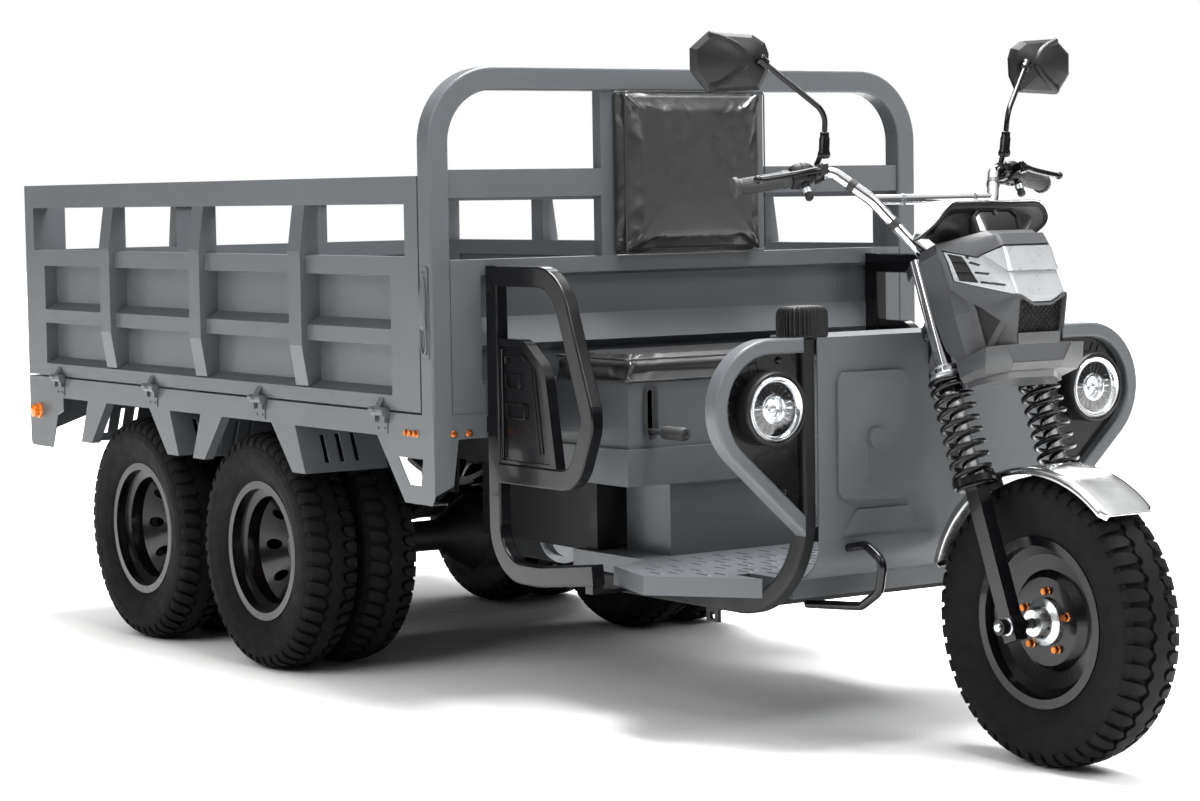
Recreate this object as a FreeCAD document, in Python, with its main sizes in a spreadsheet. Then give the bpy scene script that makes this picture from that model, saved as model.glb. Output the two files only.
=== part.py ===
import FreeCAD, Part
import math
import os
import Sketcher
from FreeCAD import Placement, Rotation, Vector

# Electric cargo trike: one steered wheel in front, two driven axles with twin wheels
# under a flat cargo bed.
# The front points along +X, the left side along +Y and up is +Z. The origin lies on the
# ground, under the middle of the overall length. All sizes are millimetres and degrees.

SIZES = (
    ("overall_length", 3600, "front tread of the front tyre to the tailgate hinges"),
    ("rear_overhang", 626, "tailgate hinges to the last driven axle"),
    ("axle_spacing", 645, "first driven axle to the second"),
    ("tyre_radius", 284, "axle to the flat of the tread"),
    ("tyre_width", 136, "section width of a tyre"),
    ("bead_radius", 153, "bore of the tyre, on the rim seat"),
    ("tyre_fit", 0.3, "gap between a rim seat and its tyre"),
    ("rim_width", 100, "between the outer faces of the rim flanges"),
    ("rim_flange", 167, "radius of the rim flange"),
    ("rim_wall", 4, "thickness of the pressed rim"),
    ("twin_spacing", 160, "between the middles of a pair of tyres"),
    ("twin_plane", 594, "vehicle centre to the middle of an outer tyre"),
    ("hub_radius", 62, "wheel hub flange"),
    ("hub_bore", 20, "axle hole of a hub"),
    ("axle_tube", 38, "radius of a drive axle tube"),
    ("drive_bulge", 95, "radius of a differential housing"),
    ("bed_length", 2105, "length of the bed frame"),
    ("bed_width", 1350, "over the bed frame rails"),
    ("bed_underside", 600, "height of the bed rail underside"),
    ("bed_rail_height", 53, "height of the bed rails"),
    ("bed_rail_width", 50, "width of the bed rails"),
    ("floor_plate", 3, "thickness of the bed floor"),
    ("board_gap", 2, "gap under and beside the drop boards"),
    ("board_top", 1165, "height of the top of the boards"),
    ("board_rail", 60, "height of the top rail of a board"),
    ("board_depth", 42, "thickness of a drop board"),
    ("board_skin", 3, "thickness of the pressed board panel"),
    ("board_recess", 34, "how far the panel lies behind the board face"),
    ("board_panel_top", 992, "height of the panel top, under the board's open windows"),
    ("board_ledge", 799, "height of the foot of the middle ledge of a board"),
    ("board_border", 118, "width of the flat border beside the pressed panel"),
    ("board_rib_pitch", 504, "between the ribs of a side board"),
    ("board_rib_width", 58, "width of an upright rib"),
    ("board_rib_bulge", 15, "how far the ribs stand out at mid height"),
    ("board_end_strip", 54, "width of the end strips of a board"),
    ("hinge_offset", 12, "hinge axis outside the board face"),
    ("hinge_radius", 7, "outer radius of a hinge barrel"),
    ("hinge_pin", 3.5, "radius of a hinge pin"),
    ("hinge_length", 60, "length of a hinge barrel"),
    ("running_gap", 0.1, "clearance of pins and seats that move"),
    ("seat_gap", 0.3, "clearance of pieces that rest against each other"),
    ("hoop_tube", 50, "square tube of the headboard hoop"),
    ("hoop_top", 1397, "height of the top of the headboard"),
    ("hoop_radius", 165, "outer corner radius of the headboard hoop"),
    ("panel_top", 984, "height of the top of the headboard panel"),
    ("ledge_top", 858, "upper edge of the pressed ledge in the headboard"),
    ("ledge_low", 800, "lower edge of the pressed ledge in the headboard"),
    ("crossbar_low", 1117, "underside of the headboard crossbar"),
    ("crossbar_top", 1177, "top of the headboard crossbar"),
    ("post_spacing", 412, "between the middles of the backrest posts"),
    ("rail_height", 90, "height of the chassis rails"),
    ("rail_width", 50, "width of the chassis rails"),
    ("rail_spacing", 600, "between the middles of the chassis rails"),
    ("rail_wall", 4, "web and flange thickness of the rails"),
    ("leaf_width", 50, "width of the spring leaves"),
    ("leaf_thickness", 7, "thickness of one spring leaf"),
    ("leaf_span", 560, "eye to eye length of a leaf spring"),
    ("leaf_eye_height", 436, "height of the spring eyes"),
    ("mud_plate_depth", 220, "how far the slotted mud plates reach in from the side"),
    ("skirt_depth", 2.5, "sheet thickness of the skirts and mudguards"),
    ("frame_outer", 684, "width over the floor tubes and shield frame"),
    ("frame_tube_width", 34, "width of the flattened frame tube"),
    ("frame_tube_depth", 40, "depth of the flattened frame tube"),
    ("cross_tube", 30, "side of the square tubes across the shield frame"),
    ("frame_bend", 200, "centre radius of the shield frame bend"),
    ("lug_bore", 9, "radius of the tow lug's hole"),
    ("floor_height", 346, "height of the footwell floor"),
    ("pan_depth", 39, "depth of the folded floor pan"),
    ("sheet", 3, "sheet thickness of floor pan, seat box and shield"),
    ("shield_top", 830, "height of the top of the front shield"),
    ("shield_low", 430, "where the shield starts to curve back"),
    ("shield_gap", 290, "shield face behind the steering head at the axle height"),
    ("emboss", 8, "height of the pressed shapes in the shield"),
    ("hoop_centre_y", 425, "sideways place of a headlamp hoop"),
    ("hoop_centre_z", 700, "height of a headlamp hoop"),
    ("lamp_hoop_radius", 120, "centre radius of a headlamp hoop"),
    ("lamp_hoop_tube", 30, "width of the hoop tube seen from the front"),
    ("lamp_radius", 74, "outer radius of a headlamp bezel"),
    ("lamp_depth", 62, "depth of a headlamp"),
    ("seat_depth", 272, "front to back size of the seat box"),
    ("seat_width", 732, "width of the seat box"),
    ("seat_box_top", 721, "height of the top of the seat box"),
    ("seat_flange_top", 580, "height of the top of the seat flange band"),
    ("seat_flange_low", 502, "height of the foot of the seat flange band"),
    ("seat_flange_lip", 12, "how far the flange band stands out"),
    ("cabinet_width", 520, "width of the battery cabinet under the seat"),
    ("cushion_height", 62, "thickness of the seat cushion"),
    ("cushion_lip", 6, "how far the cushion stands over the seat box"),
    ("backrest_width", 390, "width of the backrest pad"),
    ("backrest_low", 985, "height of the foot of the backrest pad"),
    ("backrest_depth", 60, "thickness of the backrest pad"),
    ("pad_crown", 14, "height of the crowned top of a pad"),
    ("guard_plane", 528, "vehicle centre to the middle of a seat guard"),
    ("guard_tube", 30, "width of the guard tube across the vehicle"),
    ("guard_face", 44, "depth of the guard tube in its own plane"),
    ("rake", 21, "degrees between the fork and the vertical"),
    ("fork_spacing", 230, "between the middles of the fork legs"),
    ("fork_offset", 50, "steering axis behind the fork legs"),
    ("fork_tube", 17, "radius of the bright fork tubes"),
    ("fork_leg_face", 34, "width of the lower fork legs"),
    ("fork_leg_side", 30, "thickness of the lower fork legs"),
    ("leg_top", 282, "axle to the top of the lower legs"),
    ("spring_low", 296, "axle to the lower end of the springs"),
    ("spring_high", 500, "axle to the upper end of the springs"),
    ("spring_radius", 42, "outer radius of the fork springs"),
    ("spring_wire", 10, "wire diameter of the fork springs"),
    ("spring_turns", 8, "turns of a fork spring"),
    ("collar_height", 18, "height of a spring collar"),
    ("crown_low", 600, "axle to the lower fork crown"),
    ("crown_high", 722, "axle to the upper fork crown"),
    ("crown_plate", 22, "thickness of a fork crown"),
    ("head_radius", 27, "outer radius of the steering head"),
    ("stem_radius", 14, "radius of the steering stem"),
    ("axle_radius", 9, "radius of the front axle"),
    ("bar_radius", 12, "radius of the handlebar"),
    ("grip_radius", 17, "radius of the rubber grips"),
    ("bar_half_width", 410, "vehicle centre to a handlebar end"),
    ("fender_radius", 300, "inner radius of the front mudguard"),
    ("fender_sheet", 2.5, "thickness of the front mudguard"),
    ("fender_width", 136, "width of the front mudguard"),
)


class Size:
    """A number that remembers its formula, so that a property can be bound to it."""

    def __init__(self, formula, number):
        self.formula = formula
        self.number = float(number)

    def __float__(self):
        return self.number

    def __neg__(self):
        return Size("(-" + self.formula + ")", -self.number)

    def __add__(self, other):
        return Size("(" + self.formula + " + " + text(other) + ")", self.number + float(other))

    def __radd__(self, other):
        return Size("(" + text(other) + " + " + self.formula + ")", float(other) + self.number)

    def __sub__(self, other):
        return Size("(" + self.formula + " - " + text(other) + ")", self.number - float(other))

    def __rsub__(self, other):
        return Size("(" + text(other) + " - " + self.formula + ")", float(other) - self.number)

    def __mul__(self, other):
        return Size("(" + self.formula + " * " + text(other) + ")", self.number * float(other))

    __rmul__ = __mul__

    def __truediv__(self, other):
        return Size("(" + self.formula + " / " + text(other) + ")", self.number / float(other))


def text(value):
    """The formula of a size, or a plain number as text."""
    return value.formula if isinstance(value, Size) else repr(float(value))


doc = FreeCAD.newDocument("cargo_trike")
sheet = doc.addObject("Spreadsheet::Sheet", "sizes")
for row, (alias, value, note) in enumerate(SIZES, start=1):
    sheet.set("A%d" % row, note)
    sheet.set("B%d" % row, str(value))
    sheet.setAlias("B%d" % row, alias)
doc.recompute()
s = type("Sizes", (), {alias: Size("sizes." + alias, sheet.get(alias)) for alias, _, _ in SIZES})
nodes = []


# Places that several sub-parts share

REAR_X = -s.overall_length / 2 + s.hinge_offset + s.hinge_radius
BED_FRONT_X = REAR_X + s.bed_length
FRONT_AXLE_X = s.overall_length / 2 - s.tyre_radius
LAST_AXLE_X = -s.overall_length / 2 + s.rear_overhang
DRIVE_AXLES_X = (LAST_AXLE_X + s.axle_spacing, LAST_AXLE_X)
BED_HALF = s.bed_width / 2
BED_TOP = s.bed_underside + s.bed_rail_height + s.floor_plate
BOARD_FOOT = BED_TOP + s.board_gap
SEAT_BACK_X = BED_FRONT_X + 10
SEAT_FRONT_X = SEAT_BACK_X + s.seat_depth
SHIELD_X = FRONT_AXLE_X - s.fork_offset - s.shield_gap - 6
HOOP_BACK_X = BED_FRONT_X - s.hoop_tube
FLOOR_TUBE_Z = s.floor_height - s.pan_depth - s.frame_tube_depth / 2
RAIL_TOP = s.bed_underside
RAIL_FOOT = s.bed_underside - s.rail_height
FRAME_Y = s.frame_outer / 2 - s.frame_tube_width / 2
UPRIGHT_X = (BED_FRONT_X + 60, BED_FRONT_X + 100)
RAIL_FRONT_X = BED_FRONT_X + 130
LEVER_Y = -s.seat_width / 2 + 56


def keep(name, thing):
    """Hands a finished object over as a node with its own label."""
    thing.Label = name
    nodes.append((name, thing))
    return thing


def bind(thing, **rules):
    """Binds properties to formulas; two underscores in a name stand for a dot."""
    for name, rule in rules.items():
        thing.setExpression(name.replace("__", "."), text(rule))


def place(thing, x=0, y=0, z=0):
    """Binds the place of a thing."""
    bind(thing, Placement__Base__x=x, Placement__Base__y=y, Placement__Base__z=z)
    return thing


def block(name, xs, ys, zs):
    """A box between two values along each axis."""
    thing = doc.addObject("Part::Box", name)
    bind(thing, Length=xs[1] - xs[0], Width=ys[1] - ys[0], Height=zs[1] - zs[0])
    return place(thing, xs[0], ys[0], zs[0])


TURNS = {"x": Rotation(Vector(0, 1, 0), 90), "y": Rotation(Vector(1, 0, 0), -90), "z": Rotation()}


def rod(name, axis, radius, length, x=0, y=0, z=0):
    """A cylinder that starts at a point and runs along an axis."""
    thing = doc.addObject("Part::Cylinder", name)
    thing.Placement = Placement(Vector(), TURNS[axis])
    bind(thing, Radius=radius, Height=length)
    return place(thing, x, y, z)


def cut(name, base, tool):
    """One thing with another taken away."""
    thing = doc.addObject("Part::Cut", name)
    thing.Base = base
    thing.Tool = tool
    return thing


def fuse(name, *things):
    """Several things that meet, as one solid."""
    thing = doc.addObject("Part::MultiFuse", name)
    thing.Shapes = list(things)
    thing.Refine = True
    return thing


def group(name, *things):
    """Several things as separate solids of one object."""
    thing = doc.addObject("Part::Compound", name)
    thing.Links = list(things)
    return thing


def mirror(name, source):
    """The same thing on the other side of the vehicle."""
    thing = doc.addObject("Part::Mirroring", name)
    thing.Source = source
    thing.Normal = Vector(0, 1, 0)
    return thing


def pair(name, source):
    """A thing and its mirror image as two solids."""
    return group(name, source, mirror(name + "_other", source))


def shape(name, solid):
    """An object that holds a shape worked out from the sheet."""
    thing = doc.addObject("Part::Feature", name)
    thing.Shape = solid
    return thing


def body(name):
    return doc.addObject("PartDesign::Body", name)


PLANES = {"XY": "XY_Plane", "XZ": "XZ_Plane", "YZ": "YZ_Plane"}


def sketch(owner, name, plane, offset=0):
    """An empty sketch on one of the body's own planes, moved along the plane's normal."""
    drawing = owner.newObject("Sketcher::SketchObject", name)
    origin = [item for item in owner.Origin.OriginFeatures if item.Role == PLANES[plane]]
    drawing.AttachmentSupport = (origin[0], [""])
    drawing.MapMode = "FlatFace"
    drawing.setExpression("AttachmentOffset.Base.z", text(offset))
    return drawing


def polygon(drawing, corners):
    """A closed outline of straight lines whose corners are bound to their formulas."""
    count = len(corners)
    flat = [Vector(float(u), float(w), 0) for u, w in corners]
    first = drawing.GeometryCount
    for number in range(count):
        drawing.addGeometry(Part.LineSegment(flat[number], flat[(number + 1) % count]))
    for number in range(count):
        here = first + number
        drawing.addConstraint(
            Sketcher.Constraint("Coincident", here, 2, first + (number + 1) % count, 1)
        )
        for kind, value in (("DistanceX", corners[number][0]), ("DistanceY", corners[number][1])):
            rule = drawing.addConstraint(
                Sketcher.Constraint(kind, -1, 1, here, 1, float(value))
            )
            if isinstance(value, Size):
                drawing.setExpression("Constraints[%d]" % rule, value.formula)
    return drawing


def rounded(corners):
    """Lines and arcs of a closed outline; each corner is x, y and its radius."""
    flat = [(Vector(float(u), float(w), 0), float(radius)) for u, w, radius in corners]
    ends = []
    for number, (corner, radius) in enumerate(flat):
        before = (flat[number - 1][0] - corner).normalize()
        after = (flat[(number + 1) % len(flat)][0] - corner).normalize()
        if radius == 0:
            ends.append((corner, None, corner))
            continue
        half = before.getAngle(after) / 2
        reach = radius / math.tan(half)
        middle = (before + after).normalize()
        deep = corner + middle * (radius / math.sin(half) - radius)
        ends.append((corner + before * reach, deep, corner + after * reach))
    pieces = []
    for number, (start, deep, end) in enumerate(ends):
        if deep is not None:
            pieces.append(Part.Arc(start, deep, end))
        following = ends[(number + 1) % len(ends)][0]
        if (following - end).Length > 0.001:
            pieces.append(Part.LineSegment(end, following))
    return pieces


def draw(drawing, pieces):
    """Puts lines, arcs and circles into a sketch."""
    for piece in pieces:
        drawing.addGeometry(piece)
    return drawing


def pad(owner, drawing, length, both=False, back=False):
    """A pad of a sketch along its normal."""
    feature = owner.newObject("PartDesign::Pad", drawing.Name + "_pad")
    feature.Profile = drawing
    bind(feature, Length=length)
    feature.Midplane = both
    feature.Reversed = back
    return feature


def pocket(owner, drawing, length, both=False, back=False):
    """A pocket of a sketch along its normal, both ways or one way."""
    feature = owner.newObject("PartDesign::Pocket", drawing.Name + "_pocket")
    feature.Profile = drawing
    bind(feature, Length=length)
    feature.Midplane = both
    feature.Reversed = back
    return feature


def revolve(owner, drawing, axis="H_Axis"):
    """A full turn of a sketch about one of its own axes."""
    feature = owner.newObject("PartDesign::Revolution", drawing.Name + "_turn")
    feature.Profile = drawing
    feature.ReferenceAxis = (drawing, [axis])
    feature.Angle = 360
    return feature


def shaped(name, plane, offset, corners, length, both=True):
    """A body with one outline with rounded corners, padded."""
    owner = body(name)
    drawing = draw(sketch(owner, name + "_outline", plane, offset), rounded(corners))
    pad(owner, drawing, length, both)
    return owner


def bent_path(points, radii):
    """A path of straight runs joined by tangent arcs."""
    spots = [Vector(*[float(value) for value in point]) for point in points]
    edges = []
    last = spots[0]
    for number in range(1, len(spots) - 1):
        corner = spots[number]
        before = (spots[number - 1] - corner).normalize()
        after = (spots[number + 1] - corner).normalize()
        half = before.getAngle(after) / 2
        reach = float(radii[number - 1]) / math.tan(half)
        start = corner + before * reach
        end = corner + after * reach
        middle = (before + after).normalize()
        deep = corner + middle * (float(radii[number - 1]) / math.sin(half) - float(radii[number - 1]))
        if (start - last).Length > 0.001:
            edges.append(Part.LineSegment(last, start).toShape())
        edges.append(Part.Arc(start, deep, end).toShape())
        last = end
    if (spots[-1] - last).Length > 0.001:
        edges.append(Part.LineSegment(last, spots[-1]).toShape())
    return Part.Wire(edges)


def frame_at_start(path):
    """The start of a path and its direction there."""
    edge = path.Edges[0]
    start = edge.valueAt(edge.FirstParameter)
    return start, edge.tangentAt(edge.FirstParameter).normalize()


def swept(path, section):
    """A solid along a path from a closed section wire at its start."""
    solid = path.makePipeShell([section], True, False, 1)
    return solid


def round_section(path, radius):
    start, along = frame_at_start(path)
    return Part.Wire(Part.Circle(start, along, float(radius)).toShape())


def box_section(path, across, face, depth, corner=0):
    """A rectangle at the start of a path: face along the across direction, depth the other way."""
    start, along = frame_at_start(path)
    side = Vector(*across).normalize()
    other = along.cross(side).normalize()
    half_face, half_depth = float(face) / 2, float(depth) / 2
    outline = rounded([
        (half_face, half_depth, corner),
        (-half_face, half_depth, corner),
        (-half_face, -half_depth, corner),
        (half_face, -half_depth, corner),
    ])
    wire = Part.Wire([piece.toShape() for piece in outline])
    turn = FreeCAD.Matrix(
        side.x, other.x, along.x, start.x,
        side.y, other.y, along.y, start.y,
        side.z, other.z, along.z, start.z,
        0, 0, 0, 1,
    )
    return wire.transformGeometry(turn)


def round_tube(points, radii, radius):
    path = bent_path(points, radii)
    return swept(path, round_section(path, radius))


def box_tube(points, radii, across, face, depth, corner=0):
    path = bent_path(points, radii)
    return swept(path, box_section(path, across, face, depth, corner))


# Chassis

def chassis_rails():
    """Two long rails with a step to the front and five crossmembers."""
    parts = []
    rear, front = REAR_X + 20, RAIL_FRONT_X
    for side, y in (("right", -s.rail_spacing / 2), ("left", s.rail_spacing / 2)):
        edges = (y - s.rail_width / 2, y + s.rail_width / 2)
        rail = block("rail_" + side, (rear, front), edges, (RAIL_FOOT, RAIL_TOP - s.seat_gap))
        inner = (y - s.rail_width / 2 + s.rail_wall, y + s.rail_width)
        if side == "left":
            inner = (y - s.rail_width, y + s.rail_width / 2 - s.rail_wall)
        channel = (RAIL_FOOT + s.rail_wall, RAIL_TOP - s.seat_gap - s.rail_wall)
        hollow = block("rail_hollow_" + side, (rear - 1, front + 1), inner, channel)
        parts.append(cut("rail_channel_" + side, rail, hollow))
    web = s.rail_spacing / 2 + s.rail_width / 2 - s.rail_wall
    span = (-web, web)
    for number, x in enumerate((
        rear, DRIVE_AXLES_X[1] - 20, DRIVE_AXLES_X[0] - s.axle_spacing / 2 - 20,
        DRIVE_AXLES_X[0] - 20, BED_FRONT_X - 260, front - 40,
    )):
        member = block("crossmember_%d" % number, (x, x + 40), span, (RAIL_FOOT + 20, RAIL_TOP - 20))
        parts.append(member)
    return fuse("chassis_rails", *parts)


def side_frame(sign):
    """The shield upright, its bend and the floor tube of one side."""
    y = sign * FRAME_Y.number
    tube_x = (SHIELD_X - s.sheet - s.frame_tube_depth / 2).number
    points = (
        (tube_x, y, s.shield_top), (tube_x, y, FLOOR_TUBE_Z),
        (BED_FRONT_X.number + 60, y, FLOOR_TUBE_Z),
    )
    return box_tube(points, (s.frame_bend,), (0, 1, 0), s.frame_tube_width, s.frame_tube_depth, 8)


def front_subframe():
    """Bent side frames, floor tubes, uprights to the chassis and the towing lug."""
    parts = [shape("side_frame_right", side_frame(-1)), shape("side_frame_left", side_frame(1))]
    span = (-FRAME_Y, FRAME_Y)
    low = (FLOOR_TUBE_Z - s.frame_tube_depth / 2, FLOOR_TUBE_Z + s.frame_tube_depth / 2)
    for number, x in enumerate((BED_FRONT_X + 60, SEAT_FRONT_X + 60, SHIELD_X - 300)):
        parts.append(block("floor_cross_%d" % number, (x, x + 40), span, low))
    rise = (low[0], RAIL_FOOT - s.seat_gap)
    for side, y in (("right", -s.rail_spacing / 2), ("left", s.rail_spacing / 2)):
        edges = (y - s.rail_width / 2, y + s.rail_width / 2)
        parts.append(block("upright_" + side, UPRIGHT_X, edges, rise))
    lug_x = SHIELD_X - 320
    plate = block("tow_lug_plate", (lug_x - 20, lug_x + 20), (-334, -326), (low[0] - 28, low[0] + 2))
    parts.append(cut("tow_lug", plate, rod("tow_lug_hole", "y", s.lug_bore, 20, lug_x, -340, low[0] - 15)))
    return fuse("front_subframe", *parts)


# How far behind the steering axis the turned lower crown reaches under the neck.
NECK_REACH = 52


def steering_frame():
    """Cross tubes behind the shield and the steering head, let in between the side frames."""
    tube_x = SHIELD_X - s.sheet - s.frame_tube_depth / 2
    top = s.shield_top
    depth = (tube_x - s.cross_tube / 2, tube_x + s.cross_tube / 2)
    inside = FRAME_Y - s.frame_tube_width / 2
    span = (-inside, inside)
    parts = [
        block("shield_top_tube", depth, span, (top - s.cross_tube, top)),
        block("shield_mid_tube", depth, span, (s.shield_low, s.shield_low + s.cross_tube)),
    ]
    lean = math.radians(float(s.rake))
    foot = head_point(float(s.crown_low) + float(s.crown_plate) + 2)
    crest = head_point(float(s.crown_high) - 2)
    head = Part.makeCylinder(
        float(s.head_radius), (crest - foot).Length, foot, Vector(-math.sin(lean), 0, math.cos(lean))
    )
    bore = Part.makeCylinder(
        float(s.stem_radius) + float(s.running_gap), (crest - foot).Length + 20,
        foot - Vector(-math.sin(lean), 0, math.cos(lean)) * 10,
        Vector(-math.sin(lean), 0, math.cos(lean)),
    )
    behind = head_point(float(s.crown_low) + float(s.crown_plate) + 4)
    behind -= Vector(math.cos(lean), 0, math.sin(lean)) * NECK_REACH
    gusset = Part.makePolygon([
        Vector(tube_x.number, -20, float(top) - 120), Vector(tube_x.number, -20, float(top) - 4),
        Vector(crest.x - 20, -20, crest.z - 10), Vector(foot.x, -20, foot.z + 12),
        Vector(behind.x, -20, behind.z), Vector(tube_x.number, -20, float(top) - 120),
    ])
    neck = Part.Face(gusset).extrude(Vector(0, 40, 0))
    parts.append(shape("steering_neck", head.fuse(neck).cut(bore).removeSplitter()))
    return fuse("steering_frame", *parts)


def head_point(height):
    """A point of the steering axis, given by its distance along the fork from the axle."""
    lean = math.radians(float(s.rake))
    return Vector(
        FRONT_AXLE_X.number - float(s.fork_offset) * math.cos(lean) - height * math.sin(lean), 0,
        float(s.tyre_radius) - float(s.fork_offset) * math.sin(lean) + height * math.cos(lean),
    )


# Cargo bed

def bed_frame():
    """Ladder frame of the bed with its floor plate, in one welded piece."""
    owner = body("bed_frame")
    frame = sketch(owner, "bed_ladder", "XY", s.bed_underside)
    polygon(frame, [
        (REAR_X, -BED_HALF), (BED_FRONT_X, -BED_HALF), (BED_FRONT_X, BED_HALF), (REAR_X, BED_HALF),
    ])
    bays = 4
    rail = s.bed_rail_width
    pitch = (s.bed_length - rail) / bays
    for number in range(bays):
        start = REAR_X + rail + pitch * number
        end = start + pitch - rail
        for low, high in ((-BED_HALF + rail, -rail / 2), (rail / 2, BED_HALF - rail)):
            polygon(frame, [(start, low), (end, low), (end, high), (start, high)])
    pad(owner, frame, s.bed_rail_height)
    inner = BED_HALF - s.board_depth - s.board_gap
    deck = sketch(owner, "bed_deck", "XY", s.bed_underside + s.bed_rail_height)
    front = BED_FRONT_X - s.hoop_tube - s.board_gap
    back = REAR_X + s.board_depth + s.board_gap
    polygon(deck, [(back, -inner), (front, -inner), (front, inner), (back, inner)])
    pad(owner, deck, s.floor_plate)
    return owner


def headboard_hoop():
    """Square tube hoop round the headboard, standing on the bed rails."""
    y = BED_HALF.number - float(s.hoop_tube) / 2
    x = BED_FRONT_X.number - float(s.hoop_tube) / 2
    foot = (s.bed_underside + s.bed_rail_height).number
    top = float(s.hoop_top) - float(s.hoop_tube) / 2
    bend = float(s.hoop_radius) - float(s.hoop_tube) / 2
    points = ((x, -y, foot), (x, -y, top), (x, y, top), (x, y, foot))
    return box_tube(points, (bend, bend), (1, 0, 0), s.hoop_tube, s.hoop_tube, 5)


def headboard_panel():
    """Pressed panel between the posts: box rails, sloped recesses and a ledge."""
    owner = body("headboard_panel")
    inner = BED_HALF - s.hoop_tube
    front, back = BED_FRONT_X - 2, BED_FRONT_X - s.hoop_tube + 2
    foot = s.bed_underside + s.bed_rail_height
    rail = s.panel_top - 34
    recess = front - 34
    low_rail = foot + 62
    outline = sketch(owner, "headboard_outline", "XZ")
    polygon(outline, [
        (back, foot), (front, foot), (front, low_rail), (recess, low_rail + 8),
        (recess, s.ledge_low - 18), (front, s.ledge_low), (recess, s.ledge_top),
        (recess, rail - 8), (front, rail), (front, s.panel_top), (back, s.panel_top),
        (back, rail - 4), (recess - 4, rail - 12), (recess - 4, s.ledge_top - 2),
        (front - 5, s.ledge_low + 1), (recess - 4, s.ledge_low - 16), (recess - 4, low_rail + 6),
        (back, low_rail),
    ])
    pad(owner, outline, inner * 2, True)
    cheek = sketch(owner, "headboard_cheek", "XZ", inner)
    ends = [(recess - 4, low_rail), (front, low_rail), (front, rail), (recess - 4, rail)]
    polygon(cheek, ends)
    strip = pad(owner, cheek, 76, False, False)
    strip.Reversed = True
    other = sketch(owner, "headboard_cheek_left", "XZ", -inner)
    polygon(other, ends)
    pad(owner, other, 76, False, False)
    return owner


def headboard_bars():
    """Crossbar and the two upright posts that carry the backrest."""
    inner = BED_HALF - s.hoop_tube
    front = BED_FRONT_X - 8
    parts = [block("crossbar", (front - 30, front), (-inner, inner), (s.crossbar_low, s.crossbar_top))]
    for side, y in (("right", -s.post_spacing / 2), ("left", s.post_spacing / 2)):
        top = s.hoop_top - s.hoop_tube
        edges = (y - 20, y + 20)
        parts.append(block("backrest_post_" + side, (front - 30, front), edges, (s.panel_top, top)))
    return fuse("headboard_bars", *parts)


def board(name, length, ribs, hinges):
    """A drop board lying along X, its outer face on the XZ plane, its foot at zero height."""
    owner = body(name)
    height = s.board_top - BOARD_FOOT
    depth, skin, recess = s.board_depth, s.board_skin, s.board_recess
    rail = height - s.board_rail
    panel = s.board_panel_top - BOARD_FOOT
    ledge = s.board_ledge - BOARD_FOOT
    outline = sketch(owner, name + "_section", "YZ")
    polygon(outline, [
        (0, 0), (0, 32), (recess, 48), (recess, ledge - 4), (0, ledge), (0, ledge + 35), (recess, ledge + 54),
        (recess, panel - 44), (0, panel - 41), (0, panel), (depth, panel), (depth, panel - 41),
        (recess + skin, panel - 44), (recess + skin, 44), (depth, 34), (depth, 0),
    ])
    pad(owner, outline, length, True)
    top = sketch(owner, name + "_top_rail", "YZ")
    polygon(top, [(0, rail), (0, height), (depth, height), (depth, rail)])
    pad(owner, top, length, True)
    for end, way in (("rear", -1), ("front", 1)):
        for part, width, high in (("strip", s.board_end_strip, height), ("border", s.board_border, panel)):
            frame = sketch(owner, name + "_" + part + "_" + end, "XZ", -depth)
            outer = way * length / 2
            inner = way * (length / 2 - width)
            polygon(frame, [(inner, 0), (outer, 0), (outer, high), (inner, high)])
            pad(owner, frame, depth, False, False)
    bulge = s.board_rib_bulge
    for number, along in enumerate(ribs):
        rib = sketch(owner, name + "_rib_%d" % number, "YZ", along)
        polygon(rib, [
            (recess, 36), (0, 36), (-bulge, 128), (-bulge, panel + 8), (0, rail), (recess, rail),
        ])
        pad(owner, rib, s.board_rib_width, True)
    for number, along in enumerate(hinges):
        leaf = sketch(owner, name + "_leaf_%d" % number, "YZ", along)
        axis_z = -s.board_gap / 2
        polygon(leaf, [
            (-s.hinge_offset, axis_z - s.hinge_radius), (-s.hinge_offset - s.hinge_radius, axis_z),
            (-s.hinge_offset, axis_z + s.hinge_radius), (0, 26), (0, 2), (-s.hinge_offset + 6, axis_z),
        ])
        pad(owner, leaf, s.hinge_length / 3, True)
        hole = sketch(owner, name + "_pin_hole_%d" % number, "YZ", along)
        spot = Vector(-float(s.hinge_offset), axis_z.number, 0)
        circle = Part.Circle(spot, Vector(0, 0, 1), float(s.hinge_pin) + float(s.running_gap))
        draw(hole, [circle])
        pocket(owner, hole, s.hinge_length, True)
    return owner


def hinge(name):
    """The half of a hinge that stays on the bed: two knuckles, a pin and a leaf."""
    third = s.hinge_length / 3
    axis_z = -s.board_gap / 2
    length, out = s.hinge_length, s.hinge_offset
    parts = [rod(name + "_pin", "x", s.hinge_pin, length, -length / 2, -out, axis_z)]
    for side, start in (("rear", -s.hinge_length / 2), ("front", third / 2 + 0.5)):
        knuckle = rod(name + "_knuckle_" + side, "x", s.hinge_radius, third - 0.5, start, -out, axis_z)
        leaf = block(
            name + "_leaf_" + side, (start, start + third - 0.5),
            (-s.hinge_offset, 0), (axis_z - s.hinge_radius - 20, axis_z - s.hinge_radius + 3),
        )
        parts += [knuckle, leaf]
    return fuse(name, *parts)


# Skirts, mudguards and lamps under the bed

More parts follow.
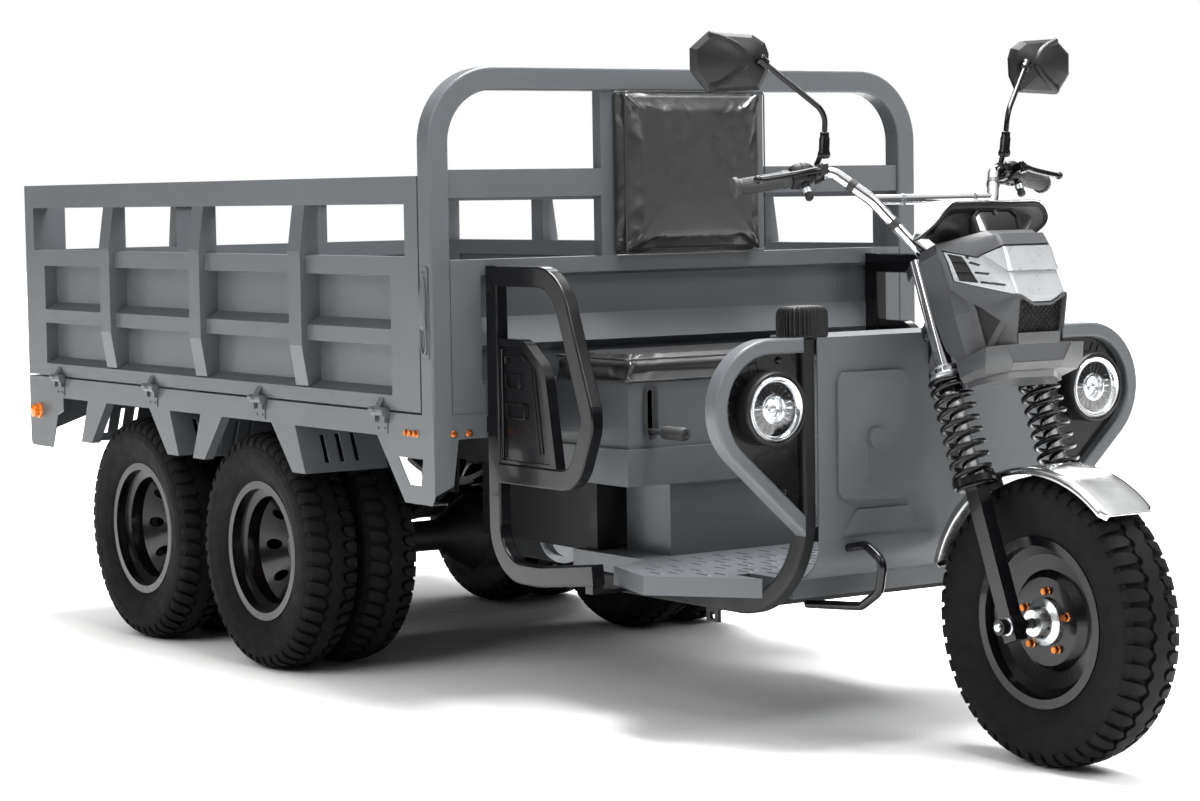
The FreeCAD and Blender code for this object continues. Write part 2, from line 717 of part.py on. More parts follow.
def mudguard(name, axle_x, ahead):
    """A sloped mud plate beside a wheel with its gusset on the outside, right side."""
    way = 1 if ahead else -1
    top, low = s.bed_underside, s.bed_underside - 110
    near_top, near_low = axle_x + way * 125, axle_x + way * 222
    far_top, far_low = axle_x + way * 238, axle_x + way * 284
    sheet_x = way * (s.skirt_depth * 1.4)
    owner = body(name)
    face = sketch(owner, name + "_face", "XZ", BED_HALF - s.skirt_depth)
    polygon(face, [(near_top, top), (near_low, low), (far_low, low), (far_top, top)])
    pad(owner, face, s.skirt_depth)
    plate = sketch(owner, name + "_plate", "XZ", BED_HALF - s.mud_plate_depth)
    polygon(plate, [
        (far_top, top), (far_low, low), (far_low - sheet_x, low), (far_top - sheet_x, top),
    ])
    pad(owner, plate, s.mud_plate_depth)
    flange = sketch(owner, name + "_flange", "XZ", BED_HALF - 24)
    polygon(flange, [
        (near_top, top), (near_low, low), (near_low + sheet_x, low), (near_top + sheet_x, top),
    ])
    pad(owner, flange, 24)
    slots = sketch(owner, name + "_slots", "XY", low)
    for number in range(3):
        edge = -BED_HALF + 58 + number * 40
        ends = (far_top + way * 7, far_low - way * 9)
        polygon(slots, [(ends[0], edge), (ends[1], edge), (ends[1], edge + 12), (ends[0], edge + 12)])
    pocket(owner, slots, top - low, False, True)
    return owner


def corner_step(name):
    """Pressed corner bracket with a window under the front corner of the bed, right side."""
    owner = body(name)
    top, low = s.bed_underside, s.bed_underside - 140
    front = BED_FRONT_X
    face = sketch(owner, name + "_face", "XZ", BED_HALF - s.skirt_depth)
    polygon(face, [
        (front - 240, top), (front - 134, low + 12), (front - 124, low), (front - 12, low),
        (front, low + 20), (front, top),
    ])
    polygon(face, [
        (front - 150, top - 42), (front - 104, top - 100), (front - 56, top - 100), (front - 46, top - 42),
    ])
    pad(owner, face, s.skirt_depth)
    side = sketch(owner, name + "_side", "YZ", front - s.skirt_depth)
    polygon(side, [
        (-BED_HALF, top), (-BED_HALF, low + 20), (-BED_HALF + 48, low + 40), (-BED_HALF + 62, top),
    ])
    pad(owner, side, s.skirt_depth)
    foot = sketch(owner, name + "_foot", "XZ", BED_HALF - 40)
    polygon(foot, [
        (front - 124, low), (front - 12, low), (front - 12, low + s.skirt_depth),
        (front - 124, low + s.skirt_depth),
    ])
    pad(owner, foot, 40)
    return owner


def end_plate(name):
    """Stepped end plate under the rear corner of the bed, right side."""
    owner = body(name)
    top, low = s.bed_underside, s.bed_underside - 136
    face = sketch(owner, name + "_face", "XZ", BED_HALF - s.skirt_depth)
    polygon(face, [
        (REAR_X, top), (REAR_X, low + 10), (REAR_X + 10, low), (REAR_X + 138, low),
        (REAR_X + 150, low + 24), (REAR_X + 178, top - 46), (REAR_X + 214, top - 34), (REAR_X + 214, top),
    ])
    pad(owner, face, s.skirt_depth)
    side = sketch(owner, name + "_side", "YZ", REAR_X)
    polygon(side, [
        (-BED_HALF, top), (-BED_HALF, low + 10), (-BED_HALF + 40, low + 30), (-BED_HALF + 180, top - 60),
        (-BED_HALF + 180, top),
    ])
    pad(owner, side, s.skirt_depth)
    return owner


# Running gear

def leaf_pack(name, axle_x, y):
    """Three curved leaves with eyes on the axle saddle, and the two hangers."""
    seat = s.tyre_radius + s.axle_tube + 8
    low = seat.number
    thick = float(s.leaf_thickness)
    half = float(s.leaf_span) / 2
    rise = float(s.leaf_eye_height) - (low + 2.5 * thick)
    radius = (half * half + rise * rise) / (2 * rise)
    centre = Vector(float(axle_x), 0, low + 2.5 * thick + radius)
    edge = y - float(s.leaf_width) / 2
    solids = []
    for number, share in enumerate((1.0, 0.72, 0.45)):
        swing = math.asin(half / radius) * share
        inner, outer = radius + thick * (number - 0.5), radius + thick * (number + 0.5)
        arc = []
        for reach in (inner, outer):
            ends = [
                centre + Vector(math.sin(turn) * reach, 0, -math.cos(turn) * reach)
                for turn in (-swing, 0, swing)
            ]
            arc.append(ends)
        face = Part.Face(Part.Wire([
            Part.Arc(*arc[0]).toShape(), Part.LineSegment(arc[0][2], arc[1][2]).toShape(),
            Part.Arc(*reversed(arc[1])).toShape(), Part.LineSegment(arc[1][0], arc[0][0]).toShape(),
        ]))
        face.translate(Vector(0, edge, 0))
        solids.append(face.extrude(Vector(0, float(s.leaf_width), 0)))
    eye_z = float(s.leaf_eye_height)
    top = RAIL_FOOT.number + 19.7
    for way in (-1, 1):
        eye_x = float(axle_x) + way * half
        spot = Vector(eye_x, edge, eye_z)
        solids.append(Part.makeCylinder(15, float(s.leaf_width), spot, Vector(0, 1, 0)))
        outline = Part.makePolygon([
            Vector(eye_x - 16, edge, eye_z - 16), Vector(eye_x + 16, edge, eye_z - 16),
            Vector(eye_x + 26, edge, top), Vector(eye_x - 26, edge, top),
            Vector(eye_x - 16, edge, eye_z - 16),
        ])
        for start in (-5, float(s.leaf_width)):
            plate = Part.Face(outline)
            plate.translate(Vector(0, start, 0))
            solids.append(plate.extrude(Vector(0, 5, 0)))
        pin = Part.makeCylinder(7, float(s.leaf_width) + 24, Vector(eye_x, edge - 12, eye_z), Vector(0, 1, 0))
        solids.append(pin)
    axle = Vector(float(axle_x), edge - 1, float(s.tyre_radius))
    seat_cut = Part.makeCylinder(float(s.axle_tube), float(s.leaf_width) + 2, axle, Vector(0, 1, 0))
    saddle = Part.makeBox(90, float(s.leaf_width), 33, Vector(float(axle_x) - 45, edge, low - 30))
    solids.append(saddle.cut(seat_cut))
    pack = solids[0].multiFuse(solids[1:])
    return shape(name, pack.removeSplitter())


def drive_axle(name, axle_x):
    """Axle tube with its differential housing and two spindles, turned about the axle."""
    owner = body(name)
    outline = sketch(owner, name + "_profile", "XY")
    tube_end = s.twin_plane - s.twin_spacing / 2 - 142
    tip = s.twin_plane - s.twin_spacing / 2 + 20
    spindle = s.hub_bore - s.running_gap
    half = [
        (s.axle_tube, 150), (s.axle_tube, tube_end), (s.axle_tube + 14, tube_end),
        (s.axle_tube + 14, tube_end + 8), (spindle, tube_end + 8), (spindle, tip),
    ]
    right = [(reach, -along) for reach, along in half]
    polygon(outline, [
        (0, -tip), *reversed(right), (s.drive_bulge * 0.78, -96), (s.drive_bulge, -60), (s.drive_bulge, 60),
        (s.drive_bulge * 0.78, 96), *half, (0, tip),
    ])
    revolve(owner, outline, "V_Axis")
    return place(owner, axle_x, 0, s.tyre_radius)


def drive_motor():
    """Electric drive motor and its gear case on the first driven axle."""
    x = DRIVE_AXLES_X[0] + s.drive_bulge - 20
    case = rod("motor_case", "x", 78, 210, x, 40, s.tyre_radius + 18)
    end = rod("motor_end", "x", 62, 26, x + 210, 40, s.tyre_radius + 18)
    seat = rod("motor_seat", "y", s.drive_bulge + s.seat_gap, 240, DRIVE_AXLES_X[0], -90, s.tyre_radius)
    return cut("drive_motor", fuse("motor_and_end", case, end), seat)


def faceted_ring(profile, count):
    """A ring with flat facets about the Y axis; the profile gives radius and place along Y."""
    spread = 1 / math.cos(math.pi / count)
    rings = []
    for number in range(count):
        turn = 2 * math.pi * (number + 0.5) / count - math.pi / 2
        rings.append([
            Vector(math.cos(turn) * reach * spread, along, math.sin(turn) * reach * spread)
            for reach, along in profile
        ])
    faces = []
    for number in range(count):
        here, there = rings[number], rings[(number + 1) % count]
        for step in range(len(profile)):
            follow = (step + 1) % len(profile)
            corners = [here[step], here[follow], there[follow], there[step], here[step]]
            faces.append(Part.Face(Part.makePolygon(corners)))
    return Part.makeSolid(Part.makeShell(faces))


TYRE_FACETS = 24


def tyre():
    """One tyre about the Y axis, its tread flat standing on the ground."""
    bore = float(s.bead_radius) + float(s.tyre_fit)
    bead = float(s.rim_width) / 2 - float(s.rim_wall) - float(s.tyre_fit)
    wide, tread = float(s.tyre_width) / 2, float(s.tyre_radius)
    half = [
        (bore, bead), (float(s.rim_flange) + 2, bead), ((bore + tread) / 2 + 4, wide),
        (tread - 18, wide - 5), (tread, wide - 20),
    ]
    return faceted_ring(half + [(reach, -along) for reach, along in reversed(half)], TYRE_FACETS)


def rim_barrel(owner, name, middle):
    """Flanges, bead seats and drop well of a rim whose middle lies at a distance along Y."""
    seat, flange, wall = s.bead_radius, s.rim_flange, s.rim_wall
    half, well = s.rim_width / 2, s.bead_radius - 20
    drawing = sketch(owner, name, "XY")
    outer = [
        (flange, half), (flange, half - wall), (seat, half - wall), (seat, half - 26),
        (well, half - 34), (well, -half + 34), (seat, -half + 26), (seat, -half + wall),
        (flange, -half + wall), (flange, -half),
    ]
    inner = [
        (seat - wall, -half), (seat - wall, -half + 24), (well - wall, -half + 32),
        (well - wall, half - 32), (seat - wall, half - 24), (seat - wall, half),
    ]
    polygon(drawing, [(reach, middle + along) for reach, along in outer + inner])
    revolve(owner, drawing, "V_Axis")


def twin_rims(name):
    """Two dished rims bolted back to back on a brake drum; the outer side is along -Y."""
    owner = body(name)
    offset = s.twin_spacing / 2
    well = s.bead_radius - 20 - s.rim_wall
    wall = s.rim_wall
    for side, way in (("outer", -1), ("inner", 1)):
        rim_barrel(owner, name + "_barrel_" + side, way * offset)
        disc = sketch(owner, name + "_disc_" + side, "XY")
        polygon(disc, [
            (s.hub_bore, 0), (s.hub_bore, way * wall), (76, way * wall), (100, way * 34),
            (well + 2, way * 68), (well + 2, way * 60), (104, way * 30), (80, 0),
        ])
        revolve(owner, disc, "V_Axis")
    drum = sketch(owner, name + "_drum", "XY")
    polygon(drum, [
        (s.hub_bore, wall), (66, wall), (66, 58), (112, 76), (112, 132), (104, 132), (104, 84),
        (s.hub_bore, 84),
    ])
    revolve(owner, drum, "V_Axis")
    cap = sketch(owner, name + "_cap", "XY")
    polygon(cap, [(s.hub_bore, -wall), (s.hub_radius - 14, -wall), (40, -34), (s.hub_bore, -34)])
    revolve(owner, cap, "V_Axis")
    holes = sketch(owner, name + "_hand_holes", "XZ")
    for number in range(8):
        turn = 2 * math.pi * number / 8
        spot = Vector(104 * math.cos(turn), 104 * math.sin(turn), 0)
        draw(holes, [Part.Circle(spot, Vector(0, 0, 1), 13)])
    pocket(owner, holes, (offset + 20) * 2, True)
    return owner


def front_rim(name):
    """Front rim with its disc and hub on one axle bore."""
    owner = body(name)
    rim_barrel(owner, name + "_barrel", 0)
    wall = s.rim_wall
    well = s.bead_radius - 20 - wall
    disc = sketch(owner, name + "_disc", "XY")
    polygon(disc, [
        (s.hub_radius - 20, -22), (82, -22), (96, -8), (well + 2, -14), (well + 2, -20),
        (100, -14), (86, -28), (s.hub_radius - 20, -28),
    ])
    revolve(owner, disc, "V_Axis")
    hub = sketch(owner, name + "_hub", "XY")
    bore = s.axle_radius + s.running_gap
    polygon(hub, [
        (bore, -62), (24, -62), (30, -40), (44, -34), (44, -22), (70, -22), (70, 30), (44, 34),
        (30, 50), (24, 62), (bore, 62),
    ])
    revolve(owner, hub, "V_Axis")
    return owner


# Footwell, seat and shield

def rail_holes(name, xs, zs):
    """Clearance blocks for what runs in line with both chassis rails."""
    gap = s.seat_gap
    holes = []
    for side, y in (("right", -s.rail_spacing / 2), ("left", s.rail_spacing / 2)):
        edges = (y - s.rail_width / 2 - gap, y + s.rail_width / 2 + gap)
        holes.append(block(name + "_" + side, (xs[0] - gap, xs[1] + gap), edges, zs))
    return group(name, *holes)


def cab_floor():
    """Folded floor pan between the floor tubes with a wedge-shaped step on each side."""
    owner = body("floor_pan")
    top = s.floor_height
    inner = s.frame_outer / 2
    slim = inner - s.frame_tube_width - s.seat_gap
    rear, front = SEAT_BACK_X + 20, SHIELD_X - 84
    rise = SHIELD_X - 225
    outline = sketch(owner, "floor_outline", "XY", top - s.pan_depth)
    left = [
        (SEAT_FRONT_X + 24, inner), (SEAT_FRONT_X + 55, inner + 106), (SEAT_FRONT_X + 229, inner + 154),
        (SHIELD_X - 140, inner + s.seat_gap), (rise, inner + s.seat_gap), (rise, slim), (front, slim),
    ]
    polygon(outline, [(rear, inner), *left, *[(x, -y) for x, y in reversed(left)], (rear, -inner)])
    pad(owner, outline, s.pan_depth)
    hollow = sketch(owner, "floor_hollow", "XY", top - s.pan_depth)
    fold = s.sheet
    left = [
        (SEAT_FRONT_X + 26, inner - fold), (SEAT_FRONT_X + 58, inner + 102),
        (SEAT_FRONT_X + 229, inner + 150),
        (SHIELD_X - 150, inner + 4), (rise - fold, inner + 4), (rise - fold, slim - fold),
        (front - fold, slim - fold),
    ]
    right = [(x, -y) for x, y in reversed(left)]
    polygon(hollow, [(rear + fold, inner - fold), *left, *right, (rear + fold, -inner + fold)])
    pocket(owner, hollow, s.pan_depth - s.sheet, False, True)
    return cut("cab_floor", owner, rail_holes("floor_notch", UPRIGHT_X, (top - 2 * fold, top + fold)))


def seat_box():
    """Seat box, its flange band and the battery cabinet below, with lever slot and side openings."""
    owner = body("seat_shell")
    half, fold = s.seat_width / 2, s.sheet
    lip = s.seat_flange_lip
    wide = s.cabinet_width / 2
    for name, xs, y, zs in (
        ("box", (SEAT_BACK_X, SEAT_FRONT_X), half, (s.seat_flange_low, s.seat_box_top)),
        ("band", (SEAT_BACK_X, SEAT_FRONT_X + lip), half + lip, (s.seat_flange_low, s.seat_flange_top)),
        ("cabinet", (SEAT_BACK_X + 110, SEAT_FRONT_X), wide, (s.floor_height, s.seat_flange_low)),
    ):
        outline = sketch(owner, "seat_" + name, "XY", zs[0])
        polygon(outline, [(xs[0], -y), (xs[1], -y), (xs[1], y), (xs[0], y)])
        pad(owner, outline, zs[1] - zs[0])
    for name, xs, y, zs in (
        ("box", (SEAT_BACK_X + fold, SEAT_FRONT_X - fold), half - fold,
         (s.seat_flange_top - fold, s.seat_box_top - fold)),
        ("band", (SEAT_BACK_X + fold, SEAT_FRONT_X + lip - fold), half + lip - fold,
         (s.seat_flange_low + fold, s.seat_flange_top - fold)),
        ("cabinet", (SEAT_BACK_X + 110 + fold, SEAT_FRONT_X - fold), wide - fold,
         (s.floor_height, s.seat_flange_low)),
    ):
        outline = sketch(owner, "seat_inner_" + name, "XY", zs[0])
        polygon(outline, [(xs[0], -y), (xs[1], -y), (xs[1], y), (xs[0], y)])
        pocket(owner, outline, zs[1] - zs[0], False, True)
    slot = sketch(owner, "lever_slot", "YZ", SEAT_FRONT_X - 20)
    near, far = LEVER_Y - 12, LEVER_Y + 8
    draw(slot, rounded([(near, 608, 9), (far, 608, 9), (far, 706, 9), (near, 706, 9)]))
    pocket(owner, slot, 40, False, True)
    floor = (s.seat_flange_low - fold, s.seat_flange_low + 2 * fold)
    wall = (SEAT_BACK_X - fold, SEAT_BACK_X + 2 * fold)
    return cut("seat_box", owner, group(
        "seat_notches", rail_holes("seat_floor_notch", UPRIGHT_X, floor),
        rail_holes("seat_wall_notch", wall, (RAIL_FOOT - s.seat_gap, RAIL_TOP)),
    ))


def front_shield():
    """Pressed front shield: flat face with a top shelf and raised panels on both sides."""
    owner = body("front_shield")
    half = FRAME_Y - s.frame_tube_width / 2 - 1
    face = sketch(owner, "shield_section", "XZ")
    x, top, fold = SHIELD_X, s.shield_top, s.sheet
    polygon(face, [
        (x, s.shield_low), (x, top + fold), (x - 150, top + fold), (x - 150, top - 27),
        (x - 150 + fold, top - 27), (x - 150 + fold, top), (x - fold, top), (x - fold, s.shield_low),
    ])
    pad(owner, face, half * 2, True)
    raised = sketch(owner, "shield_raised", "YZ", SHIELD_X)
    for way in (-1, 1):
        outline = rounded([
            (way * 262, 762, 22), (way * 262, 512, 22), (way * 60, 500, 40), (way * 52, 590, 20),
            (way * 78, 762, 34),
        ])
        draw(raised, outline)
    pad(owner, raised, s.emboss)
    low = sketch(owner, "shield_low_raised", "YZ", SHIELD_X)
    for way in (-1, 1):
        polygon(low, [
            (way * 250, 440), (way * 214, 488), (way * 84, 488), (way * 52, 440),
        ])
    pad(owner, low, s.emboss)
    slot = sketch(owner, "neck_slot", "YZ", SHIELD_X - 23)
    polygon(slot, [(-20.5, top - 92), (20.5, top - 92), (20.5, top + 8), (-20.5, top + 8)])
    pocket(owner, slot, 30, False, True)
    knob = sketch(owner, "lock_knob", "YZ", SHIELD_X + s.emboss)
    draw(knob, [Part.Circle(Vector(-167, 629, 0), Vector(0, 0, 1), 20)])
    pad(owner, knob, 10)
    return owner


def shield_valance():
    """Black curved sheet from the foot of the shield back to the floor."""
    half = float(FRAME_Y) - float(s.frame_tube_width) / 2 - 1
    x, low, floor = float(SHIELD_X), float(s.shield_low), float(s.floor_height)
    deep = low - floor
    arcs = []
    for gap in (0.0, float(s.sheet)):
        reach = deep - gap
        centre = Vector(x - deep, -half, low - float(s.seat_gap))
        arcs.append([
            centre + Vector(reach * math.cos(turn), 0, -reach * math.sin(turn))
            for turn in (0, math.pi / 4, math.pi / 2)
        ])
    wire = Part.Wire([
        Part.Arc(*arcs[0]).toShape(), Part.LineSegment(arcs[0][2], arcs[1][2]).toShape(),
        Part.Arc(*reversed(arcs[1])).toShape(), Part.LineSegment(arcs[1][0], arcs[0][0]).toShape(),
    ])
    return shape("shield_valance", Part.Face(wire).extrude(Vector(0, half * 2, 0)))


def hoop_outline(reach):
    """Teardrop of a lamp hoop at a distance from the lamp centre, right side, seen from the front."""
    y, z = -float(s.hoop_centre_y), float(s.hoop_centre_z)
    inner = -float(FRAME_Y) - float(s.frame_tube_width) / 2
    slope = math.radians(42)
    tangent = Vector(0, y - reach * math.sin(slope), z - reach * math.cos(slope))
    run = (inner - tangent.y) / math.cos(slope)
    end = Vector(0, inner, tangent.z - run * math.sin(slope))
    middle = math.radians(270 - 42) / 2 + math.radians(90)
    deep = Vector(0, y + reach * math.cos(middle), z + reach * math.sin(middle))
    return Vector(0, inner, z + reach), Vector(0, y, z + reach), deep, tangent, end


def lamp_hoop():
    """Teardrop hoop of flattened tube beside the shield, right side."""
    half = float(s.lamp_hoop_tube) / 2
    outer = hoop_outline(float(s.lamp_hoop_radius) + half)
    inner = hoop_outline(float(s.lamp_hoop_radius) - half)
    edges = [
        Part.LineSegment(outer[0], outer[1]).toShape(), Part.Arc(outer[1], outer[2], outer[3]).toShape(),
        Part.LineSegment(outer[3], outer[4]).toShape(), Part.LineSegment(outer[4], inner[4]).toShape(),
        Part.LineSegment(inner[4], inner[3]).toShape(), Part.Arc(inner[3], inner[2], inner[1]).toShape(),
        Part.LineSegment(inner[1], inner[0]).toShape(), Part.LineSegment(inner[0], outer[0]).toShape(),
    ]
    face = Part.Face(Part.Wire(edges))
    face.translate(Vector(SHIELD_X.number - 35, 0, 0))
    solid = face.extrude(Vector(float(s.frame_tube_depth), 0, 0))
    long_edges = [edge for edge in solid.Edges if edge.BoundBox.XLength < 1]
    return shape("lamp_hoop", solid.makeFillet(6, long_edges))


def lamp_plate():
    """Black plate inside a lamp hoop with the hole for its headlamp, right side."""
    inner = hoop_outline(float(s.lamp_hoop_radius) - float(s.lamp_hoop_tube) / 2 - float(s.seat_gap))
    edges = [
        Part.LineSegment(inner[0], inner[1]).toShape(), Part.Arc(inner[1], inner[2], inner[3]).toShape(),
        Part.LineSegment(inner[3], inner[4]).toShape(), Part.LineSegment(inner[4], inner[0]).toShape(),
    ]
    face = Part.Face(Part.Wire(edges))
    face.translate(Vector(SHIELD_X.number - 20, 0, 0))
    plate = face.extrude(Vector(4, 0, 0))
    spot = Vector(SHIELD_X.number - 30, -float(s.hoop_centre_y), float(s.hoop_centre_z))
    hole = Part.makeCylinder(float(s.lamp_radius) - 6, 40, spot, Vector(1, 0, 0))
    return shape("lamp_plate", plate.cut(hole))


def headlamp():
    """Round headlamp: bowl, bezel ring and stepped lens, turned about its own axis."""
    owner = body("headlamp")
    outline = sketch(owner, "headlamp_profile", "XY")
    face = SHIELD_X - 16 + 44
    plate = SHIELD_X - 16
    reach = s.lamp_radius
    polygon(outline, [
        (plate - s.lamp_depth, 0), (plate - s.lamp_depth, 26), (plate - 22, 58), (plate - 6, reach - 6.3),
        (plate, reach - 6.3), (plate, reach), (face - 6, reach - 1), (face, reach - 8),
        (face - 4, reach - 13), (face - 10, reach - 16), (face - 6, 20), (face - 10, 16), (face - 10, 0),
    ])
    revolve(owner, outline, "H_Axis")
    return place(owner, 0, -s.hoop_centre_y, s.hoop_centre_z)


def ribbed_cap():
    """Ribbed rubber cap on top of the shield, right side, its outer end over the lamp hoop."""
    owner = body("charge_cap")
    foot = s.hoop_centre_z + s.lamp_hoop_radius + s.lamp_hoop_tube / 2 + 0.5
    x0, x1 = SHIELD_X - 66, SHIELD_X - 4
    y0, y1 = -FRAME_Y - 44, -FRAME_Y + 60
    ribs = 13
    pitch = (y1 - y0) / ribs
    groove = 4
    front = []
    for number in range(ribs):
        start = y0 + pitch * number
        front += [
            (x1, start), (x1, start + pitch * 0.6),
            (x1 - groove, start + pitch * 0.6), (x1 - groove, start + pitch),
        ]
    outline = polygon(sketch(owner, "cap_outline", "XY", foot), [(x0, y0), *front, (x0, y1)])
    pad(owner, outline, 60)
    base = sketch(owner, "cap_base", "XY", s.shield_top + s.sheet)
    edge = -s.frame_outer / 2 + 0.5
    polygon(base, [(x0, edge), (x1 - groove, edge), (x1 - groove, y1), (x0, y1)])
    pad(owner, base, foot - s.shield_top - s.sheet)
    return owner


def side_guard():
    """Bent flat tube beside the seat: upper loop, post and lower loop, right side."""
    y = -float(s.guard_plane)
    post = float(SEAT_BACK_X) + 18
    front = float(SEAT_FRONT_X)
    tube, face = s.guard_tube, s.guard_face
    upper = (
        (post, y, 949), (front - 10, y, 949), (front + 106, y, 655), (front + 49, y, 527), (post, y, 527),
    )
    parts = [
        box_tube(upper, (100, 60, 72), (0, 1, 0), tube, face, 4),
        box_tube(((post, y, 480), (post, y, 971)), (), (0, 1, 0), tube, face, 4),
        box_tube(
            ((post, y, 505), (post, y, 316), (front - 86, y, 316), (front + 114, y, 339)),
            (100, 400), (0, 1, 0), tube, face, 4,
        ),
    ]
    low = float(s.floor_height) - float(s.pan_depth)
    parts.append(Part.makeBox(26, 115, 8, Vector(front + 86, y - 13, low - 8)))
    parts.append(Part.makeBox(26, 26, 30, Vector(front + 86, y - 13, low - 8)))
    parts.append(Part.makeBox(
        post - 10 - float(BED_FRONT_X), 26, 34, Vector(float(BED_FRONT_X), y - 13, 612)
    ))
    return shape("side_guard", parts[0].multiFuse(parts[1:]).removeSplitter())


def guard_panel():
    """Pressed panel with a rim and three embossed windows inside a guard, right side."""
    owner = body("guard_panel")
    y = s.guard_plane
    back = SEAT_BACK_X + 41
    outline = [
        (back, 816, 0), (back + 96, 816, 60), (back + 176, 756, 60), (back + 214, 549.3, 0), (back, 549.3, 0),
    ]
    sheet_face = sketch(owner, "guard_panel_outline", "XZ", y - 12)
    draw(sheet_face, rounded(outline))
    pad(owner, sheet_face, 24)
    inner = [
        (back + 6, 800, 0), (back + 88, 800, 50), (back + 160, 742, 50), (back + 192, 556, 0),
        (back + 6, 556, 0),
    ]
    for name, plane, depth in (("out", y + 12 - 5, 8), ("in", y - 12 - 3, 17)):
        hollow = sketch(owner, "guard_panel_hollow_" + name, "XZ", plane)
        draw(hollow, rounded(inner))
        pocket(owner, hollow, depth, False, True)
    return owner


def bumper_loop():
    """Round tube loop in front of the shield foot, right side."""
    y = -235
    points = (
        (SHIELD_X + 2.3, y, 412.5), (SHIELD_X + 56, y, 424), (SHIELD_X + 108, y, 396),
        (SHIELD_X + 96, y, 334),
        (SHIELD_X + 40, y, 300), (SHIELD_X - 130, y, 287),
    )
    return shape("bumper_loop", round_tube(points, (30, 26, 30, 30), 9))


def hand_lever():
    """Parking lever that comes out of the seat box, with its rubber grip and inner pivot."""
    x, y = SEAT_FRONT_X, LEVER_Y
    pivot = block("lever_pivot", (x - 46, x - 16), (y - 6, y + 6), (s.seat_flange_low + s.sheet, 650))
    arm = doc.addObject("Part::Cylinder", "lever_arm")
    arm.Placement = Placement(Vector(), Rotation(Vector(0, 0, 1), Vector(160, 0, -50)))
    bind(arm, Radius=6, Height=130)
    place(arm, x - 30, y, 643)
    grip = doc.addObject("Part::Cylinder", "lever_grip")
    grip.Placement = arm.Placement
    bind(grip, Radius=14, Height=76)
    place(grip, x + 54, y, 616.75)
    return fuse("hand_levers", pivot, arm, grip)


def seat_cushion():
    """Plain solid of the seat cushion on the seat box."""
    x0, x1, y = SEAT_BACK_X, SEAT_FRONT_X + s.cushion_lip, s.seat_width / 2 + s.cushion_lip
    owner = body("seat_cushion")
    shoulder = s.cushion_height - s.pad_crown
    for name, inset, low, high in (("base", 0, 0, shoulder), ("crown", 14, shoulder, s.cushion_height)):
        outline = sketch(owner, "cushion_" + name, "XY", s.seat_box_top + low)
        draw(outline, rounded([
            (x0 + inset, -y + inset, 24), (x1 - inset, -y + inset, 40),
            (x1 - inset, y - inset, 40), (x0 + inset, y - inset, 24),
        ]))
        pad(owner, outline, high - low)
    return owner


def backrest():
    """Plain solid of the backrest pad on the two posts."""
    y = s.backrest_width / 2
    back = BED_FRONT_X - 8
    owner = body("backrest")
    shoulder = s.backrest_depth - s.pad_crown
    for name, inset, start, depth in (("base", 0, 0, shoulder), ("crown", 14, shoulder, s.pad_crown)):
        outline = sketch(owner, "backrest_" + name, "YZ", back + start)
        low, high = s.backrest_low + inset, s.hoop_top - s.hoop_tube - s.seat_gap - inset
        draw(outline, rounded([
            (-y + inset, low, 40), (y - inset, low, 40), (y - inset, high, 60), (-y + inset, high, 60),
        ]))
        pad(owner, outline, depth)
    return owner


def battery_box():
    """Plain battery tray between the chassis rails, hung from their undersides."""
    half = s.rail_spacing / 2 - 38
    hang = RAIL_FOOT - s.seat_gap
    x0, x1 = BED_FRONT_X - 464, BED_FRONT_X - 24
    tray = block("battery_tray", (x0, x1), (-half, half), (330, hang))
    wide = s.rail_spacing / 2 + s.rail_width / 2
    ears = [
        block("battery_ear_%d" % number, (x, x + 50), (-wide, wide), (hang - 6, hang))
        for number, x in enumerate((x0 + 30, x1 - 80))
    ]
    return fuse("battery_box", tray, *ears)


def board_latch():
    """Toggle latch on the headboard post, right side: base plate, lever and hanging loop."""
    y = -BED_HALF
    x0, x1 = HOOP_BACK_X + 8, HOOP_BACK_X + 40
    base = block("latch_base", (x0, x1), (y - 5, y), (836, 975))
    lever = block("latch_lever", (x0 + 6, x1 - 6), (y - 13, y - 5), (850, 940))
    tail = block("latch_tail", (x0 + 10, x1 - 10), (y - 9, y - 4), (770, 850))
    return fuse("board_latch", base, lever, tail)


def side_marker():
    """Round amber lamp on the stepped end plate, right side."""
    return rod("side_marker", "y", 21, 12, REAR_X + 62, -BED_HALF - 12, 560)


def tail_lamp():
    """Upright tail lamp on the rear face of the end plate, right side."""
    y = -BED_HALF + 44
    return block("tail_lamp", (REAR_X - 3.5, REAR_X), (y, y + 118), (552, 594))


# Fork, handlebar and nacelle, drawn in the fork's own frame

def leaned(thing):
    """Puts a thing drawn upright, with its origin on the front axle, in its raked place."""
    thing.Placement = Placement(Vector(), Rotation(Vector(0, 1, 0), -float(s.rake)))
    return place(thing, FRONT_AXLE_X, 0, s.tyre_radius)


def fork_legs():
    """Lower fork legs with axle lugs, spring seats, mudguard brackets and the wheel axle."""
    face, side = s.fork_leg_face / 2, s.fork_leg_side / 2
    y = -s.fork_spacing / 2
    right = fuse(
        "fork_leg_right",
        block("fork_leg", (-face, face), (y - side, y + side), (-30, s.leg_top)),
        rod("axle_lug", "y", 24, s.fork_leg_side, 0, y - side, 0),
        rod("spring_seat", "z", s.spring_radius + 2, s.spring_low - s.leg_top, 0, y, s.leg_top),
        block("mudguard_bracket", (-14, 14), (y + side - 4, -s.fender_width / 2), (276, 292)),
        rod("axle_nut", "y", 15, 20, 0, y - side - 20, 0),
    )
    axle = rod("front_axle", "y", s.axle_radius, s.fork_spacing, 0, y, 0)
    return leaned(fuse("fork_legs", right, mirror("fork_leg_left", right), axle))


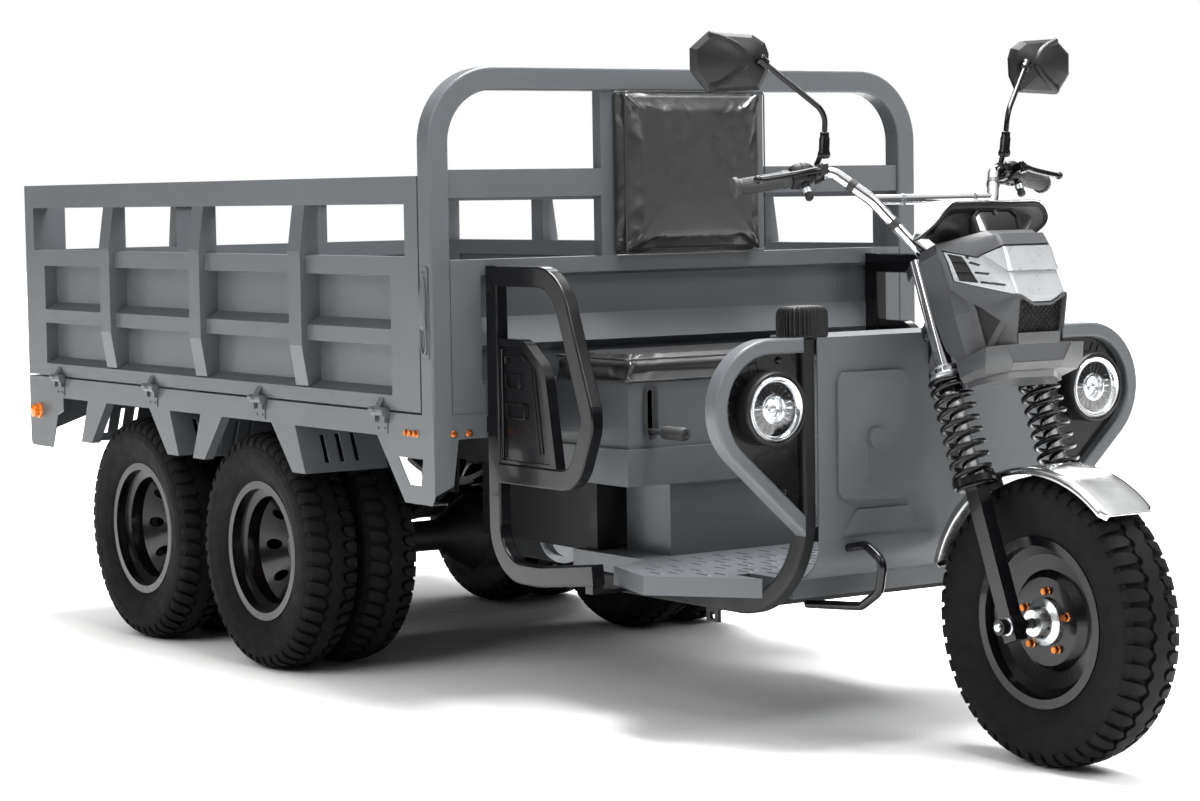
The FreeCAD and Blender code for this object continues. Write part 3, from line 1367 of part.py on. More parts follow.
def fork_tubes():
    """Bright tubes from the spring seats to the upper crown, with the spring collars."""
    y = -s.fork_spacing / 2
    top = s.crown_high + s.crown_plate
    right = fuse(
        "fork_tube_right",
        rod("fork_tube", "z", s.fork_tube, top - s.spring_low, 0, y, s.spring_low),
        rod("spring_collar", "z", s.spring_radius - 12, s.collar_height, 0, y, s.spring_high),
    )
    return leaned(group("fork_tubes", right, mirror("fork_tube_left", right)))


CROWN_FRONT = 25.7


def fork_crowns():
    """Both crowns and the steering stem that turns in the steering head."""
    half = s.fork_spacing / 2 + 26
    back, front = -s.fork_offset - 24, CROWN_FRONT
    plates = [
        shaped(name, "XY", low, [
            (back, -half + 50, 30), (front, -half, 24), (front, half, 24), (back, half - 50, 30),
        ], s.crown_plate, False)
        for name, low in (("crown_low", s.crown_low), ("crown_high", s.crown_high))
    ]
    rise = s.crown_high - s.crown_low
    stem = rod("steering_stem", "z", s.stem_radius, rise, -s.fork_offset, 0, s.crown_low)
    solid = fuse("crowns_and_stem", *plates, stem)
    length = s.crown_high + s.crown_plate - s.crown_low + 20
    holes = group("crown_holes", *[
        rod("crown_hole_" + side, "z", s.fork_tube, length, 0, y, s.crown_low - 10)
        for side, y in (("right", -s.fork_spacing / 2), ("left", s.fork_spacing / 2))
    ])
    return leaned(cut("fork_crowns", solid, holes))


def coil(radius, wire, height, turns, steps, corners):
    """A coil spring about the Z axis made of flat facets, standing on zero height."""
    rings = []
    rise = (height - wire) / (turns * steps)
    for number in range(turns * steps + 1):
        swing = 2 * math.pi * number / steps
        ring = []
        for corner in range(corners):
            turn = 2 * math.pi * (corner + 0.5) / corners
            reach = radius - wire / 2 + math.cos(turn) * wire / 2
            up = wire / 2 + rise * number + math.sin(turn) * wire / 2
            ring.append(Vector(math.cos(swing) * reach, math.sin(swing) * reach, up))
        rings.append(ring)
    faces = [Part.Face(Part.makePolygon(ring + [ring[0]])) for ring in (rings[0], rings[-1])]
    for here, there in zip(rings, rings[1:]):
        for corner in range(corners):
            follow = (corner + 1) % corners
            for facet in (
                (here[corner], here[follow], there[corner]), (here[follow], there[follow], there[corner]),
            ):
                faces.append(Part.Face(Part.makePolygon([*facet, facet[0]])))
    return Part.makeSolid(Part.makeShell(faces))


COIL_STEPS = 12
COIL_CORNERS = 6


def fork_springs():
    """The two open coil springs over the fork tubes."""
    height = float(s.spring_high) - float(s.spring_low) - 2 * float(s.seat_gap)
    turns = int(s.spring_turns.number)
    solid = coil(float(s.spring_radius), float(s.spring_wire), height, turns, COIL_STEPS, COIL_CORNERS)
    spring = place(shape("fork_spring", solid), 0, -s.fork_spacing / 2, s.spring_low + s.seat_gap)
    return leaned(group("fork_springs", spring, mirror("fork_spring_left", spring)))


BAR_END = Vector(-138, -float(s.bar_half_width), 957)
BAR_KNEE = Vector(-68, -215, 962)
BAR_WAY = (BAR_KNEE - BAR_END).normalize()


def bar_point(along, ahead=0, up=0):
    """A point near the straight end of the handlebar, right side, in the fork's frame."""
    return BAR_END + BAR_WAY * along + Vector(ahead, 0, up)


def bar_rod(name, radius, start, end):
    """A cylinder between two points."""
    thing = doc.addObject("Part::Cylinder", name)
    thing.Placement = Placement(start, Rotation(Vector(0, 0, 1), end - start))
    bind(thing, Radius=radius, Height=(end - start).Length)
    return thing


def handlebar():
    """Bent handlebar in one piece, its crossbar and the two clamps on the upper crown."""
    right = [tuple(BAR_END), tuple(BAR_KNEE), (-35, -160, 888), (-22, -75, 760)]
    left = [(p, -y, w) for p, y, w in reversed(right)]
    bar = shape("handlebar_tube", round_tube(right + left, (40, 80, 50, 50, 80, 40), s.bar_radius))
    cross = rod("handlebar_cross", "y", 10, 320, -35, -160, 888)
    top = s.crown_high + s.crown_plate
    clamps = [
        block("bar_clamp_" + side, (-40, -4), (y - 12, y + 12), (top, 764))
        for side, y in (("right", -50), ("left", 50))
    ]
    return leaned(fuse("handlebar", bar, cross, *clamps))


def bar_grips():
    """Rubber grips over the ends of the handlebar."""
    cover = bar_rod("grip_cover", s.grip_radius, bar_point(-4), bar_point(116))
    hole = bar_rod("grip_hole", s.bar_radius + 0.05, bar_point(0), bar_point(130))
    right = cut("grip_right", cover, hole)
    return leaned(group("bar_grips", right, mirror("grip_left", right)))


def bar_controls():
    """Switch housings with their brake levers on the handlebar."""
    housing = bar_rod("switch_housing", 22, bar_point(120), bar_point(164))
    perch = bar_rod("lever_perch", 9, bar_point(150, 16), bar_point(150, 52, -6))
    lever = bar_rod("brake_lever", 6, bar_point(156, 48, -6), bar_point(8, 60, -8))
    tip = bar_rod("brake_lever_tip", 8.5, bar_point(16, 59.4, -7.9), bar_point(2, 60.5, -8.1))
    hole = bar_rod("housing_hole", s.bar_radius + 0.05, bar_point(110), bar_point(174))
    right = fuse("control_right", cut("housing_ring", housing, hole), perch, lever, tip)
    right.Refine = False
    return leaned(group("bar_controls", right, mirror("control_left", right)))


def mirrors():
    """Mirror clamps, bent stems and rounded mirror heads."""
    clamp = bar_rod("mirror_clamp", 19, bar_point(168), bar_point(182))
    hole = bar_rod("mirror_clamp_hole", s.bar_radius + 0.05, bar_point(150), bar_point(186))
    points = (tuple(bar_point(175, 4, 14)), (-30, -228, 1010), (-12, -240, 1060), (-34, -356, 1184))
    stem = shape("mirror_stem", round_tube(points, (25, 60), 5.5))
    head = shaped("mirror_head", "YZ", -19, [
        (-82, -52, 40), (78, -58, 40), (82, 50, 40), (-74, 58, 40),
    ], 38, False)
    head.Placement = Placement(Vector(-49, -413, 1188), Rotation(Vector(0, 1, 0), float(s.rake)))
    right = fuse("mirror_right", cut("mirror_clamp_ring", clamp, hole), stem, head)
    return leaned(group("mirrors", right, mirror("mirror_left", right)))


def ring(height, *half):
    """Closed level outline at a height from half its corners (place, half width), back to front."""
    right = [Vector(place, -reach, height) for place, reach in half]
    left = [Vector(place, reach, height) for place, reach in reversed(half)]
    return Part.makePolygon(right + left + [right[0]])


def lofted(rings):
    """Straight-sided solid through level outlines."""
    return Part.makeLoft(rings, True, True)


def level(height, back, corner, front, wide, narrow, inset=0):
    """One level of the nacelle: back, corner and front places, half widths at the back and front."""
    return ring(
        height, (back, wide - inset), (corner - inset * 0.4, wide - inset),
        (front - inset, narrow - inset * 0.6),
    )


# Height, back, corner and front places, half width at the back and at the front.
NACELLE_LEVELS = (
    (462, 46, 70, 104, 112, 60), (520, 46, 74, 148.8, 122, 58), (547, 26, 76, 162, 126, 57),
    (600, 26, 84, 188, 134, 60), (660, 26, 88, 180, 138, 60), (705, 26, 86, 179, 139, 57),
    (729, 26, 82, 172, 139, 57), (750, 32, 78, 150, 132, 60),
)
NACELLE_WALL = 3
MASK_LIFT = 4
# Side place and height of the corners of half the mask, chin first.
MASK_HALF = ((23, 591), (63, 607), (127, 665), (129, 727), (91, 696), (85, 699), (54, 705))
GRILLE_FOOT = Vector(148.8, 0, 520)
GRILLE_LEAN = math.degrees(math.atan2(188 - 148.8, 600 - 520))
# Half width and reach up the leaned face of the corners of half the grille opening.
GRILLE_HALF = ((55, 18), (57, 82))
GRILLE_PITCH = 12
GRILLE_WIRE = 2.4


def nacelle_outer():
    return lofted([level(*item) for item in NACELLE_LEVELS])


def on_grille(back, front, border):
    """Block through the leaned front wall behind the grille, smaller by a border all round."""
    (low_half, low), (high_half, high) = GRILLE_HALF
    corners = ((low_half - border, low + border), (high_half - border, high - border))
    half = [Vector(back, -reach, up) for reach, up in corners]
    other = [Vector(back, reach, up) for reach, up in reversed(corners)]
    return Part.Face(Part.makePolygon(half + other + [half[0]])).extrude(Vector(front - back, 0, 0))


GRILLE_PLACE = Placement(GRILLE_FOOT, Rotation(Vector(0, 1, 0), GRILLE_LEAN))


def nacelle_shell():
    """Moulded shell ahead of the fork crowns with its chin, open to the rear and at the grille."""
    bottom, top = NACELLE_LEVELS[0][0], NACELLE_LEVELS[-1][0]
    inner_levels = []
    for height, back, corner, front, wide, narrow in NACELLE_LEVELS:
        up = NACELLE_WALL if height == bottom else -NACELLE_WALL if height == top else 0
        inner_levels.append((height + up, back - 10, corner, front, wide, narrow, NACELLE_WALL))
    inner = lofted([level(*item) for item in inner_levels])
    chin = lofted([
        ring(472, (47, 122), (112, 122), (124, 66)), ring(485, (47, 128), (122, 126), (136, 66)),
        ring(517, (47, 128), (140, 128), (149, 86)),
    ])
    chin_hollow = lofted([
        ring(475, (44, 119), (109, 119), (120, 64)), ring(485, (44, 125), (119, 123), (132, 64)),
        ring(514, (44, 125), (136, 125), (145, 84)),
    ])
    opening = on_grille(-8, 8, 0)
    opening.Placement = GRILLE_PLACE
    solid = nacelle_outer().fuse(chin).cut(inner).cut(chin_hollow).cut(opening)
    front = CROWN_FRONT + float(s.seat_gap)
    for height in (float(s.crown_low) + 2, float(s.crown_high) + 2):
        for low in (-150, 96):
            ear = Part.makeBox(8, 54, float(s.crown_plate) - 4, Vector(front, low, height))
            solid = solid.fuse(ear.common(nacelle_outer()))
    return leaned(shape("nacelle_shell", solid.removeSplitter()))


def nacelle_grille():
    """Diagonal wire grille that fills the opening under the mask."""
    reach = 70
    middle = sum(up for half, up in GRILLE_HALF) / 2
    wires = []
    for turn in (45, -45):
        for number in range(-6, 7):
            wire = Part.makeBox(GRILLE_WIRE, GRILLE_WIRE, 2 * reach)
            wire.translate(Vector(-2 * GRILLE_WIRE, number * GRILLE_PITCH - GRILLE_WIRE / 2, -reach))
            wire.rotate(Vector(), Vector(1, 0, 0), turn)
            wire.translate(Vector(0, 0, middle))
            wires.append(wire)
    back, front = -2 * GRILLE_WIRE, -GRILLE_WIRE
    lattice = wires[0].multiFuse(wires[1:]).common(on_grille(back, front, 0))
    border = on_grille(back, front, 0).cut(on_grille(back - 1, front + 1, GRILLE_WIRE))
    grille = shape("grille_lattice", lattice.fuse(border).removeSplitter())
    grille.Placement = GRILLE_PLACE
    return leaned(group("nacelle_grille", grille))


def nacelle_mask():
    """Bright V-shaped mask on the face of the nacelle."""
    right = [Vector(60, -side, up) for side, up in MASK_HALF]
    left = [Vector(60, side, up) for side, up in reversed(MASK_HALF)]
    outline = Part.makePolygon(right + left + [right[0]])
    around = lofted([level(*item, -MASK_LIFT) for item in NACELLE_LEVELS])
    skin = around.cut(nacelle_outer())
    solid = Part.Face(outline).extrude(Vector(150, 0, 0)).common(skin)
    return leaned(shape("nacelle_mask", solid))


def instrument_pod():
    """Dished instrument housing on top of the nacelle with its small front lamp."""
    dish = lofted([
        ring(750.3, (34, 70), (70, 84), (112, 60)), ring(785, (6, 110), (60, 140), (124, 66)),
        ring(818, (-4, 118), (60, 152), (137, 72)),
    ])
    lamp = lofted([
        ring(764, (90, 60), (124, 60)), ring(800, (90, 60), (127, 60)), ring(811, (90, 48), (128, 48)),
    ])
    return leaned(shape("instrument_pod", dish.fuse(lamp).removeSplitter()))


def front_fender():
    """Front mudguard: an arc of a U-shaped profile about the wheel axle."""
    owner = body("front_fender")
    outer, inner = s.fender_radius + s.fender_sheet, s.fender_radius
    half, lip = s.fender_width / 2, s.fender_radius - 15
    thin = half - s.fender_sheet
    outline = polygon(sketch(owner, "fender_profile", "XY"), [
        (lip, -half), (outer, -half), (outer, half), (lip, half), (lip, thin), (inner, thin),
        (inner, -thin), (lip, -thin),
    ])
    turn = revolve(owner, outline, "V_Axis")
    turn.Angle = 116
    turn.Reversed = True
    owner.Placement = Placement(Vector(), Rotation(Vector(0, 1, 0), -27 - float(s.rake)))
    return place(owner, FRONT_AXLE_X, 0, s.tyre_radius)


# Wheels and boards in their places

TYRE = tyre()
HALF_TURN = Rotation(Vector(0, 0, 1), 180)


def tyre_at(name, x, y):
    return place(shape(name, TYRE), x, y, s.tyre_radius)


def twin_wheel(name, x, way):
    """Keeps the two tyres and the joined rims of one twin wheel; way is -1 on the right."""
    outer = way * s.twin_plane
    inner = way * (s.twin_plane - s.twin_spacing)
    tyres = [tyre_at(name + "_outer", x, outer), tyre_at(name + "_inner", x, inner)]
    keep(name + "_tyres", group(name + "_tyres", *tyres))
    rims = twin_rims(name + "_rims")
    if way > 0:
        rims.Placement = Placement(Vector(), HALF_TURN)
    keep(name + "_rims", place(rims, x, way * (s.twin_plane - s.twin_spacing / 2), s.tyre_radius))


SIDE_LENGTH = HOOP_BACK_X - REAR_X - s.board_gap
SIDE_MIDDLE = REAR_X + SIDE_LENGTH / 2
SIDE_HINGES = (-826, -270, 298, 862)
SIDE_RIBS = (-s.board_rib_pitch, 0, s.board_rib_pitch)
TAIL_LENGTH = 2 * (BED_HALF - s.board_depth - s.board_gap)
TAIL_HINGES = (-430, 430)
TAIL_RIBS = (-TAIL_LENGTH / 6, TAIL_LENGTH / 6)


def boards_and_hinges():
    """Keeps the three drop boards and the fixed halves of their hinges."""
    quarter = Rotation(Vector(0, 0, 1), -90)
    fixed = []
    left_hinges = [-along for along in SIDE_HINGES]
    for name, length, ribs, hinges, turn, x, y in (
        ("side_board_right", SIDE_LENGTH, SIDE_RIBS, SIDE_HINGES, Rotation(), SIDE_MIDDLE, -BED_HALF),
        ("side_board_left", SIDE_LENGTH, SIDE_RIBS, left_hinges, HALF_TURN, SIDE_MIDDLE, BED_HALF),
        ("tailgate", TAIL_LENGTH, TAIL_RIBS, TAIL_HINGES, quarter, REAR_X, 0),
    ):
        thing = board(name, length, ribs, hinges)
        thing.Placement = Placement(Vector(), turn)
        keep(name, place(thing, x, y, BOARD_FOOT))
        for number, along in enumerate(hinges):
            half = hinge("%s_hinge_%d" % (name, number))
            half.Placement = Placement(Vector(), turn)
            step = turn.multVec(Vector(along, 0, 0))
            fixed.append(place(half, x + round(step.x, 6), y + round(step.y, 6), BOARD_FOOT))
    keep("bed_hinges", group("bed_hinges", *fixed))


# The nodes

keep("chassis_rails", chassis_rails())
keep("front_subframe", front_subframe())
keep("steering_frame", steering_frame())
keep("bed_frame", bed_frame())
keep("headboard_hoop", shape("headboard_hoop", headboard_hoop()))
keep("headboard_panel", headboard_panel())
keep("headboard_bars", headboard_bars())
boards_and_hinges()
plates = [
    mudguard("mudguard_%d_%s" % (number, "ahead" if ahead else "behind"), axle_x, ahead)
    for number, axle_x in enumerate(DRIVE_AXLES_X) for ahead in (True, False)
]
keep("mudguards", pair("mudguards", group("mudguards_right", *plates)))
corner = group("corner_steps_right", corner_step("corner_step"), end_plate("end_plate"))
keep("corner_steps", pair("corner_steps", corner))
keep("side_markers", pair("side_markers", side_marker()))
keep("tail_lamps", pair("tail_lamps", tail_lamp()))
packs = [
    leaf_pack("leaf_pack_%d" % number, axle_x, -float(s.rail_spacing) / 2)
    for number, axle_x in enumerate(DRIVE_AXLES_X)
]
keep("leaf_springs", pair("leaf_springs", group("leaf_springs_right", *packs)))
keep("drive_axles", group("drive_axles", *[
    drive_axle("drive_axle_%d" % number, axle_x) for number, axle_x in enumerate(DRIVE_AXLES_X)
]))
keep("drive_motor", drive_motor())
keep("battery_box", battery_box())
keep("cab_floor", cab_floor())
keep("seat_box", seat_box())
keep("seat_cushion", seat_cushion())
keep("backrest", backrest())
keep("hand_levers", hand_lever())
keep("front_shield", front_shield())
keep("shield_valance", shield_valance())
keep("lamp_hoops", pair("lamp_hoops", lamp_hoop()))
keep("lamp_plates", pair("lamp_plates", lamp_plate()))
keep("headlamps", pair("headlamps", headlamp()))
keep("charge_cap", ribbed_cap())
keep("side_guards", pair("side_guards", side_guard()))
keep("guard_panels", pair("guard_panels", guard_panel()))
keep("bumper_loops", pair("bumper_loops", bumper_loop()))
keep("board_latches", pair("board_latches", board_latch()))
for maker in (
    fork_legs, fork_tubes, fork_crowns, fork_springs, handlebar, bar_grips, bar_controls, mirrors,
    nacelle_shell, nacelle_grille, nacelle_mask, instrument_pod, front_fender,
):
    keep(maker.__name__, maker())
keep("front_tyre", tyre_at("front_tyre", FRONT_AXLE_X, 0))
keep("front_rim", place(front_rim("front_rim"), FRONT_AXLE_X, 0, s.tyre_radius))
for position, axle_x in zip(("mid", "rear"), DRIVE_AXLES_X):
    twin_wheel(position + "_wheel_right", axle_x, -1)
    twin_wheel(position + "_wheel_left", axle_x, 1)

doc.recompute()
for thing in doc.Objects:
    if "Invalid" in thing.State or "Error" in thing.State:
        raise RuntimeError("feature %s failed: %s" % (thing.Name, thing.State))
os.makedirs("parts", exist_ok=True)
for name, thing in nodes:
    if thing.Shape.isNull() or not thing.Shape.isValid() or not thing.Shape.Solids:
        raise RuntimeError("no sound solid for " + name)
    thing.Shape.exportStep("parts/" + name + ".step")
    print(name, len(thing.Shape.Solids), thing.Shape.BoundBox)
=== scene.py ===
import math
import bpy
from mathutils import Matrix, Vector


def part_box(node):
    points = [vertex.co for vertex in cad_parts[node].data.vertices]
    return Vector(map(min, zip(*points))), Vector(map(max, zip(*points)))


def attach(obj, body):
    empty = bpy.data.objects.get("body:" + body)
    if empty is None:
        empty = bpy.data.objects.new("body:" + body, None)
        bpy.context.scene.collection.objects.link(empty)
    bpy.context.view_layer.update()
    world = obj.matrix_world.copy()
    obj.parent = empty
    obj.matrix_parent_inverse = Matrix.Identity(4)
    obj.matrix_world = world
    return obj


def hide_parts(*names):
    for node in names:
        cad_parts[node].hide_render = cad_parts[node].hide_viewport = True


bl_info = {
    "name": "Cargo Trike Looks",
    "version": (1, 0, 0),
    "blender": (4, 5, 0),
    "location": "View3D > Sidebar > Cargo Trike",
    "description": "Enamel, tyres, lamps, padding, fork and trim of an electric cargo trike",
    "category": "Object",
}

import bmesh
import bpy
from bpy.props import FloatProperty, FloatVectorProperty, IntProperty, PointerProperty
from mathutils import Matrix, Vector
from mathutils.geometry import interpolate_bezier

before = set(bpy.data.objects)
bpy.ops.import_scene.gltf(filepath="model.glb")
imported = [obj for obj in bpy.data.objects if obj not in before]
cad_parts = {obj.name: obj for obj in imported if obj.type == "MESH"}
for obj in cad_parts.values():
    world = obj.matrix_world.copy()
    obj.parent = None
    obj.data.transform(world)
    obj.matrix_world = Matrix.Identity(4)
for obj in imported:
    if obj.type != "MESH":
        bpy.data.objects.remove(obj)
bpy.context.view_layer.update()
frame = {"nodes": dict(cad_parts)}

MM = 0.001
RIGHT = -1
LEFT = 1


def linear(code):
    """Linear colour of an sRGB hex value such as 7A8086."""
    parts = [int(code[i:i + 2], 16) / 255 for i in (0, 2, 4)]
    return tuple(
        part / 12.92 if part <= 0.04045 else ((part + 0.055) / 1.055) ** 2.4 for part in parts
    ) + (1.0,)


def colour_property(name, description, code):
    return FloatVectorProperty(
        name=name, description=description, subtype="COLOR", size=4, min=0.0, max=1.0, default=linear(code)
    )


def length_property(name, description, size):
    return FloatProperty(
        name=name, description=description, unit="LENGTH", subtype="DISTANCE", min=0.0, default=size * MM
    )


def power_property(name, description, power):
    return FloatProperty(name=name, description=description, unit="POWER", min=0.0, default=power)


class TrikePaint(bpy.types.PropertyGroup):
    """Colours of the finishes."""

    body: colour_property("Body enamel", "Baked enamel on the bed, shield and floor", "4C4F52")
    frame: colour_property("Frame enamel", "Black enamel on the chassis, guards and fork", "08080A")
    cover: colour_property("Nacelle cover", "Graphite moulding round the mask", "333436")
    mask: colour_property("Mask lacquer", "Silver lacquer on the nacelle mask", "97999B")
    rubber: colour_property("Tyre rubber", "Carbon black compound", "0C0C0D")
    vinyl: colour_property("Seat vinyl", "Leathercloth on the cushion and backrest", "161617")
    copper: colour_property("Nut plating", "Copper plating on the wheel nuts", "B9703A")
    amber: colour_property("Amber lens", "Side marker and repeater lenses", "E8780A")
    red: colour_property("Red lens", "Tail lamp lenses", "B80F14")


class TrikeTyre(bpy.types.PropertyGroup):
    """Sizes of the tread."""

    groove: length_property("Groove depth", "Depth of the tread grooves", 9)
    lugs: IntProperty(name="Lugs", description="Shoulder lugs on each side of a tyre", min=12, default=48)
    rib: length_property("Centre rib", "Half width of the chain of centre blocks", 17)


class TrikeTrim(bpy.types.PropertyGroup):
    """Sizes of the trim."""

    coil_turns: FloatProperty(name="Coil turns", description="Turns of a fork spring", min=3, default=9.0)
    mesh_pitch: length_property("Grille pitch", "Between the wires of the nacelle grille", 9)
    chequer_pitch: length_property("Chequer pitch", "Between the raised bars of the floor plate", 30)
    pillow: length_property("Padding swell", "How far the seat padding may swell", 12)


class TrikeStage(bpy.types.PropertyGroup):
    """Light and floor."""

    floor: colour_property("Floor", "Matt paper sweep under the trike", "F4F4F3")
    key: power_property("Key light", "Power of the main softbox", 230.0)
    fill: power_property("Fill light", "Power that the other softboxes are multiples of", 120.0)


def add(tree, kind, values=None, links=None, **settings):
    """Adds one node with its settings, its socket values and its incoming links."""
    node = tree.nodes.new(kind)
    for name, value in settings.items():
        setattr(node, name, value)
    for name, value in (values or {}).items():
        node.inputs[name].default_value = value
    for name, socket in (links or {}).items():
        tree.links.new(socket, node.inputs[name])
    return node


def new_finish(name, colour, roughness, metallic=0.0, **sockets):
    """Makes a material with its shader set; gives its node tree and its shader node."""
    material = bpy.data.materials.new(name)
    material.use_nodes = True
    material.diffuse_color = colour
    tree = material.node_tree
    shader = tree.nodes["Principled BSDF"]
    values = {"Base Color": colour, "Roughness": roughness, "Metallic": metallic, **sockets}
    for socket, value in values.items():
        shader.inputs[socket.replace("_", " ")].default_value = value
    return tree, shader


def mottle(tree, shader, colour, amount, size):
    """Cloudy change of colour by a small amount, over patches of a size in millimetres."""
    place = add(tree, "ShaderNodeTexCoord")
    noise = add(
        tree, "ShaderNodeTexNoise", {"Scale": 1000 / size, "Detail": 4.0, "Roughness": 0.6},
        {"Vector": place.outputs["Object"]},
    )
    darker = tuple(max(0.0, part * (1 - amount)) for part in colour[:3]) + (1.0,)
    lighter = tuple(min(1.0, part * (1 + amount)) for part in colour[:3]) + (1.0,)
    ramp = add(tree, "ShaderNodeValToRGB", links={"Fac": noise.outputs["Fac"]})
    ramp.color_ramp.elements[0].position = 0.35
    ramp.color_ramp.elements[0].color = darker
    ramp.color_ramp.elements[1].position = 0.65
    ramp.color_ramp.elements[1].color = lighter
    tree.links.new(ramp.outputs["Color"], shader.inputs["Base Color"])
    return place


def uneven_gloss(tree, shader, place, low, high, size):
    """Roughness that wanders between two values over patches of a size in millimetres."""
    noise = add(
        tree, "ShaderNodeTexNoise", {"Scale": 1000 / size, "Detail": 3.0}, {"Vector": place.outputs["Object"]}
    )
    spread = add(
        tree, "ShaderNodeMapRange", {"From Min": 0.3, "From Max": 0.7, "To Min": low, "To Max": high},
        {"Value": noise.outputs["Fac"]},
    )
    tree.links.new(spread.outputs["Result"], shader.inputs["Roughness"])


def grain(tree, shader, place, size, height, kind="ShaderNodeTexNoise", stretch=(1, 1, 1), **settings):
    """Bump of a grain whose size and height are in millimetres."""
    spread = add(
        tree, "ShaderNodeMapping", {"Scale": stretch}, {"Vector": place.outputs["Object"]}
    )
    pattern = add(tree, kind, {"Scale": 1000 / size}, {"Vector": spread.outputs["Vector"]}, **settings)
    output = pattern.outputs["Fac"] if "Fac" in pattern.outputs else pattern.outputs["Distance"]
    bump = add(
        tree, "ShaderNodeBump", {"Strength": 1.0, "Distance": height * MM}, {"Height": output}
    )
    tree.links.new(bump.outputs["Normal"], shader.inputs["Normal"])


def baked_enamel(paint):
    """Stoved enamel on sheet steel: smooth, half gloss, with a faint orange peel of about 6 mm."""
    tree, shader = new_finish(
        "slate_baked_enamel", paint.body, 0.36, Coat_Weight=0.12, Coat_Roughness=0.12, Specular_IOR_Level=0.3
    )
    place = mottle(tree, shader, paint.body, 0.05, 600)
    uneven_gloss(tree, shader, place, 0.32, 0.42, 180)
    grain(tree, shader, place, 6, 0.02)


def frame_enamel(paint):
    """Dipped black enamel on tube and plate: deep gloss that shows the room in streaks."""
    tree, shader = new_finish(
        "black_gloss_enamel", paint.frame, 0.24, Coat_Weight=0.14, Coat_Roughness=0.06,
        Specular_IOR_Level=0.22,
    )
    place = mottle(tree, shader, paint.frame, 0.15, 300)
    uneven_gloss(tree, shader, place, 0.16, 0.3, 120)
    grain(tree, shader, place, 5, 0.03)


def chassis_coat(paint):
    """Electro-dip primer on the hidden chassis: black, duller, a little dusty."""
    tree, shader = new_finish("chassis_dip_coat", paint.frame, 0.5, Specular_IOR_Level=0.25)
    place = mottle(tree, shader, linear("0E0F10"), 0.3, 140)
    uneven_gloss(tree, shader, place, 0.42, 0.62, 60)
    grain(tree, shader, place, 3, 0.05)


def graphite_cover(paint):
    """Injection moulded ABS, graphite: satin with the fine spark grain of the mould."""
    tree, shader = new_finish("graphite_moulded_abs", paint.cover, 0.38, IOR=1.53)
    place = mottle(tree, shader, paint.cover, 0.06, 200)
    uneven_gloss(tree, shader, place, 0.34, 0.44, 90)
    grain(tree, shader, place, 1.6, 0.03)


def black_moulding():
    """Moulded black nylon of switches, mirrors and caps: matt, grained coarser than real to show."""
    colour = linear("101011")
    tree, shader = new_finish("black_moulded_nylon", colour, 0.46, Specular_IOR_Level=0.3)
    place = mottle(tree, shader, colour, 0.12, 90)
    grain(tree, shader, place, 1.4, 0.05)


def silver_lacquer(paint):
    """Silver lacquer with fine flake over ABS: bright, soft-edged reflections."""
    tree, shader = new_finish(
        "silver_flake_lacquer", paint.mask, 0.3, 0.45, Coat_Weight=0.4, Coat_Roughness=0.08
    )
    place = mottle(tree, shader, paint.mask, 0.04, 3)
    uneven_gloss(tree, shader, place, 0.24, 0.34, 40)


def chrome_plate():
    """Decorative chromium on tube: mirror bright, a breath of haze."""
    colour = linear("E4E5E7")
    tree, shader = new_finish("bright_chrome_plate", colour, 0.07, 1.0)
    place = mottle(tree, shader, colour, 0.03, 60)
    uneven_gloss(tree, shader, place, 0.04, 0.12, 70)


def stainless_sheet():
    """Rolled stainless sheet of the front mudguard: bright with the fine lines of the rolls."""
    colour = linear("D3D4D5")
    tree, shader = new_finish("rolled_stainless_sheet", colour, 0.18, 1.0)
    place = mottle(tree, shader, colour, 0.06, 120)
    uneven_gloss(tree, shader, place, 0.12, 0.26, 50)
    grain(tree, shader, place, 12, 0.01, stretch=(1, 24, 1))


def zinc_plate():
    """Bright zinc on nuts, washers and the hub: soft metal shine with a fine spangle."""
    colour = linear("BFC2C4")
    tree, shader = new_finish("bright_zinc_plate", colour, 0.3, 1.0)
    place = mottle(tree, shader, colour, 0.1, 8)
    uneven_gloss(tree, shader, place, 0.22, 0.4, 14)
    grain(tree, shader, place, 2, 0.02)


def copper_plate(paint):
    """Copper flash on wheel nuts and bed bolts: warm and satin."""
    tree, shader = new_finish("copper_flashed_steel", paint.copper, 0.3, 1.0)
    place = mottle(tree, shader, paint.copper, 0.14, 7)
    uneven_gloss(tree, shader, place, 0.22, 0.42, 10)


def cast_housing():
    """Sand-cast aluminium of the motor: dull grey, rough as the sand."""
    colour = linear("8E9093")
    tree, shader = new_finish("sand_cast_aluminium", colour, 0.5, 1.0)
    place = mottle(tree, shader, colour, 0.15, 50)
    grain(tree, shader, place, 2.5, 0.2)


def tyre_rubber(paint):
    """Vulcanised tread compound: near black, matt, faintly dusty in patches."""
    tree, shader = new_finish("vulcanised_tyre_rubber", paint.rubber, 0.72, Specular_IOR_Level=0.12)
    place = mottle(tree, shader, paint.rubber, 0.3, 45)
    uneven_gloss(tree, shader, place, 0.64, 0.8, 30)
    grain(tree, shader, place, 2.2, 0.09)


def soft_rubber():
    """Soft moulded rubber of grips, bands and lever knob: black and matt."""
    colour = linear("1B1B1C")
    tree, shader = new_finish("soft_moulded_rubber", colour, 0.6, IOR=1.52)
    place = mottle(tree, shader, colour, 0.15, 30)
    grain(tree, shader, place, 1.8, 0.06)


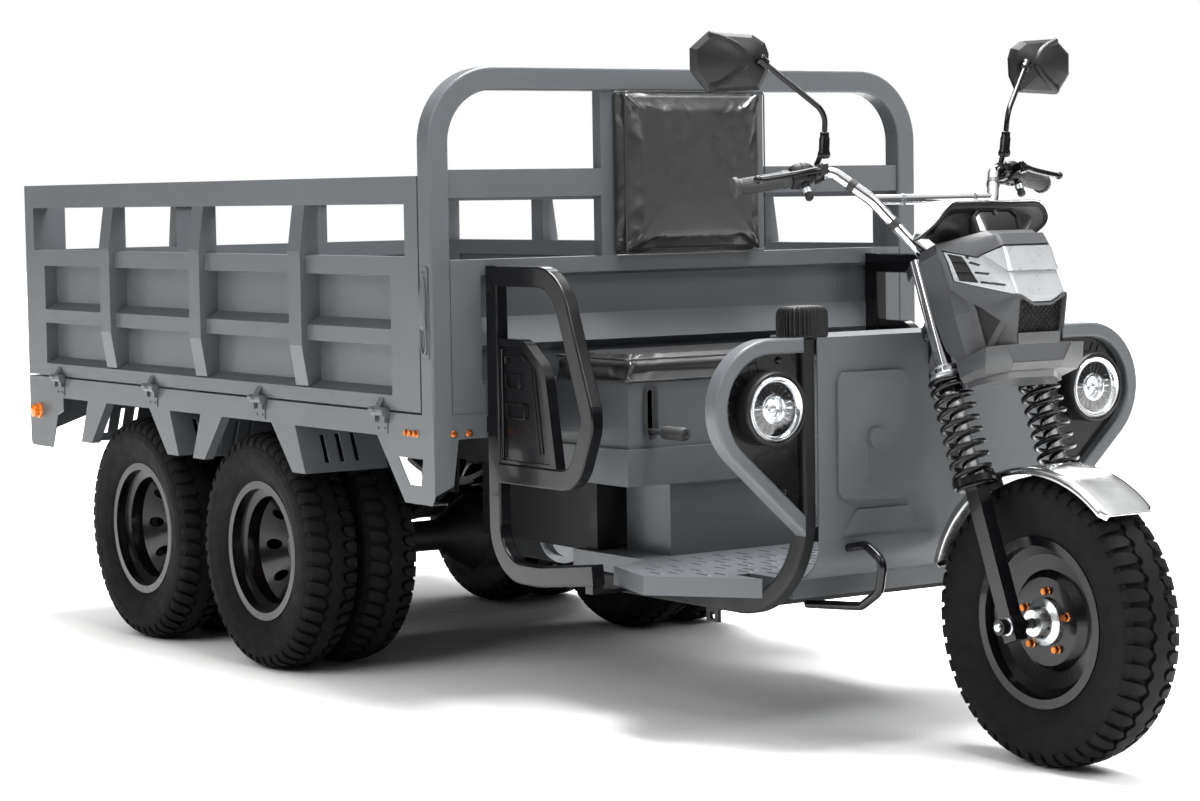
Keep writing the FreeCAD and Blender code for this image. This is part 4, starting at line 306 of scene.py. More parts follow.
def leathercloth(paint):
    """Expanded PVC leathercloth: pebbled in cells of about 2 mm, satin on the crests."""
    tree, shader = new_finish(
        "pebbled_pvc_leathercloth", paint.vinyl, 0.36, IOR=1.53, Coat_Weight=0.2, Coat_Roughness=0.2
    )
    place = mottle(tree, shader, paint.vinyl, 0.14, 70)
    uneven_gloss(tree, shader, place, 0.3, 0.44, 20)
    grain(tree, shader, place, 2.1, 0.16, "ShaderNodeTexVoronoi", feature="SMOOTH_F1")


def clear_lens():
    """Polycarbonate lamp glass: clear, hard-coated."""
    tree, shader = new_finish(
        "clear_polycarbonate", linear("F7F9FA"), 0.03, IOR=1.58, Transmission_Weight=1.0
    )
    place = add(tree, "ShaderNodeTexCoord")
    uneven_gloss(tree, shader, place, 0.015, 0.05, 25)


def lamp_reflector():
    """Vacuum-metallised reflector: brighter and cooler than chrome."""
    colour = linear("F0F2F4")
    tree, shader = new_finish("metallised_reflector", colour, 0.12, 1.0)
    place = mottle(tree, shader, colour, 0.03, 10)
    uneven_gloss(tree, shader, place, 0.08, 0.2, 12)


def tinted_lens(name, colour):
    """Moulded acrylic lens in its colour, glossy, with light that sinks in a little."""
    tree, shader = new_finish(
        name, colour, 0.1, IOR=1.49, Transmission_Weight=0.25, Coat_Weight=0.4, Coat_Roughness=0.04
    )
    place = mottle(tree, shader, colour, 0.1, 12)
    grain(tree, shader, place, 4, 0.06)


def mirror_glass():
    """Silvered glass of the rear-view mirrors."""
    colour = linear("EEF1F2")
    tree, shader = new_finish("silvered_glass", colour, 0.02, 1.0)
    place = mottle(tree, shader, colour, 0.02, 80)
    uneven_gloss(tree, shader, place, 0.01, 0.03, 60)


def display_glass():
    """Smoked acrylic over the instrument and the small front lamp: near black, mirror smooth."""
    colour = linear("08090A")
    tree, shader = new_finish(
        "smoked_acrylic", colour, 0.12, IOR=1.49, Coat_Weight=1.0, Coat_Roughness=0.03
    )
    place = mottle(tree, shader, colour, 0.2, 30)
    uneven_gloss(tree, shader, place, 0.08, 0.16, 20)


def pale_print():
    """Screen-printed scale marks: flat pale ink, slightly broken at the edges."""
    colour = linear("D7DADC")
    tree, shader = new_finish("pale_dial_ink", colour, 0.6)
    mottle(tree, shader, colour, 0.06, 2)


def finish(name):
    """A finish that the finishes operator made."""
    return bpy.data.materials[name]


CARRIED_FINISHES = {
    "slate_baked_enamel": (
        "bed_frame", "headboard_hoop", "headboard_panel", "headboard_bars", "side_board_right",
        "side_board_left", "tailgate", "bed_hinges", "mudguards", "corner_steps", "cab_floor", "seat_box",
        "front_shield", "shield_valance", "lamp_hoops",
    ),
    "black_gloss_enamel": (
        "side_guards", "guard_panels", "bumper_loops", "fork_legs", "fork_crowns",
        "front_rim", "mid_wheel_right_rims", "mid_wheel_left_rims", "rear_wheel_right_rims",
        "rear_wheel_left_rims", "hand_levers", "lamp_plates",
    ),
    "chassis_dip_coat": (
        "chassis_rails", "front_subframe", "steering_frame", "leaf_springs", "drive_axles",
    ),
    "black_moulded_nylon": ("battery_box", "charge_cap", "bar_controls", "mirrors"),
    "sand_cast_aluminium": ("drive_motor",),
    "bright_chrome_plate": ("fork_tubes", "handlebar"),
    "rolled_stainless_sheet": ("front_fender",),
    "soft_moulded_rubber": ("bar_grips",),
    "vulcanised_tyre_rubber": (
        "front_tyre", "mid_wheel_right_tyres", "mid_wheel_left_tyres", "rear_wheel_right_tyres",
        "rear_wheel_left_tyres",
    ),
    "pebbled_pvc_leathercloth": ("seat_cushion", "backrest"),
    "graphite_moulded_abs": ("nacelle_shell", "instrument_pod"),
    "silver_flake_lacquer": ("nacelle_mask",),
    "clear_polycarbonate": ("headlamps",),
    "amber_acrylic": ("side_markers",),
    "red_acrylic": ("tail_lamps",),
}


class TRIKE_OT_finishes(bpy.types.Operator):
    """Make every finish and put it on the carried-over pieces"""

    bl_idname = "trike.finishes"
    bl_label = "Finishes"

    def execute(self, context):
        paint = context.scene.trike_paint
        for maker in (
            baked_enamel, frame_enamel, chassis_coat, graphite_cover, silver_lacquer, copper_plate,
            tyre_rubber, leathercloth,
        ):
            maker(paint)
        for maker in (
            black_moulding, chrome_plate, stainless_sheet, zinc_plate, cast_housing, soft_rubber,
            clear_lens, lamp_reflector, mirror_glass, display_glass, pale_print,
        ):
            maker()
        tinted_lens("amber_acrylic", paint.amber)
        tinted_lens("red_acrylic", paint.red)
        for name, nodes in CARRIED_FINISHES.items():
            for node in nodes:
                thing = frame["nodes"].get(node)
                if thing is None:
                    continue
                for slot in thing.material_slots:
                    slot.material = finish(name)
        return {"FINISHED"}


def circle(radius, steps, height=0.0):
    """Points spread evenly round local Z."""
    return [
        (radius * math.cos(math.tau * step / steps), radius * math.sin(math.tau * step / steps), height)
        for step in range(steps)
    ]


def squircle(steps):
    """Cosine and sine of even steps of a turn, and how much further a rounded square reaches there."""
    for step in range(steps):
        turned = math.tau * step / steps
        across, up = math.cos(turned), math.sin(turned)
        yield across, up, (across ** 4 + up ** 4) ** -0.25


class Form:
    """Points and faces of one piece, in millimetres, gathered part by part."""

    def __init__(self, place=None):
        self.points = []
        self.faces = []
        self.tones = []
        self.place = place or Matrix()

    def put(self, points, faces, tone=0, turn=None):
        """Adds points and faces; turn places them before the form's own place does."""
        start = len(self.points)
        place = self.place @ turn if turn else self.place
        self.points += [place @ Vector(point) for point in points]
        self.faces += [tuple(start + index for index in face) for face in faces]
        self.tones += [tone] * len(faces)

    def skin(self, rings, caps=True, tone=0, turn=None):
        """Faces between closed rings of as many points each."""
        count = len(rings[0])
        faces = []
        for ring in range(len(rings) - 1):
            for index in range(count):
                low = ring * count + index
                side = ring * count + (index + 1) % count
                faces.append((low, side, side + count, low + count))
        if caps:
            faces.append(tuple(reversed(range(count))))
            faces.append(tuple(range((len(rings) - 1) * count, len(rings) * count)))
        self.put([point for ring in rings for point in ring], faces, tone, turn)

    def lathe(self, profile, steps, closed=False, tone=0, turn=None):
        """Turns a profile of (radius, height) about Z; a closed profile makes a ring."""
        rings = [circle(radius, steps, height) for radius, height in profile]
        if closed:
            rings.append(rings[0])
        self.skin(rings, not closed, tone, turn)

    def prism(self, outline, low, high, turn=None):
        """Straight piece along Z with an outline in X and Y."""
        self.skin([[(x, y, height) for x, y in outline] for height in (low, high)], turn=turn)

    def block(self, low, high, turn=None):
        """Straight-sided piece between two corners."""
        (x0, y0, z0), (x1, y1, z1) = low, high
        self.prism([(x0, y0), (x1, y0), (x1, y1), (x0, y1)], z0, z1, turn)

    def rod(self, path, radius, sides, turn=None, closed=False):
        """Round rod along a path of points."""
        path = [Vector(point) for point in path]
        rings = []
        side = None
        for index, point in enumerate(path):
            before = path[index - 1] if index or closed else point
            after = path[(index + 1) % len(path)] if index + 1 < len(path) or closed else point
            along = (after - before).normalized()
            if side is None:
                side = along.orthogonal().normalized()
            side = (side - along * side.dot(along)).normalized()
            across = along.cross(side)
            rings.append([point + side * a + across * b for a, b, height in circle(radius, sides)])
        if closed:
            rings.append(rings[0])
        self.skin(rings, not closed, turn=turn)

    def bolt(self, place, across, height, washer):
        """Flanged hexagon head that sits on the plane of its place."""
        radius = across / math.sqrt(3)
        hexagon = [(x, y) for x, y, level in circle(radius, 6)]
        self.lathe([(washer / 2, -1), (washer / 2, 1), (washer / 2 - 2, 2.2)], 20, turn=place)
        self.prism(hexagon, 1.5, height, place)
        self.lathe([(radius * 0.72, height - 0.5), (radius * 0.66, height + 1.2)], 18, turn=place)


def forms(count, place=None):
    """As many empty forms in one frame."""
    return [Form(place) for number in range(count)]


def facing(spot, direction, up=(0, 0, 1)):
    """Matrix that puts local Z along a direction and local Y near up, at a spot."""
    z = Vector(direction).normalized()
    x = Vector(up).cross(z)
    if x.length < 1e-6:
        x = Vector((1, 0, 0))
    x.normalize()
    y = z.cross(x)
    matrix = Matrix((x, y, z)).transposed().to_4x4()
    matrix.translation = Vector(spot)
    return matrix


def arc_path(points, radius, steps=8):
    """Straight runs whose corners are rounded to a radius, or to one radius each."""
    points = [Vector(point) for point in points]
    radii = radius if isinstance(radius, (tuple, list)) else [radius] * (len(points) - 2)
    path = [points[0]]
    for index, size in zip(range(1, len(points) - 1), radii):
        corner = points[index]
        back = (points[index - 1] - corner).normalized()
        on = (points[index + 1] - corner).normalized()
        half = back.angle(on) / 2
        reach = size / math.tan(half)
        start, end = corner + back * reach, corner + on * reach
        # A cubic whose handles are this share of the reach lies close to the true arc.
        share = 4 / 3 * math.tan((math.pi - 2 * half) / 4) * size
        path += list(interpolate_bezier(start, start - back * share, end - on * share, end, steps + 1))
    path.append(points[-1])
    return path


def flowing(points, steps=8):
    """Smooth curve through all the points."""
    points = [Vector(point) for point in points]
    path = []
    for index in range(len(points) - 1):
        a = points[max(index - 1, 0)]
        b, c = points[index], points[index + 1]
        d = points[min(index + 2, len(points) - 1)]
        path += list(interpolate_bezier(b, b + (c - a) / 6, c - (d - b) / 6, c, steps + 1))[:-1]
    return path + [points[-1]]


def piece(name, form, body, finishes, replaces=(), bevel=0.0, sharp=35, segments=2):
    """Makes the object of a form, rides it on its body and gives it its finishes."""
    mesh = bpy.data.meshes.new(name)
    mesh.from_pydata([point * MM for point in form.points], [], form.faces)
    for polygon, tone in zip(mesh.polygons, form.tones):
        polygon.material_index = tone
    build = bmesh.new()
    build.from_mesh(mesh)
    bmesh.ops.recalc_face_normals(build, faces=build.faces)
    build.to_mesh(mesh)
    build.free()
    for one in finishes:
        mesh.materials.append(finish(one))
    mesh.shade_smooth()
    mesh.set_sharp_from_angle(angle=math.radians(sharp))
    thing = bpy.data.objects.new(name, mesh)
    bpy.context.scene.collection.objects.link(thing)
    if bevel:
        rounding = thing.modifiers.new("edge_rounding", "BEVEL")
        rounding.width = bevel * MM
        rounding.segments = segments
        rounding.limit_method = "ANGLE"
        rounding.angle_limit = math.radians(sharp)
        rounding.harden_normals = True
    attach(thing, body)
    if replaces:
        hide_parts(*replaces)


def box(node):
    """Low and high corner of a node's box, in millimetres."""
    low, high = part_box(node)
    return Vector(low) / MM, Vector(high) / MM


def centre(node):
    """Middle of a node's box, in millimetres."""
    low, high = box(node)
    return (low + high) / 2


# Stage

CAMERA_PLACE = (5.666, -3.922, 1.127)
CAMERA_AZIMUTH = 55.45
CAMERA_DROP = 4.08
CAMERA_ROLL = -0.92
PHOTO_WIDTH = 1200
FOCAL_PIXELS = 2938.5
SENSOR_WIDTH = 36.0
FLOOR_RADIUS = 40.0
# The paper floor glows white of its own from GLOW_START, up to GLOW at GLOW_END: painted light.
GLOW_START, GLOW_END, GLOW = 3.2, 8.0, 0.9
# The walls reach up to a height on the unit sphere, and the ceiling starts at another.
WALL_LIGHT, WALL_TONE, WALL_TOP, CEILING_EDGE = 1.1, 0.12, 0.35, 0.8
WHITE = (1.0, 1.0, 1.0, 1.0)


def set_camera(scene):
    """Puts the camera where the photograph was taken from."""
    turn, drop, roll = (math.radians(angle) for angle in (CAMERA_AZIMUTH, CAMERA_DROP, CAMERA_ROLL))
    back = Vector((
        math.sin(turn) * math.cos(drop), -math.cos(turn) * math.cos(drop), math.sin(drop),
    ))
    level = Vector((math.cos(turn), math.sin(turn), 0))
    rise = level.cross(-back)
    x = level * math.cos(roll) + rise * math.sin(roll)
    y = rise * math.cos(roll) - level * math.sin(roll)
    lens = bpy.data.cameras.new("photo_camera")
    lens.sensor_fit = "HORIZONTAL"
    lens.sensor_width = SENSOR_WIDTH
    lens.lens = FOCAL_PIXELS * SENSOR_WIDTH / PHOTO_WIDTH
    camera = bpy.data.objects.new("photo_camera", lens)
    camera.matrix_world = Matrix((x, y, back)).transposed().to_4x4()
    camera.matrix_world.translation = CAMERA_PLACE
    scene.collection.objects.link(camera)
    scene.camera = camera


def hang_light(name, spot, target, width, depth, power):
    """A rectangular softbox at a spot, turned to a target."""
    lamp = bpy.data.lights.new(name, "AREA")
    lamp.shape = "RECTANGLE"
    lamp.size = width
    lamp.size_y = depth
    lamp.energy = power
    light = bpy.data.objects.new(name, lamp)
    light.matrix_world = facing(spot, Vector(spot) - Vector(target))
    bpy.context.scene.collection.objects.link(light)


def studio_walls(tree):
    """Dark grey walls that brighten to a white ceiling, and white paper behind for the camera alone."""
    sky = tree.nodes["Background"]
    place = add(tree, "ShaderNodeTexCoord")
    parts = add(tree, "ShaderNodeSeparateXYZ", links={"Vector": place.outputs["Generated"]})
    ramp = add(tree, "ShaderNodeValToRGB", links={"Fac": parts.outputs["Z"]})
    wall, ceiling = ramp.color_ramp.elements
    wall.position = WALL_TOP
    wall.color = (WALL_TONE, WALL_TONE, WALL_TONE, 1.0)
    ceiling.position = CEILING_EDGE
    ceiling.color = WHITE
    tree.links.new(ramp.outputs["Color"], sky.inputs["Color"])
    sky.inputs["Strength"].default_value = WALL_LIGHT
    paper = add(tree, "ShaderNodeBackground", {"Color": WHITE, "Strength": 1.0})
    seen = add(tree, "ShaderNodeLightPath")
    mixed = add(tree, "ShaderNodeMixShader", links={"Fac": seen.outputs["Is Camera Ray"]})
    tree.links.new(sky.outputs["Background"], mixed.inputs[1])
    tree.links.new(paper.outputs["Background"], mixed.inputs[2])
    tree.links.new(mixed.outputs["Shader"], tree.nodes["World Output"].inputs["Surface"])


def paper_floor(stage):
    """Matt seamless paper: white, with a very slight change of tone, and a painted glow of its own far out.
    """
    tree, shader = new_finish("seamless_paper", stage.floor, 0.9)
    place = mottle(tree, shader, stage.floor, 0.01, 900)
    # Painted glow: emission that rises with the distance from the middle of the floor.
    reach = add(
        tree, "ShaderNodeVectorMath", links={"Vector": place.outputs["Object"]}, operation="LENGTH"
    )
    glow = add(
        tree, "ShaderNodeMapRange",
        {"From Min": GLOW_START, "From Max": GLOW_END, "To Min": 0.0, "To Max": GLOW},
        {"Value": reach.outputs["Value"]}, interpolation_type="SMOOTHSTEP",
    )
    tree.links.new(glow.outputs["Result"], shader.inputs["Emission Strength"])
    shader.inputs["Emission Color"].default_value = WHITE
    return finish("seamless_paper")


class TRIKE_OT_stage(bpy.types.Operator):
    """Lay the paper floor, hang the softboxes and set the camera"""

    bl_idname = "trike.stage"
    bl_label = "Stage"

    def execute(self, context):
        scene = context.scene
        stage = scene.trike_stage
        build = bmesh.new()
        bmesh.ops.create_circle(build, cap_ends=True, radius=FLOOR_RADIUS, segments=96)
        mesh = bpy.data.meshes.new("paper_floor")
        build.to_mesh(mesh)
        build.free()
        mesh.materials.append(paper_floor(stage))
        floor = bpy.data.objects.new("paper_floor", mesh)
        scene.collection.objects.link(floor)
        world = bpy.data.worlds.new("studio")
        world.use_nodes = True
        studio_walls(world.node_tree)
        scene.world = world
        scene.view_settings.view_transform = "Standard"
        hang_light("key_softbox", (0.9, -6.4, 4.6), (0.1, 0, 0.6), 5.6, 3.0, stage.key)
        hang_light("front_softbox", (5.6, 1.6, 5.0), (0.8, 0, 0.9), 2.6, 2.0, 1.8 * stage.fill)
        hang_light("back_softbox", (-4.6, 5.0, 4.6), (0, 0, 0.7), 4.0, 3.0, 2 * stage.fill)
        hang_light("top_softbox", (0.2, 0.6, 6.0), (0, 0, 0), 5.0, 2.6, 11 * stage.fill)
        set_camera(scene)
        return {"FINISHED"}


# Tyres

TYRE_LOW, TYRE_HIGH = box("front_tyre")
TYRE_RADIUS = (TYRE_HIGH.z - TYRE_LOW.z) / 2
TYRE_HALF = (TYRE_HIGH.y - TYRE_LOW.y) / 2
SHOULDER_REACH = 62.0
LUG_FOOT_REACH = 88.0
CARCASS_STEPS = 34
SIDEWALL_RINGS, RING_HALF, RING_RISE = (104.0, 158.0), 5.0, 1.6
# Reach from the middle of the tread, half width, shift round the tyre and lift.
LUG_STATIONS = (
    (23, 3.0, -4.0, 0.0), (29, 9.5, -2.5, 0.0), (40, 12.0, 0.0, 0.0), (52, 12.5, 2.0, 0.0),
    (SHOULDER_REACH, 12.5, 3.0, 0.0), (71, 11.5, 3.0, -0.8), (80, 10.5, 3.0, -2.2),
    (LUG_FOOT_REACH + 2, 9.5, 3.0, -5.0),
)
DRAFT = 1.4
# Distance from the middle and drop from the crown.
HALF_SECTION = (
    (0, 0), (20, 1.3), (40, 5.2), (54, 10.5), (62, 18), (66.2, 28), (68, 44), (67.2, 62), (64, 82),
    (57, 100), (50, 112), (45.7, 120), (44, 130.5),
)
SECTION_HALF = max(side for side, drop in HALF_SECTION)
TWIN_WHEELS = ("mid_wheel_right", "mid_wheel_left", "rear_wheel_right", "rear_wheel_left")


class Section:
    """Outer line of half a tyre, measured along its length from the middle of the tread."""

    def __init__(self, points):
        self.line = flowing([(side, TYRE_RADIUS - drop, 0) for side, drop in points], 5)
        self.reach = [0.0]
        for start, end in zip(self.line, self.line[1:]):
            self.reach.append(self.reach[-1] + (end - start).length)

    def at(self, distance, lift=0.0):
        """Radius and sideways place at a distance, lifted off the line."""
        way = -1 if distance < 0 else 1
        distance = min(abs(distance), self.reach[-1])
        index = max(1, next(i for i, reach in enumerate(self.reach) if reach >= distance))
        start, end = self.line[index - 1], self.line[index]
        share = (distance - self.reach[index - 1]) / (self.reach[index] - self.reach[index - 1])
        along = (end - start).normalized()
        spot = start.lerp(end, share) + Vector((-along.y, along.x, 0)) * lift
        return spot.y, way * spot.x


def fade(value, start, end):
    """Smooth step from 1 before start to 0 after end."""
    share = min(1.0, max(0.0, (value - start) / (end - start)))
    return 1 - share * share * (3 - 2 * share)


def around(radius, side, angle):
    """Point on a wheel whose axle is the local Z."""
    return (radius * math.cos(angle), radius * math.sin(angle), side)


def carcass(form, section, groove, turn):
    """Body of the tyre: groove floor, sidewalls with moulded rings, and beads."""
    full = section.reach[-1]
    profile = []
    for index in range(-CARCASS_STEPS, CARCASS_STEPS + 1):
        distance = full * index / CARCASS_STEPS
        reach = abs(distance)
        ring = RING_RISE * sum(max(0.0, 1 - abs(reach - place) / RING_HALF) for place in SIDEWALL_RINGS)
        sunk = groove * fade(reach, SHOULDER_REACH + 6, LUG_FOOT_REACH)
        profile.append(section.at(distance, ring - sunk))
    form.lathe(profile, 120, True, turn=turn)


def lug(form, section, groove, angle, way, turn):
    """One shoulder lug: an arrow-shaped inner end, a straight bar and a stepped foot."""
    rings = []
    for reach, half, shift, lift in LUG_STATIONS:
        ring = []
        foot = half + DRAFT
        for edge, height in ((-foot, -groove - 1), (-half, lift), (half, lift), (foot, -groove - 1)):
            radius, side = section.at(way * reach, height)
            ring.append(around(radius, side, angle + way * (edge + shift) / TYRE_RADIUS))
        rings.append(ring)
    form.skin(rings, turn=turn)


def tie_bar(form, section, groove, angle, way, turn):
    """Low bar between two lugs on the shoulder."""
    rings = []
    for reach in (64, 72, 80):
        ring = []
        for edge, height in ((-9, -groove - 1), (-8, 3 - groove), (8, 3 - groove), (9, -groove - 1)):
            radius, side = section.at(way * reach, height)
            ring.append(around(radius, side, angle + edge / TYRE_RADIUS))
        rings.append(ring)
    form.skin(rings, turn=turn)


def centre_chain(form, section, groove, lugs, half, turn):
    """Closed chain of six-sided blocks round the middle of the tread."""
    rings = []
    count = lugs * 4
    for step in range(count):
        swing = (0.0, 1.0, 1.0, 0.0)[step % 4]
        width = half - 4 + 8 * swing
        ring = []
        for reach, height in (
            (-width - DRAFT, -groove - 1), (-width, 0), (0, 0), (width, 0), (width + DRAFT, -groove - 1),
        ):
            radius, side = section.at(reach, height)
            ring.append(around(radius, side, math.tau * (step + 0.5) / count))
        rings.append(ring)
    form.skin(rings + [rings[0]], False, turn=turn)


def tyre(form, tread, x, y, z):
    """A whole tyre at a wheel centre, its axle along Y."""
    section = Section([(side * TYRE_HALF / SECTION_HALF, drop) for side, drop in HALF_SECTION])
    groove = tread.groove / MM
    turn = facing((x, y, z), (0, 1, 0))
    carcass(form, section, groove, turn)
    centre_chain(form, section, groove, tread.lugs, tread.rib / MM, turn)
    pitch = math.tau / tread.lugs
    for number in range(tread.lugs):
        for way in (RIGHT, LEFT):
            angle = pitch * (number + 0.25 * way)
            lug(form, section, groove, angle, way, turn)
            tie_bar(form, section, groove, angle + pitch * 0.5, way, turn)


class TRIKE_OT_tyres(bpy.types.Operator):
    """Build every tyre with its sidewall rings, centre chain and shoulder lugs"""

    bl_idname = "trike.tyres"
    bl_label = "Tyres"

    def execute(self, context):
        tread = context.scene.trike_tyre
        spot = centre("front_tyre")
        form = Form()
        tyre(form, tread, *spot)
        piece("front_tyre_tread", form, "front_wheel", ["vulcanised_tyre_rubber"], ["front_tyre"])
        for wheel in TWIN_WHEELS:
            low, high = box(wheel + "_tyres")
            middle = (low + high) / 2
            form = Form()
            for y in (low.y + TYRE_HALF, high.y - TYRE_HALF):
                tyre(form, tread, middle.x, y, middle.z)
            piece(
                wheel + "_tyre_treads", form, wheel, ["vulcanised_tyre_rubber"], [wheel + "_tyres"]
            )
        return {"FINISHED"}


# Wheel fittings

LUG_CIRCLE = 60.0
TWIN_MOUNT_PLANE = 518.0
FRONT_DISC_PLANE = -28.0
FRONT_NUTS, TWIN_NUTS = 5, 6


class TRIKE_OT_wheel_fittings(bpy.types.Operator):
    """Fit the copper wheel nuts, the front hub sleeve and the dust caps of the twin wheels"""

    bl_idname = "trike.wheel_fittings"
    bl_label = "Wheel fittings"

    def execute(self, context):
        spot = centre("front_rim")
        nuts, sleeve = forms(2)
        outward = facing((spot.x, FRONT_DISC_PLANE, spot.z), (0, -1, 0))
        for number in range(FRONT_NUTS):
            turned = math.tau * (number + 0.2) / FRONT_NUTS
            place = outward @ Matrix.Translation(around(LUG_CIRCLE, 0, turned))
            nuts.bolt(place, 13, 11, 18)
        sleeve.lathe(
            [(46.5, -0.6), (46.5, 8), (44, 10), (33, 15), (31.5, 20), (26, 36), (10.2, 36), (10.2, -0.6)],
            56, True, turn=outward,
        )
        piece("front_wheel_nuts", nuts, "front_wheel", ["copper_flashed_steel"], bevel=0.4)
        piece("front_hub_sleeve", sleeve, "front_wheel", ["bright_zinc_plate"], bevel=0.5)
        for wheel in TWIN_WHEELS:
            spot = centre(wheel + "_rims")
            way = RIGHT if spot.y < 0 else LEFT
            outward = facing((spot.x, way * TWIN_MOUNT_PLANE, spot.z), (0, way, 0))
            nuts, cap = forms(2)
            for number in range(TWIN_NUTS):
                turned = math.tau * number / TWIN_NUTS
                place = outward @ Matrix.Translation(around(LUG_CIRCLE, 0, turned))
                nuts.bolt(place, 14, 15, 19)
            cap.lathe([(41, 29.5), (39, 32.5), (26, 35.5), (18, 36.5)], 40, turn=outward)
            piece(wheel + "_nuts", nuts, wheel, ["copper_flashed_steel"], bevel=0.4)
            piece(wheel + "_dust_cap", cap, wheel, ["bright_zinc_plate"], bevel=0.4)
        return {"FINISHED"}


# Fork

FORK_LEAN = math.radians(21)
FORK_FOOT = Vector((centre("front_rim").x, 0, centre("front_rim").z))
FORK = Matrix.Translation(FORK_FOOT) @ Matrix.Rotation(-FORK_LEAN, 4, "Y")
LEG_Y = 115.0
SPRING_LOW, SPRING_HIGH = 296.0, 500.0
SPRING_RADIUS, SPRING_WIRE = 42.0, 10.0
# Drop below the spring of the low and high edge of each seat plate, and its radius.
SEAT_PLATES = ((13, 1, 43.5), (20, 13, 38))


def coil_path(turns, low, high, radius, steps=28):
    """Middle line of a coil spring about local Z, with a flat turn at each end."""
    path = []
    count = int(turns * steps)
    for step in range(count + 1):
        turn = math.tau * step / steps
        share = step / count
        flat = 1.0 / turns
        climb = min(1.0, max(0.0, (share - flat * 0.6) / (1 - flat * 1.2)))
        path.append((radius * math.cos(turn), radius * math.sin(turn), low + (high - low) * climb))
    return path


class TRIKE_OT_fork(bpy.types.Operator):
    """Wind the fork springs and fit their seats, rings, bolts and axle nuts"""

    bl_idname = "trike.fork"
    bl_label = "Fork"

    def execute(self, context):
        turns = context.scene.trike_trim.coil_turns
        coils, seats, rings, nuts = forms(4, FORK)
        half = SPRING_WIRE / 2
        path = coil_path(turns, SPRING_LOW + half + 0.4, SPRING_HIGH - half - 0.7, SPRING_RADIUS - half)
        for way in (RIGHT, LEFT):
            leg = Matrix.Translation((0, way * LEG_Y, 0))
            coils.rod(path, half, 10, turn=leg)
            for low_drop, high_drop, reach in SEAT_PLATES:
                low, high = SPRING_LOW - low_drop, SPRING_LOW - high_drop
                seats.lathe([
                    (reach - 2, low), (reach, low + 2), (reach, high - 2), (reach - 2, high),
                ], 40, turn=leg)
            seats.lathe([
                (24, 470), (24.5, 486), (31, 492), (31, 497.5), (18, 498), (18, 470),
            ], 40, True, turn=leg)
            rings.lathe([
                (18, 500.8), (33, 500.8), (34, 503), (34, 508), (31, 511), (18, 512),
            ], 44, True, turn=leg)
            rings.lathe([
                (18, 512), (24, 512), (25, 514), (25, 523), (22, 525), (18, 525),
            ], 36, True, turn=leg)
            for lift in (244, 262):
                nuts.bolt(facing((0, way * 99, lift), (0, -way, 0)), 10, 6, 15)
            outer = facing((0, way * 130, 0), (0, way, 0))
            nuts.bolt(outer, 22, 12, 36)
            nuts.lathe([(8.5, 10), (8.5, 24), (6.5, 26)], 20, turn=outer)
        piece(
            "fork_coils", coils, "steering", ["black_gloss_enamel"], ["fork_springs"], sharp=50
        )
        piece("spring_seats", seats, "steering", ["black_gloss_enamel"], bevel=0.5)
        piece("spring_rings", rings, "steering", ["bright_zinc_plate"], bevel=0.5)
        piece("axle_nuts", nuts, "steering", ["bright_zinc_plate"], bevel=0.5)
        return {"FINISHED"}


# Front mudguard

FENDER_RADIUS = 300.0
FENDER_HALF = 68.0
FENDER_SHEET = 2.5
FENDER_FRONT, FENDER_REAR = 48.0, 164.0
FENDER_STEPS = 48
FENDER_NOSE, FENDER_NOSE_ANGLE = 14, 3.0
HEM_RADIUS = 2.4
# Half sections as (share of the half width, drop below the crown), edge first.
FENDER_OUTER = ((1.0, 15), (1.0, 11), (0.985, 5.5), (0.93, 1.8), (0.8, 0.4), (0.45, 0))
FENDER_INNER = ((0.966, 15), (0.955, 7), (0.9, 4), (0.45, FENDER_SHEET))


def edge_to_edge(half, middle):
    """Whole profile from its half: one edge, the middle, the other edge."""
    near = [(-share, drop) for share, drop in half]
    far = [(share, drop) for share, drop in reversed(half)]
    return near + [(0, middle)] + far


def over_wheel(reach, angle, side):
    """Point at a reach from the front axle, an angle up from straight ahead and a place sideways."""
    turn = math.radians(angle)
    return (FORK_FOOT.x + reach * math.cos(turn), side, FORK_FOOT.z + reach * math.sin(turn))


